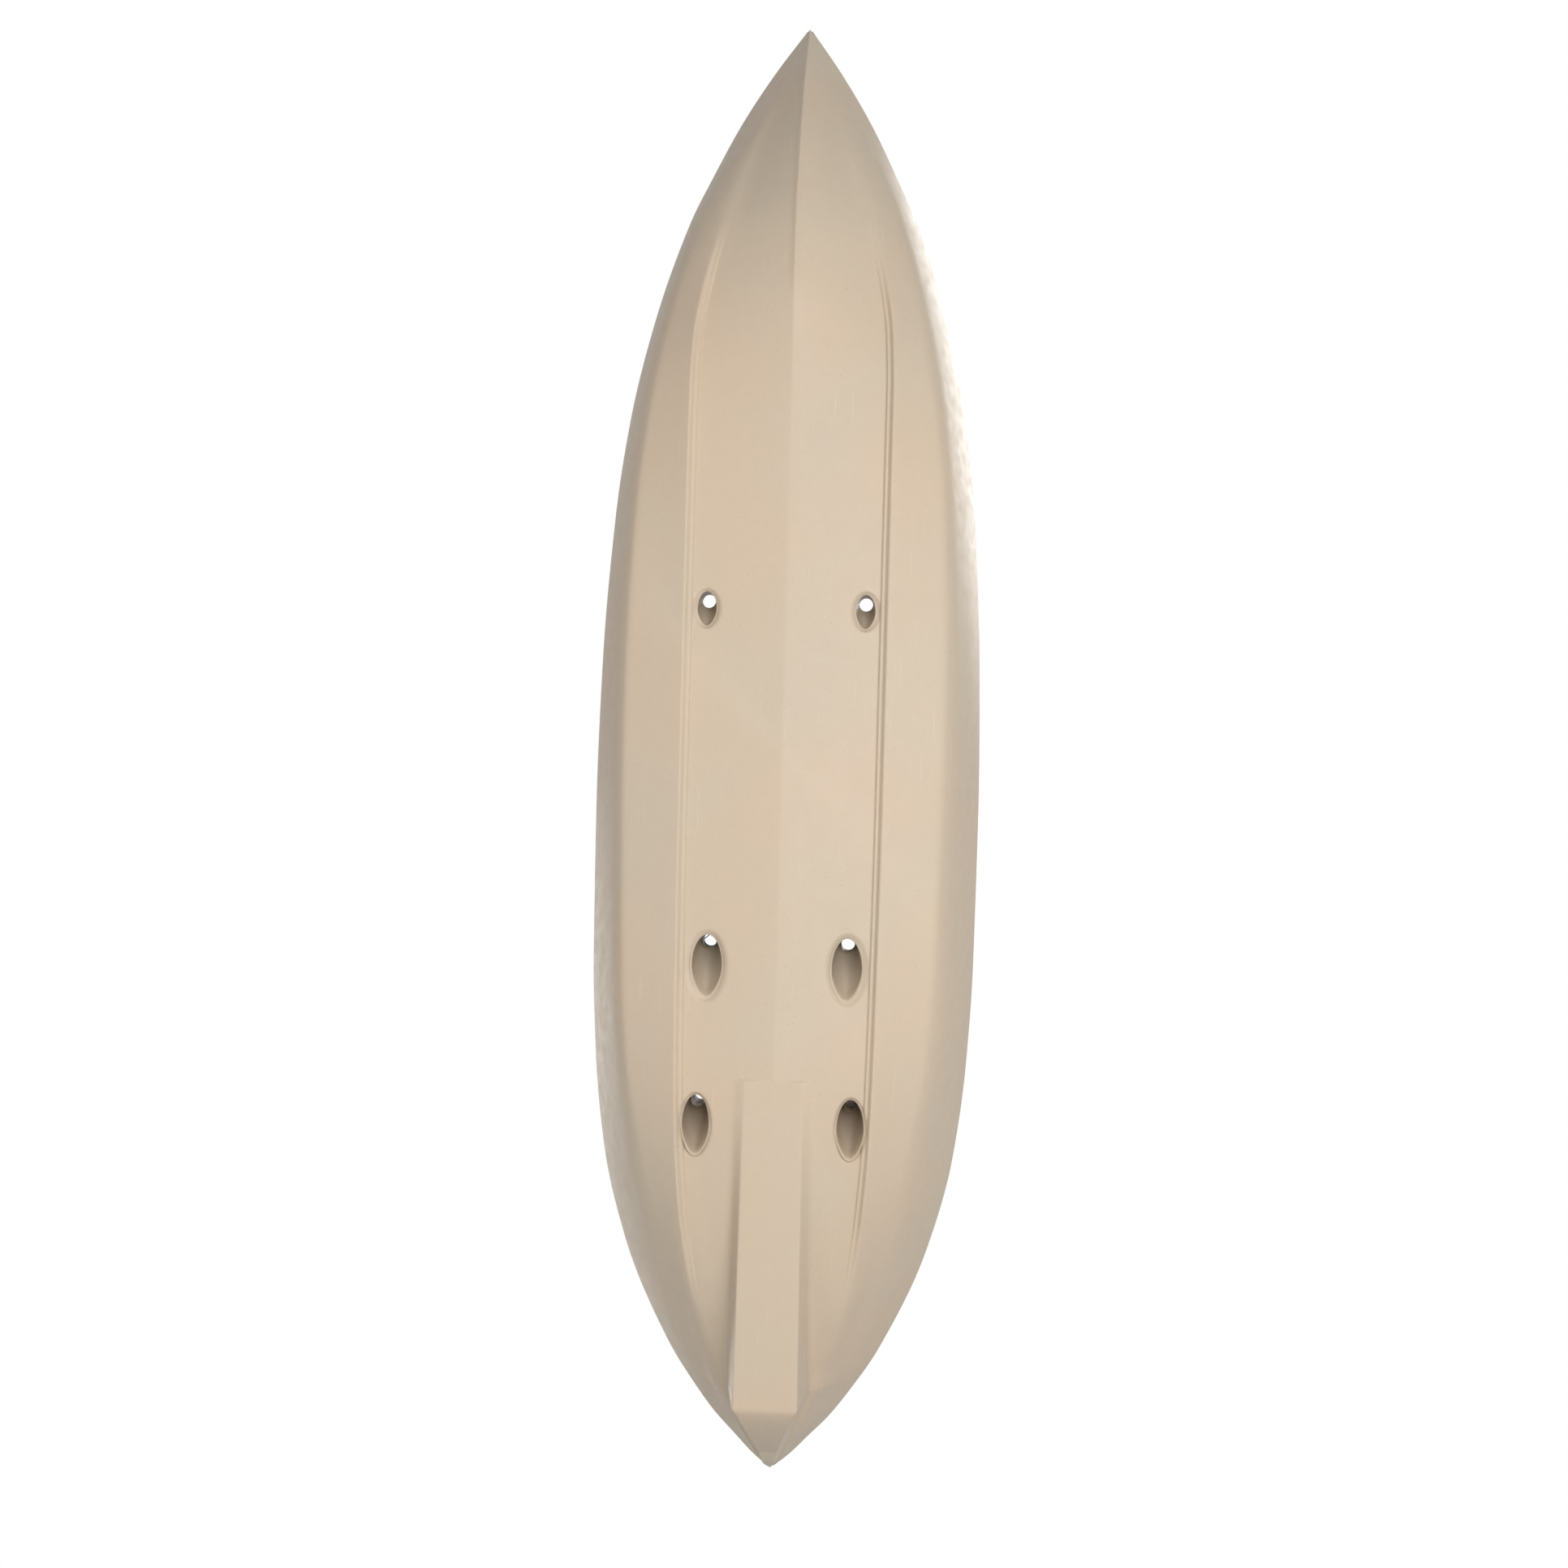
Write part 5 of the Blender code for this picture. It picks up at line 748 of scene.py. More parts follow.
def prism(name, outline, low, high):
    bm = bmesh.new()
    face = bm.faces.new([bm.verts.new((p[0], p[1], low)) for p in outline])
    raised = bmesh.ops.extrude_face_region(bm, geom=[face])["geom"]
    risen = [v for v in raised if isinstance(v, bmesh.types.BMVert)]
    bmesh.ops.translate(bm, vec=(0, 0, high - low), verts=risen)
    bmesh.ops.recalc_face_normals(bm, faces=bm.faces)
    return bpy.data.objects.new(name, mesh_from(bm, name, None))


def slanted(name, start, end, radius, sides=40):
    bm = bmesh.new()
    length = (end - start).length
    bmesh.ops.create_cone(bm, cap_ends=True, segments=sides, radius1=radius, radius2=radius, depth=length)
    turn = Matrix.Translation((start + end) / 2) @ tracked(end - start).to_4x4()
    bmesh.ops.transform(bm, matrix=turn, verts=bm.verts)
    return bpy.data.objects.new(name, mesh_from(bm, name, None))


def pad_height(x, y, reach_x, reach_y):
    around = [deck_height(x + i * reach_x, y + j * reach_y) for i in (-1, 0, 1) for j in (-1, 0, 1)]
    return max(around) + 0.003


def rectangle(x, y, half_x, half_y, radius=0.006):
    return rounded([
        (x - half_x, y - half_y, radius), (x + half_x, y - half_y, radius),
        (x + half_x, y + half_y, radius), (x - half_x, y + half_y, radius),
    ], 3)


def deck_block():
    """A solid whose top is the crowned deck."""
    bm = bmesh.new()
    rows = []
    ys = [BOW + 0.0001] + [BOW + 0.012 + i * (LENGTH - 0.024) / 190 for i in range(191)] + [STERN - 0.0001]
    for y in ys:
        edge = deck_edge(y)
        flat, foot = along(CROWN_FLAT, y) * edge, along(CROWN_FOOT, y) * edge
        high, seam = deck_edge_height(y), seam_height(y)
        corner = (half_beam(y) - 0.1 * (half_beam(y) - edge), seam + 0.62 * (high - seam))
        skin = [
            (0.0, deck_height(0.0, y)), (flat, deck_height(flat, y)), (foot, high), (edge, high), corner,
            (half_beam(y), seam),
        ]
        run = filled(eased(skin, [0.03, 0.03, 0.014, 0.012], 5), [3] + ([1] * 5 + [3]) * 4)
        run.append(Vector((half_beam(y), 0.048)))
        ring = [(-p.x, p.y) for p in reversed(run[1:])] + [(p.x, p.y) for p in run]
        rows.append([bm.verts.new((x, y, z)) for x, z in ring])
    bridged(bm, rows)
    bm.faces.new(reversed(rows[0]))
    bm.faces.new(rows[-1])
    bmesh.ops.recalc_face_normals(bm, faces=bm.faces)
    return added("deck_skin", mesh_from(bm, "deck_skin", None), SAND)


def combine(obj, name, others, operation):
    group = bpy.data.collections.new(name)
    bpy.context.scene.collection.children.link(group)
    for other in others:
        group.objects.link(other)
    modifier = obj.modifiers.new(name, "BOOLEAN")
    modifier.operation = operation
    modifier.operand_type = "COLLECTION"
    modifier.collection = group
    modifier.solver = "EXACT"
    modifier.use_self = True
    return group


def rod_axis(sign):
    aft, out = math.radians(20.0), math.radians(10.0)
    return Vector((sign * math.tan(out), math.tan(aft), 1.0)).normalized()


FLAT_LOW, WELL_TOP = 0.20, 0.7
HATCH_FLAT, HANDLE_FLAT, EYE_FLAT, ROD_FLAT = 0.032, 0.015, (0.012, 0.026), 0.047
RIB_SINK, RIB_RISE = 0.012, 0.0045
VOXEL, QUICK_VOXEL = 0.0042, 0.0052


def deck_flats():
    """The raised flats that the fittings stand on."""
    made = []
    rounds = [(y, radius + HATCH_FLAT) for name, y, radius in HATCHES] + [(ROD_MOUNT_Y, 0.039), (DRAIN_Y, 0.020)]
    for y, radius in rounds:
        made.append(prism("flat", oval(0, y, radius, radius), FLAT_LOW, pad_height(0, y, 0, radius) + 0.0004))
    spots = [(s * x, y, EYE_FLAT[::-1] if across else EYE_FLAT) for name, x, y, across in EYES for s in (-1, 1)]
    for name, x, y, heading in HANDLES:
        reach = BAIL_HALF + BRACKET_GAP + GAP + BRACKET_WIDTH + 0.005
        spots.append((x, y, (HANDLE_FLAT, reach) if heading % 180 == 0 else (reach, HANDLE_FLAT)))
    for x, y, reach in spots:
        made.append(prism("flat", rectangle(x, y, *reach), FLAT_LOW, pad_height(x, y, *reach) + 0.0003))
    for x in (-ROD_TUBE_X, ROD_TUBE_X):
        outline = oval(x, ROD_TUBE_Y, ROD_FLAT * ROD_TUBE_ROUND, ROD_FLAT)
        made.append(prism("flat", outline, FLAT_LOW, pad_height(x, ROD_TUBE_Y, ROD_FLAT, ROD_FLAT) + 0.0004))
    return made


def deck_holes(well):
    """The wells and every hole through the deck."""
    made = []
    for sign in (-1, 1):
        mouth, axis = Vector((sign * ROD_TUBE_X, ROD_TUBE_Y, ROD_TUBE_TOP)), rod_axis(sign)
        made.append(slanted("rod_hole", mouth - axis * 0.26, mouth + axis * 0.06, 0.0275))
    made += [well, prism("tank_well", tank_outline(), TANK_FLOOR, WELL_TOP)]
    rounds = [(0, CUP_PLACE, CUP_RADIUS, 48, deck_height(0, CUP_PLACE) - CUP_DEPTH, WELL_TOP)]
    rounds += [(0, y, radius + 0.004, 48, 0.02, WELL_TOP) for name, y, radius in HATCHES]
    rounds.append((0, DRAIN_Y, 0.0105, 24, 0.2, WELL_TOP))
    for sx, y, floor, funnel, dish in SCUPPERS:
        rounds += [(sign * sx, y, SCUPPER_RADIUS + 0.0012, 32, 0.0, floor + 0.05) for sign in (-1, 1)]
    for x, y, radius, count, low, high in rounds:
        made.append(prism("hole", oval(x, y, radius, radius, count), low, high))
    return made


def deck():
    """The deck's skin: its crown, wells, moulded flats and ribs, rounded as a mould leaves them."""
    obj = deck_block()
    well = prism("cockpit_well", cockpit_outline(), FOOTWELL_FLOOR, WELL_TOP)
    seat_step = prism("seat_step", [(-1, SEAT_FRONT), (1, SEAT_FRONT), (1, STERN), (-1, STERN)], 0.0, SEAT_FLOOR)
    bpy.context.scene.collection.objects.link(well)
    groups = [combine(well, "seat_steps", [seat_step], "DIFFERENCE")]
    baked(well)
    bpy.context.scene.collection.objects.unlink(well)
    groups += [combine(obj, "flats", deck_flats(), "UNION"), combine(obj, "wells", deck_holes(well), "DIFFERENCE")]
    baked(obj)
    for group in groups:
        for other in list(group.objects):
            bpy.data.objects.remove(other)
        bpy.data.collections.remove(group)
    ribs = [(x, 0.905, 0.009, 0.165, TANK_FLOOR) for x in (-0.085, 0.0, 0.085)]
    ribs += [(x, -0.640 + i * 0.052, 0.050, 0.007, FOOTWELL_FLOOR) for x in (-0.185, 0.185) for i in range(5)]
    bm = bmesh.new()
    bm.from_mesh(obj.data)
    for x, y, half_x, half_y, floor in ribs:
        outline = rectangle(x, y, half_x, half_y, min(half_x, half_y) * 0.95)
        made = prism("rib", outline, floor - RIB_SINK, floor + RIB_RISE)
        bm.from_mesh(made.data)
        bpy.data.objects.remove(made)
    bm.to_mesh(obj.data)
    bm.free()
    remesh = obj.modifiers.new("skin", "REMESH")
    remesh.mode = "VOXEL"
    remesh.voxel_size = VOXEL
    remesh.use_smooth_shade = True
    smooth = obj.modifiers.new("soft edges", "SMOOTH")
    smooth.factor = 0.5
    smooth.iterations = 6
    baked(obj)
    open_below(obj)
    obj.data.shade_smooth()
    coated(obj, SAND)
    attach(obj, "boat")
    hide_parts("deck_shell", "cockpit_tub", "tank_tub")


# Where the block under the deck's skin is taken away: below the floors, round the hatches and at the rod tubes
BELOW_FLOORS, EDGE_BAND, END_BAND, TIP_BEAM = 0.0625, 0.014, 0.03, 0.03
HATCH_ROOM, HATCH_SKIN = 0.016, 0.012
ROD_ROOM_X, ROD_ROOM_Y, ROD_ROOM_TOP = (0.21, 0.37), (0.46, 0.62), 0.235


def open_below(obj):
    """Takes away all of the remeshed block below the deck's own skin, and lays its edge on the seam."""
    bm = bmesh.new()
    bm.from_mesh(obj.data)
    known, low = {}, {}

    def seam_at(y):
        key = round(y, 4)
        if key not in known:
            known[key] = seam_height(key) + GAP / 2, half_beam(key)
        return known[key]

    for v in bm.verts:
        seam, beam = seam_at(v.co.y)
        outside = abs(v.co.x) > beam - EDGE_BAND or v.co.y < BOW + END_BAND or v.co.y > STERN - END_BAND
        low[v] = v.co.z < seam and outside
    hatches = [(y, radius + HATCH_ROOM, deck_height(0, y) - HATCH_SKIN) for name, y, radius in HATCHES]
    gone = []
    for face in bm.faces:
        c = face.calc_center_median()
        hidden = c.z < BELOW_FLOORS or all(low[v] for v in face.verts)
        hidden |= any(c.z < height and math.hypot(c.x, c.y - y) < radius for y, radius, height in hatches)
        in_rod_room = ROD_ROOM_X[0] < abs(c.x) < ROD_ROOM_X[1] and ROD_ROOM_Y[0] < c.y < ROD_ROOM_Y[1]
        hidden |= in_rod_room and c.z < ROD_ROOM_TOP
        if hidden:
            gone.append(face)
    bmesh.ops.delete(bm, geom=gone, context="FACES")
    for v in bm.verts:
        if low.get(v):
            seam, beam = seam_at(v.co.y)
            v.co.z = seam
            if beam > TIP_BEAM:
                v.co.x = math.copysign(beam, v.co.x)
    bm.to_mesh(obj.data)
    bm.free()


hull()
deck()


# Round fittings

UP = (0, 0, 1)


def turned(name, profile, material, body, at=(0, 0, 0), steps=72, stands_for=None, reach=0.0012, closed=False,
           scallop=None, turn=Matrix.Identity(4)):
    """A turned piece. Its profile of (radius, height) points runs round its outside, with its corners eased."""
    if reach and closed:
        profile = eased([profile[-1], *profile, profile[0]], [reach] * len(profile), 3)[1:-1]
    elif reach:
        profile = eased(profile, [reach] * (len(profile) - 2), 3)
    bm = bmesh.new()
    rows = []
    for angle in turns(steps):
        row = []
        for radius, height in profile:
            if scallop and radius > scallop[1]:
                radius -= scallop[2] * max(0.0, math.cos(angle * scallop[0])) ** 3
            row.append(bm.verts.new((radius * math.cos(angle), radius * math.sin(angle), height)))
        rows.append(row)
    bridged(bm, rows + rows[:1], closed)
    bmesh.ops.remove_doubles(bm, verts=bm.verts, dist=0.00001)
    bmesh.ops.dissolve_degenerate(bm, edges=bm.edges, dist=0.000005)
    bmesh.ops.recalc_face_normals(bm, faces=bm.faces)
    bmesh.ops.transform(bm, matrix=Matrix.Translation(at) @ turn, verts=bm.verts)
    piece(name, bm, material, body, stands_for, 60.0)


SCREW_PROFILE = ((1.0, 0.0), (1.0, 0.25), (0.86, 0.42), (0.55, 0.58), (0.30, 0.62), (0.24, 0.36), (0.0, 0.30))
SCREW_RECESS, SCREW_SIDES = (0.30, 0.24), 20


def screws(name, places, body, radius=0.0036):
    """Domed screws with a cross recess, each a place and the direction it faces."""
    bm = bmesh.new()
    for at, facing in places:
        rows = []
        for share, height in SCREW_PROFILE:
            row = []
            for i, a in enumerate(turns(SCREW_SIDES)):
                reach = radius * share
                if share in SCREW_RECESS:
                    reach *= 1.35 if i % 5 == 0 else 0.72
                row.append(bm.verts.new((reach * math.cos(a), reach * math.sin(a), radius * height)))
            rows.append(row)
        bridged(bm, rows)
        turn = Matrix.Translation(at) @ tracked(facing).to_4x4()
        bmesh.ops.transform(bm, matrix=turn, verts=[v for row in rows for v in row])
    bmesh.ops.remove_doubles(bm, verts=bm.verts, dist=0.00001)
    bmesh.ops.recalc_face_normals(bm, faces=bm.faces)
    piece(name, bm, STEEL, body)


def rounded_box(bm, corner, other, bevel, segments=3, matrix=None):
    """Adds a box between two corners, with bevelled edges."""
    low, high = (Vector([pick(pair) for pair in zip(corner, other)]) for pick in (min, max))
    made = bmesh.ops.create_cube(bm, size=1.0)["verts"]
    bmesh.ops.scale(bm, vec=high - low, verts=made)
    bmesh.ops.translate(bm, vec=(low + high) / 2, verts=made)
    edges = list({e for v in made for e in v.link_edges})
    out = bmesh.ops.bevel(bm, geom=edges, offset=bevel, segments=segments, profile=0.5, affect="EDGES")
    if matrix:
        verts = list({v for f in out["faces"] for v in f.verts} | {v for v in made if v.is_valid})
        bmesh.ops.transform(bm, matrix=matrix, verts=verts)


RING_DEPTH = 0.026


def hatch(name, y, radius):
    """A round hatch: ring with screws, seal, and a lid with a grip bar, ribs and notches round its rim."""
    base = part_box(f"{name}_ring")[0].z + RING_DEPTH
    collar, outer = radius + 0.003, radius + 0.027
    seat, floor, rim = radius + 0.015, base + 0.005, base + 0.009
    turned(f"{name}_ring_fine", [
        (seat, rim), (outer - 0.005, rim), (outer, floor - 0.002), (outer, base), (collar, base),
        (collar, base - RING_DEPTH), (radius, base - RING_DEPTH), (radius, floor), (seat, floor),
    ], BLACK, "boat", (0, y, 0), 96, f"{name}_ring", 0.0011, closed=True)
    low = floor + GAP
    turned(f"{name}_seal_fine", [
        (radius + 0.003, low + 0.003), (seat - 0.002, low + 0.003), (seat - 0.002, low), (radius + 0.003, low),
    ], RUBBER, f"{name}_lift", (0, y, 0), 96, f"{name}_seal", closed=True)
    under = low + 0.003 + GAP
    top = under + 0.005
    plug = radius - 0.001
    turned(f"{name}_lid_fine", [
        (0, top - 0.002), (radius * 0.55, top - 0.002), (radius * 0.62, top + 0.001), (radius * 0.80, top + 0.001),
        (radius * 0.82, top + 0.0001), (radius * 0.85, top + 0.0001), (radius * 0.87, top + 0.001),
        (seat - 0.006, top + 0.001), (seat - 0.001, top - 0.002), (seat - 0.001, under), (plug, under),
        (plug, base - 0.012), (plug - 0.003, base - 0.012), (plug - 0.003, under - 0.001), (0, under - 0.001),
    ], BLACK, f"{name}_lid", (0, y, 0), 144, f"{name}_lid", 0.001, scallop=(24, radius + 0.006, 0.0016))
    bm = bmesh.new()
    half = radius * 0.50
    rounded_box(bm, (-half, y - 0.006, top - 0.004), (half, y + 0.006, top + 0.012), 0.0028)
    for i in range(7):
        x = -half * 0.72 + i * half * 0.24
        for ridge in (y - 0.0058, y + 0.0058):
            corner, other = (x - 0.0012, ridge - 0.0008, top + 0.001), (x + 0.0012, ridge + 0.0008, top + 0.0105)
            rounded_box(bm, corner, other, 0.0006, 2)
    for a in turns(12, 0.5):
        if abs(math.sin(a)) > 0.35:
            turn = Matrix.Translation((0, y, 0)) @ Matrix.Rotation(a, 4, "Z")
            corner, other = (radius * 0.20, -0.0011, top - 0.003), (radius * 0.56, 0.0011, top + 0.0002)
            rounded_box(bm, corner, other, 0.0006, 2, turn)
    piece(f"{name}_grip", bm, BLACK, f"{name}_lid")
    middle = (seat + outer) / 2 - 0.0008
    around = turns(8 if radius > 0.07 else 6, 0.5)
    places = [((middle * math.cos(a), y + middle * math.sin(a), rim - 0.0006), UP) for a in around]
    screws(f"{name}_screws", places, "boat", 0.0030)


for row in HATCHES:
    hatch(*row)


def swept(bm, path, radius, sides=20):
    """Adds a round bar along a path."""
    points = [Vector(p) for p in path]
    up = Vector((0.13, 0.27, 0.95)).normalized()
    rows = []
    for i, p in enumerate(points):
        ahead = (points[min(i + 1, len(points) - 1)] - points[max(i - 1, 0)]).normalized()
        side = ahead.cross(up).normalized()
        rise = side.cross(ahead)
        ring = [p + side * radius * math.cos(a) + rise * radius * math.sin(a) for a in turns(sides)]
        rows.append([bm.verts.new(at) for at in ring])
    bridged(bm, rows)
    bm.faces.new(rows[0])
    bm.faces.new(rows[-1])
    bmesh.ops.recalc_face_normals(bm, faces=bm.faces)


def bend(points, radius, steps=8):
    """A path with its corners rounded."""
    path = [Vector(points[0])]
    for before, corner, after in zip(points, points[1:], points[2:]):
        corner = Vector(corner)
        back, on = (Vector(before) - corner).normalized(), (Vector(after) - corner).normalized()
        start, end = corner + back * radius, corner + on * radius
        for step in range(steps + 1):
            t = step / steps
            path.append(start * (1 - t) ** 2 + corner * 2 * t * (1 - t) + end * t**2)
    path.append(Vector(points[-1]))
    return path


BAIL_ARM, PIN_HEIGHT, BRACKET_HEIGHT = 0.036, 0.0125, 0.0225
GRIP_RIBS = 14


def handle(name, x, y, heading):
    """A carry handle: bail, ribbed grip and two brackets with screws."""
    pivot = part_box(f"{name}_bracket_a")[0].z + PIN_HEIGHT
    turn = Matrix.Translation((x, y, pivot)) @ Matrix.Rotation(math.radians(heading), 4, "Z")
    half, end = BAIL_HALF, BAIL_HALF + 0.022
    bail = [(0, end), (0, half), (BAIL_ARM, half), (BAIL_ARM, -half), (0, -half), (0, -end)]
    bm = bmesh.new()
    swept(bm, bend([(*p, 0) for p in bail], 0.010), 0.005)
    bmesh.ops.transform(bm, matrix=turn, verts=bm.verts)
    piece(f"{name}_bar", bm, BLACK, name, f"{name}_bail", 50.0)
    half -= 0.012
    profile = [(0.0052, -half), (0.0092, -half)]
    for i in range(GRIP_RIBS):
        share = i / (GRIP_RIBS - 1)
        z = -half + 0.003 + share * (2 * half - 0.006)
        swell = 1 - 0.13 * (2 * share - 1) ** 2
        profile += [(0.0113 * swell, z - 0.0016), (0.0113 * swell, z + 0.0010), (0.0102 * swell, z + 0.0022)]
    profile += [(0.0092, half), (0.0052, half)]
    across = turn @ Matrix.Translation((BAIL_ARM, 0, 0)) @ Matrix.Rotation(math.radians(-90), 4, "X")
    turned(f"{name}_grip", profile, RUBBER, name, steps=36, reach=None, turn=across)
    heads = []
    for which, sign in (("a", -1), ("b", 1)):
        inner = sign * (BAIL_HALF + BRACKET_GAP + GAP)
        outer = inner + sign * BRACKET_WIDTH
        bm = bmesh.new()
        lowered = turn @ Matrix.Translation((0, 0, -PIN_HEIGHT))
        rounded_box(bm, (-0.010, inner, 0), (0.010, outer, BRACKET_HEIGHT), 0.0022, 3, lowered)
        piece(f"{name}_bracket_{which}_fine", bm, BLACK, "boat", f"{name}_bracket_{which}")
        heads.append((turn @ Vector((0, (inner + outer) / 2, 0.0094)), UP))
    screws(f"{name}_screws", heads, "boat", 0.0034)


for row in HANDLES:
    handle(*row)


def eye_loop(name, x, y, across):
    """A pad eye: base with two screws, whose places it gives back, and a half-round loop."""
    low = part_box(name)[0].z
    foot = low + 0.003
    turn = Matrix.Translation((x, y, 0)) @ Matrix.Rotation(math.pi / 2 if across else 0.0, 4, "Z")
    bm = bmesh.new()
    rounded_box(bm, (-0.007, -0.021, low), (0.007, 0.021, foot), 0.0012, 2)
    arc = [math.pi * step / 14 for step in range(15)]
    path = [(0, -0.010 * math.cos(a), foot + 0.003 + 0.010 * math.sin(a)) for a in arc]
    swept(bm, [(0, -0.010, foot - 0.002), *path, (0, 0.010, foot - 0.002)], 0.0025, 14)
    bmesh.ops.transform(bm, matrix=turn, verts=bm.verts)
    piece(f"{name}_fine", bm, BLACK, "boat", name)
    return [(turn @ Vector((0, s * 0.0165, foot - 0.0003)), UP) for s in (-1, 1)]


heads = []
for eye_name, eye_x, eye_y, lies_across in EYES:
    for which, towards in SIDES:
        heads += eye_loop(f"{eye_name}_{which}", towards * eye_x, eye_y, lies_across)
screws("eye_screws", heads, "boat", 0.0028)


def rod_tube(side, sign):
    """A flush rod holder: oval flange with a slanted tube, and its cap with a pull tab."""
    x, y, top = sign * ROD_TUBE_X, ROD_TUBE_Y, ROD_TUBE_TOP
    axis, mouth = rod_axis(sign), Vector((x, y, top))
    spin = tracked(axis)
    around = [(math.cos(a), math.sin(a)) for a in turns(72)]

    def flat(reach, z):
        return [Vector((x + reach * ROD_TUBE_ROUND * c, y + reach * s, z)) for c, s in around]

    def leaning(radius, depth):
        return [mouth - axis * depth + spin @ Vector((radius * c, radius * s, 0)) for c, s in around]

    def skinned(rings):
        bridged(bm, [[bm.verts.new(p) for p in ring] for ring in rings])

    rings = [flat(0.042, top - 0.004), flat(0.042, top - 0.0012), flat(0.0414, top - 0.0004), flat(0.0404, top)]
    tube = [leaning(*row) for row in ((0.0225, 0.19), (0.0255, 0.19))]
    bores = []
    for radius, depth in ((0.0245, 0.0), (0.0232, 0.0006), (0.0225, 0.002), (0.0255, 0.006)):
        bores.append([p + axis * ((top - depth * 0.9 - p.z) / axis.z) for p in leaning(radius, depth)])
    start = bores[0][0] - mouth
    shift = round(math.atan2(start.y, start.x) / (2 * math.pi) * len(around)) % len(around)
    bm = bmesh.new()
    skinned(rings + [ring[-shift:] + ring[:-shift] for ring in bores[:3] + tube + bores[3:]])
    bmesh.ops.recalc_face_normals(bm, faces=bm.faces)
    piece(f"rod_tube_{side}_fine", bm, BLACK, "boat", f"rod_tube_{side}", 50.0)
    low = top + GAP
    high = low + 0.005
    bm = bmesh.new()
    skinned([flat(*row) for row in (
        (0.0, high - 0.0010), (0.014, high - 0.0010), (0.016, high), (0.031, high), (0.0365, high - 0.0006),
        (0.038, high - 0.0022), (0.038, low), (0.022, low),
    )])
    skinned([leaning(*row) for row in ((0.0220, -0.003), (0.0220, 0.013), (0.0205, 0.015), (0.0, 0.015))])
    rounded_box(bm, (x - 0.009, y - 0.0365, high - 0.003), (x + 0.009, y - 0.022, high + 0.0030), 0.0014, 3)
    bmesh.ops.remove_doubles(bm, verts=bm.verts, dist=0.00001)
    bmesh.ops.recalc_face_normals(bm, faces=bm.faces)
    piece(f"rod_cap_{side}_fine", bm, RUBBER, f"rod_cap_{side}", f"rod_cap_{side}", 45.0)


for which, towards in SIDES:
    rod_tube(which, towards)

# The bung in a rear scupper and the drain plug
bung = Vector((PLUGGED_X, PLUGGED_Y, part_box("scupper_plug")[0].z + 0.002))
turned("scupper_plug_fine", [
    (0, 0.024), (0.011, 0.024), (0.0125, 0.021), (0.0132, 0.0), (0.0105, 0.0), (0.0098, -0.0018), (0.0078, -0.0018),
    (0.0070, 0.0004), (0, 0.0004),
], BUNG, "scupper_plug", bung, 48, "scupper_plug", 0.0008)
bm = bmesh.new()
turn = Matrix.Translation(bung) @ Matrix.Rotation(math.radians(40), 4, "Z")
rounded_box(bm, (-0.0078, -0.0009, -0.0016), (0.0078, 0.0009, 0.0006), 0.0004, 2, turn)
piece("scupper_plug_bar", bm, BUNG, "scupper_plug", sharp=50.0)
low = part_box("drain_seal")[1].z + GAP
turned("drain_plug_fine", [
    (0, low + 0.005), (0.013, low + 0.005), (0.015, low + 0.003), (0.015, low), (0.010, low), (0.010, low - 0.014),
    (0.008, low - 0.016), (0, low - 0.016),
], BLACK, "drain_plug", (0, DRAIN_Y, 0), 72, "drain_plug", 0.0008, scallop=(18, 0.0125, 0.0008))
bm = bmesh.new()
rounded_box(bm, (-0.011, DRAIN_Y - 0.0025, low + 0.001), (0.011, DRAIN_Y + 0.0025, low + 0.012), 0.0014, 3)
piece("drain_wing", bm, BLACK, "drain_plug", sharp=50.0)


# The swivel rod holder

def slotted(bm, inner, outer, low, high):
    """Adds a tube along Z with a slot down its +X side."""
    slot, lip, run, count = 0.018, 0.0011, 0.008, 80
    rows = []
    for radius, z in (
        (inner + lip, low), (outer - lip, low), (outer, low + lip), (outer, low + run), (outer, high - run),
        (outer, high - lip), (outer - lip, high), (inner + lip, high), (inner, high - lip), (inner, high - run),
        (inner, low + run), (inner, low + lip),
    ):
        edge = math.asin(slot / 2 / radius)
        angles = [edge + (2 * math.pi - 2 * edge) * i / (count - 1) for i in range(count)]
        rows.append([bm.verts.new((radius * math.cos(a), radius * math.sin(a), z)) for a in angles])
    bridged(bm, rows + rows[:1], wrap=False)
    bm.faces.new([row[0] for row in rows])
    bm.faces.new([row[-1] for row in reversed(rows)])
    bmesh.ops.recalc_face_normals(bm, faces=bm.faces)


CRADLE_LENGTH, COLLAR_LENGTH, EAR_OUTSIDE = 0.220, 0.034, 0.015


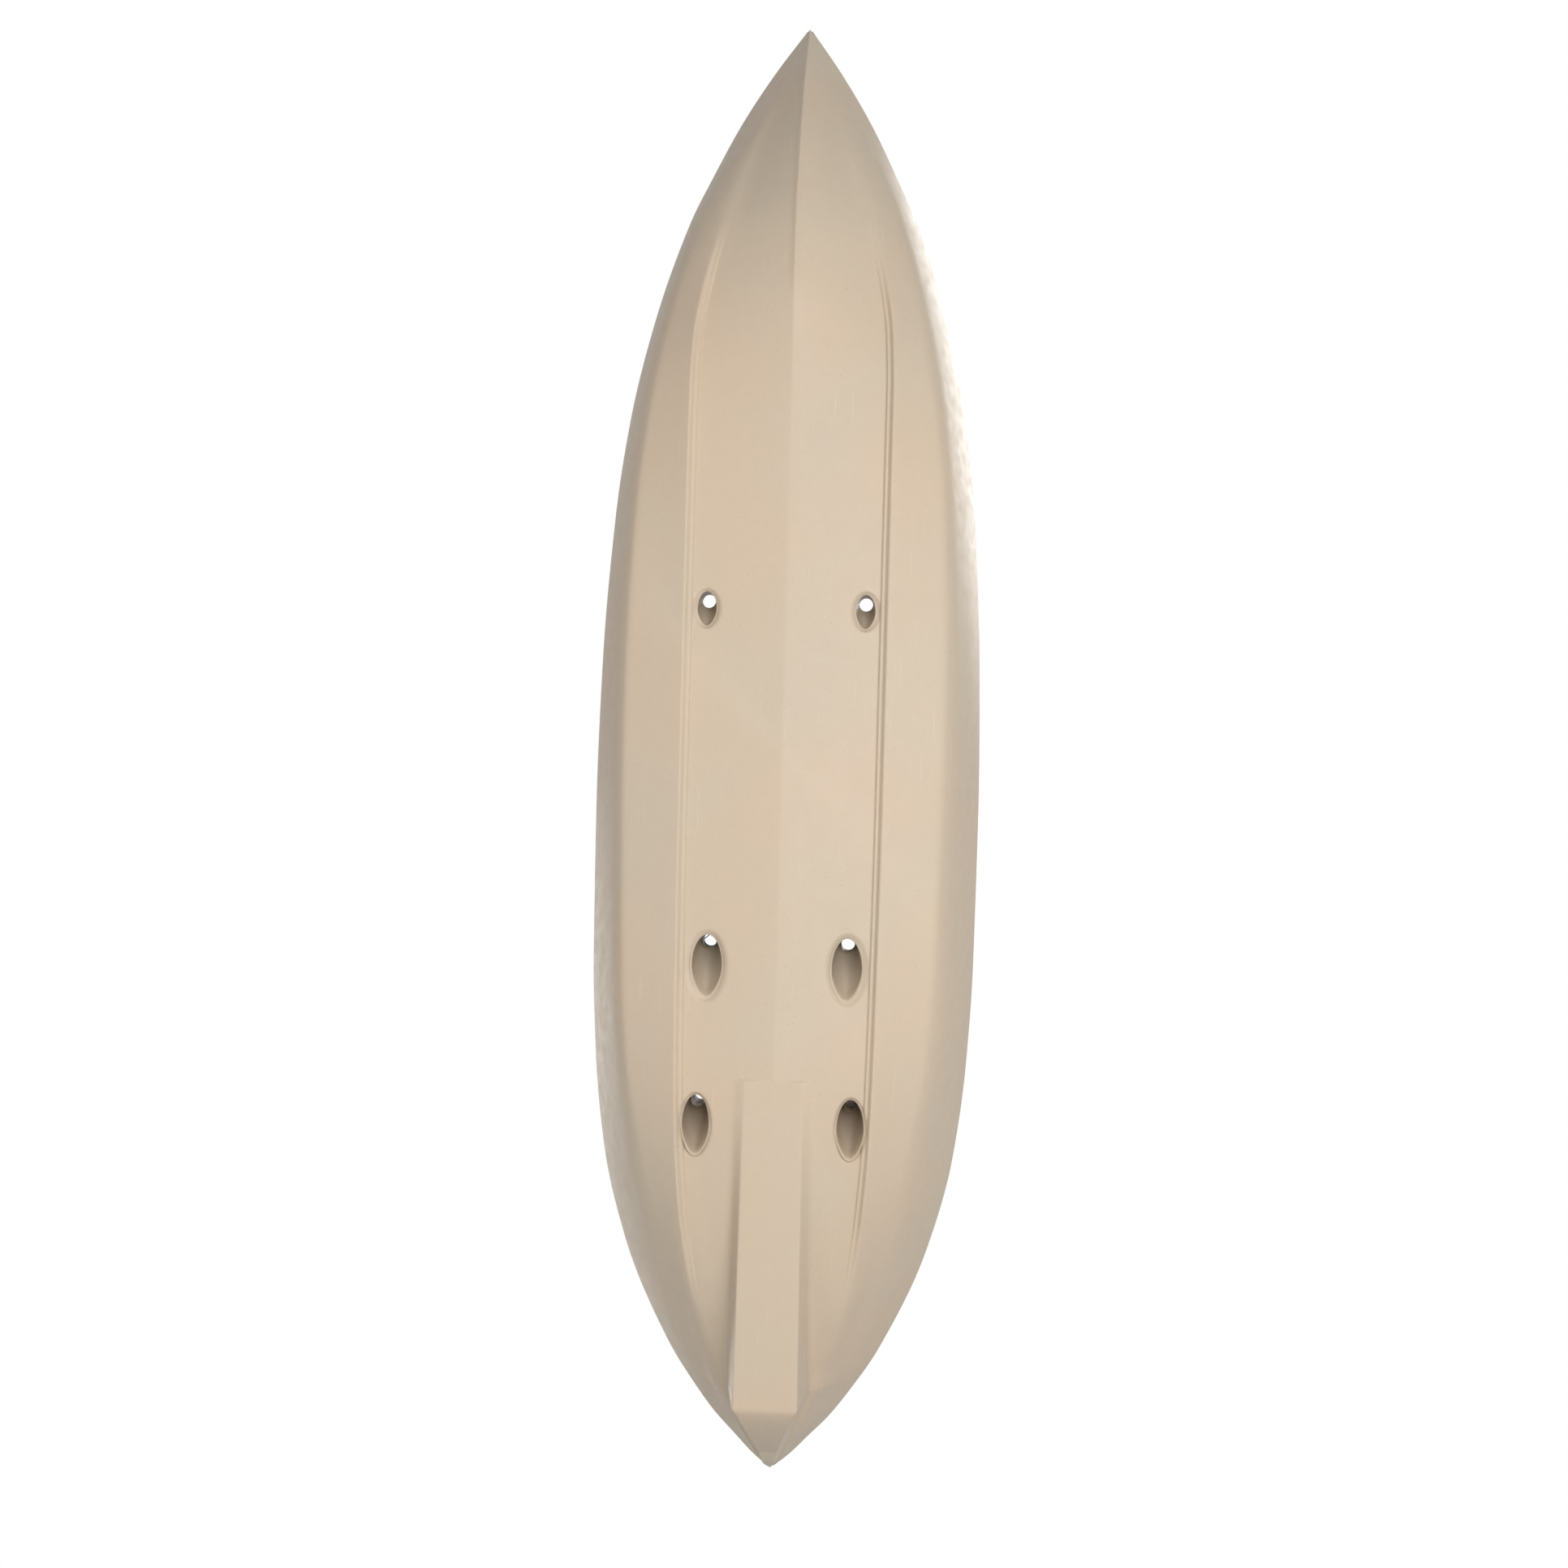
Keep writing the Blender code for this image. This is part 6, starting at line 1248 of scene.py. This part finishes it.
def rod_holder():
    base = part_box("rod_mount_base")[0].z
    socket = base + 0.034
    pivot = Vector((0, ROD_MOUNT_Y, socket + 0.030))
    turned("rod_mount_base_fine", [
        (0.0125, socket), (0.020, socket), (0.0205, base + 0.020), (0.022, base + 0.012), (0.028, base + 0.0078),
        (0.034, base + 0.006), (0.034, base), (0.0125, base),
    ], BLACK, "boat", (0, ROD_MOUNT_Y, 0), 96, "rod_mount_base", 0.0016, closed=True)
    screws("rod_mount_screws", [
        ((0.0285 * math.cos(a), ROD_MOUNT_Y + 0.0285 * math.sin(a), base + 0.0068), UP) for a in turns(4, 0.5)
    ], "boat", 0.0032)
    floor = socket + GAP
    bm = bmesh.new()
    for sign in (-1, 1):
        corner = (sign * 0.009, ROD_MOUNT_Y - 0.012, floor + 0.004)
        rounded_box(bm, corner, (sign * EAR_OUTSIDE, ROD_MOUNT_Y + 0.012, pivot.z + 0.010), 0.002, 3)
    piece("yoke_ears", bm, BLACK, "rod_yoke")
    turned("yoke_turret", [
        (0, floor + 0.008), (0.018, floor + 0.008), (0.020, floor + 0.005), (0.020, floor), (0.012, floor),
        (0.012, base + 0.001), (0, base + 0.001),
    ], BLACK, "rod_yoke", (0, ROD_MOUNT_Y, 0), 96, "rod_mount_yoke", scallop=(30, 0.0185, 0.0006))
    lean = math.radians(35.0)
    ahead = Vector((0, -math.cos(lean), math.sin(lean)))
    upward = Vector((0, math.sin(lean), math.cos(lean)))
    rear = pivot + upward * 0.044 - ahead * 0.066
    along_cradle = Matrix.Translation(rear) @ Matrix((upward, (-1, 0, 0), ahead)).transposed().to_4x4()
    bm = bmesh.new()
    slotted(bm, 0.0235, 0.027, 0.0, CRADLE_LENGTH)
    bmesh.ops.transform(bm, matrix=along_cradle, verts=bm.verts)
    lug_turn = Matrix.Translation(pivot) @ Matrix.Rotation(-lean, 4, "X")
    rounded_box(bm, (-0.0085, -0.011, -0.011), (0.0085, 0.011, 0.0195), 0.002, 3, lug_turn)
    rounded_box(bm, (-0.0025, -0.055, 0.0155), (0.0025, 0.150, 0.0185), 0.001, 2, lug_turn)
    piece("rod_cradle_fine", bm, BLACK, "rod_cradle", "rod_cradle")
    low = CRADLE_LENGTH - COLLAR_LENGTH - 0.010
    bm = bmesh.new()
    slotted(bm, 0.0275, 0.0315, low, low + COLLAR_LENGTH)
    for i in range(22):
        spin = Matrix.Rotation(math.radians(28 + i * 304 / 21), 4, "Z")
        rounded_box(bm, (0.0308, -0.0010, low + 0.006), (0.0323, 0.0010, low + 0.028), 0.0006, 2, spin)
    bmesh.ops.recalc_face_normals(bm, faces=bm.faces)
    bmesh.ops.transform(bm, matrix=along_cradle, verts=bm.verts)
    piece("cradle_collar_fine", bm, GREY, "cradle_collar", "cradle_collar")
    through, tip = -2 * EAR_OUTSIDE - 2 * GAP, -2 * EAR_OUTSIDE - 0.004
    turned("tilt_knob_fine", [
        (0, 0.0145), (0.007, 0.0145), (0.009, 0.016), (0.015, 0.016), (0.018, 0.0125), (0.018, 0.003), (0.015, 0.0),
        (0.004, 0.0), (0.004, through), (0.0065, through), (0.0065, tip), (0, tip),
    ], GREY, "tilt_knob", (EAR_OUTSIDE + GAP, ROD_MOUNT_Y, pivot.z), 120, "tilt_knob", scallop=(5, 0.010, 0.0042),
        turn=Matrix.Rotation(math.radians(90), 4, "Y"))


rod_holder()


# Foot braces, clips and seals keep their CAD shape with softened edges
FINISH = {
    "foot_rail": METAL, "foot_pedal": BLACK, "pedal_lever": GREY, "strap_clip": BLACK, "drain_seal": RUBBER,
    "foam_block": FOAM,
}
for node_name, obj in frame["nodes"].items():
    for key, material in FINISH.items():
        if key in node_name:
            coated(obj, material)
            for polygon in obj.data.polygons:
                polygon.material_index = 0
            if key != "foam_block":
                soften = obj.modifiers.new("soft edges", "BEVEL")
                soften.width = 0.0006
                soften.segments = 2
                soften.limit_method = "ANGLE"
                soften.angle_limit = math.radians(40)


def foot_brace_details(side, sign):
    """Tread ribs on the pedal's plate, and the rail's screws."""
    low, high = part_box(f"foot_pedal_{side}")
    rail_low, rail_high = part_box(f"foot_rail_{side}")
    wall, inner = (rail_high.x, low.x) if sign > 0 else (rail_low.x, high.x)
    bm = bmesh.new()
    for i in range(6):
        z = low.z + 0.012 + i * 0.0145
        corner, other = (inner + sign * 0.008, high.y - 0.0012, z), (inner + sign * 0.056, high.y + 0.0016, z + 0.006)
        rounded_box(bm, corner, other, 0.0012, 2)
    piece(f"pedal_tread_{side}", bm, RUBBER, f"foot_pedal_{side}")
    x, z = wall - sign * 0.0091, (rail_low.z + rail_high.z) / 2
    places = [((x, y, z), (-sign, 0, 0)) for y in (rail_low.y + 0.010, rail_high.y - 0.010)]
    screws(f"rail_screws_{side}", places, "boat")


for which, towards in SIDES:
    foot_brace_details(which, towards)


# The seat

def corner_draw(u, v):
    return 1 - 0.06 * abs(2 * v - 1) ** 6 * abs(u) ** 6


def drawn_in(u, v):
    return (1 - 0.035 * (1 - (2 * v - 1) ** 2) * abs(u) ** 3) * corner_draw(u, v)


def cushion_mesh(name, half_width, length, thickness, flat_below):
    """A closed cushion round z = 0, or over it, crowned and with rounded corners."""
    across, lengthwise = 44, 36
    bm = bmesh.new()
    tops, bottoms = [], []
    for j in range(lengthwise + 1):
        v = j / lengthwise
        top_row, bottom_row = [], []
        for i in range(across + 1):
            u = 2 * i / across - 1
            x, y = u * half_width * drawn_in(u, v), (v - 0.5) * length * corner_draw(u, v)
            height = thickness * (0.36 + 0.50 * (1 - max(abs(u), abs(2 * v - 1)) ** 6))
            top_row.append(bm.verts.new((x, y, height if flat_below else height / 2)))
            bottom_row.append(bm.verts.new((x, y, 0.0 if flat_below else -height / 2)))
        tops.append(top_row)
        bottoms.append(bottom_row)
    bridged(bm, tops, wrap=False)
    bridged(bm, bottoms[::-1], wrap=False)
    rim = [(0, i) for i in range(across)] + [(j, across) for j in range(lengthwise)]
    rim += [(lengthwise, across - i) for i in range(across)] + [(lengthwise - j, 0) for j in range(lengthwise)]
    bridged(bm, [[rows[j][i] for j, i in rim] for rows in (bottoms, tops)])
    bmesh.ops.recalc_face_normals(bm, faces=bm.faces)
    return mesh_from(bm, name, None)


def coords(obj):
    points = np.empty(len(obj.data.vertices) * 3, np.float32)
    obj.data.vertices.foreach_get("co", points)
    return points.reshape(-1, 3)


def set_coords(obj, points):
    obj.data.vertices.foreach_set("co", points.astype(np.float32).ravel())


CLOTH_FRAMES, SWELL = 20, 0.007


def plump(obj):
    """Swells a cushion as cloth under pressure, and caps how far each point moves."""
    remesh = obj.modifiers.new("even", "REMESH")
    remesh.mode = "VOXEL"
    remesh.voxel_size = 0.005
    baked(obj)
    rest = coords(obj)
    cloth = obj.modifiers.new("cloth", "CLOTH")
    cloth.settings.use_pressure = True
    cloth.settings.uniform_pressure_force = 4.0
    cloth.settings.effector_weights.gravity = 0.0
    cloth.settings.tension_stiffness = 18.0
    cloth.settings.compression_stiffness = 18.0
    cloth.settings.bending_stiffness = 1.2
    cloth.point_cache.frame_start = 1
    cloth.point_cache.frame_end = CLOTH_FRAMES
    scene = bpy.context.scene
    for number in range(1, CLOTH_FRAMES + 1):
        scene.frame_set(number)
    baked(obj)
    scene.frame_set(1)
    now = coords(obj)
    if now.shape == rest.shape:
        move = now - rest
        size = np.linalg.norm(move, axis=1)
        set_coords(obj, rest + move * (np.minimum(size, SWELL) / np.maximum(size, 1e-9))[:, None])


def subdivided(obj):
    divide = obj.modifiers.new("fine", "SUBSURF")
    divide.levels = divide.render_levels = 1
    baked(obj)


SEWN_EDGE, SEAM_WIDTH, BORDER_WIDTH, SEAM_DEPTH, PUCKER = 0.80, 0.0042, 0.0040, 0.0062, 0.0011


def seat_cushion(name, half_width, length, thickness, flat_below, channels, place, body, node_name):
    """A padded piece: swelled, then sewn across in channels and creased round its edge, with piping."""
    obj = added(name, cushion_mesh(name, half_width, length, thickness, flat_below), FABRIC)
    plump(obj)
    subdivided(obj)
    points = coords(obj).astype(float)
    v = points[:, 1] / length + 0.5
    wide, long = np.abs(points[:, 0] / half_width), np.abs(2 * v - 1)
    inside = np.clip((1 - np.maximum(wide, long)) / 0.16, 0, 1)
    seam = np.round(v * channels)
    sewn = np.exp(-((v * channels - seam) / channels * length / SEAM_WIDTH) ** 2)
    sewn *= ((seam > 0) & (seam < channels)) * inside
    sides = np.exp(-((wide - SEWN_EDGE) * half_width / BORDER_WIDTH) ** 2) * (long < SEWN_EDGE)
    ends = np.exp(-((long - SEWN_EDGE) * length / 2 / BORDER_WIDTH) ** 2) * (wide < SEWN_EDGE)
    dent = np.maximum(sewn * (wide < SEWN_EDGE), np.maximum(sides, ends))
    upper = points[:, 2] > (thickness * 0.258 if flat_below else 0.0)
    puckers = np.array([noise.noise(Vector((p[0] * 55, p[1] * 55, 3.0))) for p in points]) * PUCKER
    lower = 0.0 if flat_below else dent * SEAM_DEPTH * 0.5 - puckers
    points[:, 2] += np.where(upper, puckers * (1 - dent) - dent * SEAM_DEPTH, lower)
    if flat_below:
        points[:, 2] = np.maximum(points[:, 2], 0.0)
    top = thickness if flat_below else thickness / 2
    points[:, 2] = np.minimum(points[:, 2], top * 1.02)
    set_coords(obj, points)
    obj.data.shade_smooth()
    obj.data.transform(place)
    obj.data.update()
    coated(obj, FABRIC)
    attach(obj, body)
    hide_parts(node_name)
    piping(name, half_width, length, thickness * 0.20 if flat_below else 0.0, place, body)


def piping(name, half_width, length, height, place, body):
    """The piping round a cushion's edge."""
    out, radius, power = 0.0015, 0.0026, 8
    edge = []
    for a in turns(160):
        u, v = math.cos(a), math.sin(a)
        reach = 1 / (abs(u) ** power + abs(v) ** power) ** (1 / power)
        u, v = u * reach, v * reach
        share = (v + 1) / 2
        x = u * (half_width * drawn_in(u, share) + out)
        edge.append(Vector((x, v * (length / 2 + out) * corner_draw(u, share), height)))
    rows = []
    bm = bmesh.new()
    for i, p in enumerate(edge):
        ahead = (edge[(i + 1) % len(edge)] - edge[i - 1]).normalized()
        side = ahead.cross(Vector(UP)).normalized() * radius
        rows.append([bm.verts.new(p + side * math.cos(a) + Vector(UP) * radius * math.sin(a)) for a in turns(10)])
    bridged(bm, rows + rows[:1])
    bmesh.ops.recalc_face_normals(bm, faces=bm.faces)
    bmesh.ops.transform(bm, matrix=place, verts=bm.verts)
    piece(f"{name}_piping", bm, TRIM, body, sharp=None)


CUSHION_LENGTH, CUSHION_THICKNESS, HEM_HALF, HEM_HEIGHT = 0.298, 0.034, 0.150, 0.046
seat_floor = SEAT_FLOOR + GAP
hem_rear = 0.300 - 0.0015
seat_cushion("seat_pad_soft", 0.184, CUSHION_LENGTH, CUSHION_THICKNESS, True, 4,
             Matrix.Translation((0, hem_rear - 0.150, seat_floor)), "boat", "seat_pad")
edge_radius = CUSHION_THICKNESS * 0.40 / 2
hinge = Vector((0, 0.300, seat_floor + HEM_HEIGHT + GAP + edge_radius))
back_lean = math.radians(8.0)
along_back = Vector((0, math.sin(back_lean), math.cos(back_lean)))
back_face = Vector((0, -math.cos(back_lean), math.sin(back_lean)))
back_turn = Matrix(((1, 0, 0), along_back, back_face)).transposed().to_4x4()
seat_cushion("seat_back_soft", 0.199, CUSHION_LENGTH, CUSHION_THICKNESS, False, 3,
             Matrix.Translation(hinge) @ back_turn @ Matrix.Translation((0, 0.150, 0)), "seat_back", "seat_back")

# The upright hem that joins the pad to the back rest, with a rolled top edge
bm = bmesh.new()
corner = (-HEM_HALF, hem_rear - 0.0005, seat_floor + 0.001)
rounded_box(bm, corner, (HEM_HALF, hem_rear + 0.003, seat_floor + HEM_HEIGHT), 0.0012, 2)
piece("seat_hem", bm, FABRIC, "boat", sharp=50.0)
bm = bmesh.new()
swept(bm, [(-HEM_HALF + HEM_HALF * i / 15, hinge.y, hinge.z) for i in range(31)], edge_radius * 0.92, 24)
piece("seat_back_roll", bm, FABRIC, "seat_back", sharp=50.0)


STRAP_STEP = 0.014


def strap(node_name):
    """A webbing strap: the CAD's run, divided finely."""
    bm = bmesh.new()
    bm.from_mesh(frame["nodes"][node_name].data)
    bmesh.ops.remove_doubles(bm, verts=bm.verts, dist=0.00002)
    bmesh.ops.dissolve_limit(bm, angle_limit=math.radians(1.0), verts=bm.verts, edges=bm.edges)
    for count in range(5):
        long = [e for e in bm.edges if e.calc_length() > STRAP_STEP]
        if not long:
            break
        bmesh.ops.subdivide_edges(bm, edges=long, cuts=1, use_grid_fill=True)
    bmesh.ops.triangulate(bm, faces=[f for f in bm.faces if len(f.verts) > 4])
    obj = added(f"{node_name}_woven", mesh_from(bm, f"{node_name}_woven", 40.0), WEBBING)
    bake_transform(obj)
    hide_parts(node_name)


# Each pair of straps runs from the boat to the back rest
STRAPS = (
    ("front", (0.310, 0.10, 0.27), (0.205, 0.315, 0.335)),
    ("rear", (0.262, 0.470, 0.285), (0.08, 0.350, 0.340)),
)
for pair, on_boat, on_back in STRAPS:
    for which, towards in SIDES:
        strap(f"strap_{pair}_{which}")

# Camera: below the boat and a little to its port side, with the bow at the top of the picture
FOCAL, SIZE, ROLL = 2505.3, 1932, math.radians(1.60)
CENTRE, SENSOR = (1101.42, 925.64), 36.0
camera = bpy.data.objects.new("camera", bpy.data.cameras.new("camera"))
bpy.context.scene.collection.objects.link(camera)
bpy.context.scene.camera = camera
camera.data.sensor_width = SENSOR
camera.data.lens = FOCAL / SIZE * SENSOR
camera.data.clip_start, camera.data.clip_end = 0.05, 200.0
right = Vector((math.cos(ROLL), -math.sin(ROLL), 0))
down = Vector((math.sin(ROLL), math.cos(ROLL), 0))
aim = (Vector((0, 0, FOCAL)) + right * (SIZE / 2 - CENTRE[0]) + down * (SIZE / 2 - CENTRE[1])).normalized()
right = (right - aim * right.dot(aim)).normalized()
camera.matrix_world = Matrix((right, right.cross(aim), -aim)).transposed().to_4x4()
camera.location = (0.22, 0.0, -4.0)

# World: white behind the object, and below the floor a soft light that is stronger from the port side
WHITE = (1.0, 1.0, 1.0, 1.0)
world = bpy.data.worlds.new("studio")
bpy.context.scene.world = world
world.use_nodes = True
tree = world.node_tree
tree.nodes.clear()
rays = tree.nodes.new("ShaderNodeLightPath").outputs
generated = tree.nodes.new("ShaderNodeTexCoord").outputs["Generated"]
split = new_node(tree, "ShaderNodeSeparateXYZ", {0: generated}).outputs
below = spread(tree, split["X"], 0.16, 0.42, -1.0, 1.0)
above = mixed_values(tree, rays["Is Glossy Ray"], 0.48, 0.62)
level = mixed_values(tree, spread(tree, split["Z"], 0.0, 1.0, -0.04, 0.04), below, above)
seen = math_node(tree, "MAXIMUM", rays["Is Camera Ray"], rays["Is Transmission Ray"])
inputs = {"Color": WHITE, "Strength": mixed_values(tree, seen, level, 1.0)}
backdrop = new_node(tree, "ShaderNodeBackground", inputs).outputs[0]
new_node(tree, "ShaderNodeOutputWorld", {"Surface": backdrop})


def lamp(name, at, target, size, power):
    data = bpy.data.lights.new(name, "AREA")
    data.shape = "RECTANGLE"
    data.size, data.size_y = size
    data.energy = power
    data.color = (1.0, 0.985, 0.965)
    obj = bpy.data.objects.new(name, data)
    bpy.context.scene.collection.objects.link(obj)
    obj.location = at
    obj.rotation_euler = (Vector(target) - Vector(at)).to_track_quat("-Z", "Y").to_euler()
    obj.visible_camera = False


lamp("underside_key", (1.45, -0.2, -3.9), (0.0, 0.0, 0.1), (3.2, 3.2), 142.0)
lamp("underside_fill", (-2.8, 0.9, -2.6), (0.0, 0.3, 0.1), (3.0, 2.0), 31.0)
lamp("deck_key", (1.7, -1.6, 4.6), (0.0, 0.0, 0.2), (2.6, 2.6), 84.0)
lamp("deck_fill", (-2.4, 1.9, 3.9), (0.0, 0.0, 0.2), (3.0, 2.4), 30.0)

# Floor: seen from above only, so the camera below sees the underside
FLOOR, HALF_FLOOR = -0.001, 40
ground, tree, shader, at = nodes_of("floor")
away = new_node(tree, "ShaderNodeVectorMath", {0: at}, operation="LENGTH").outputs["Value"]
linked(tree, shader, {
    "Base Color": (0.80, 0.80, 0.79, 1.0), "Roughness": 0.9, "Specular IOR Level": 0.1,
    "Emission Color": WHITE, "Emission Strength": spread(tree, away, 0.40, 0.95, 2.4, 9.0),
})
rays = tree.nodes.new("ShaderNodeLightPath").outputs
hidden = tree.nodes.new("ShaderNodeNewGeometry").outputs["Backfacing"]
for ray in ("Is Shadow Ray", "Is Diffuse Ray"):
    hidden = math_node(tree, "MAXIMUM", hidden, rays[ray])
clear = tree.nodes.new("ShaderNodeBsdfTransparent").outputs[0]
skin = new_node(tree, "ShaderNodeMixShader", {0: hidden, 1: shader.outputs[0], 2: clear}).outputs[0]
tree.links.new(skin, tree.nodes["Material Output"].inputs["Surface"])
bm = bmesh.new()
corners = [(-HALF_FLOOR, -HALF_FLOOR), (HALF_FLOOR, -HALF_FLOOR), (HALF_FLOOR, HALF_FLOOR), (-HALF_FLOOR, HALF_FLOOR)]
bm.faces.new([bm.verts.new((*corner, FLOOR)) for corner in corners])
added("floor", mesh_from(bm, "floor", None), ground)

bpy.context.scene.view_settings.view_transform = "Standard"
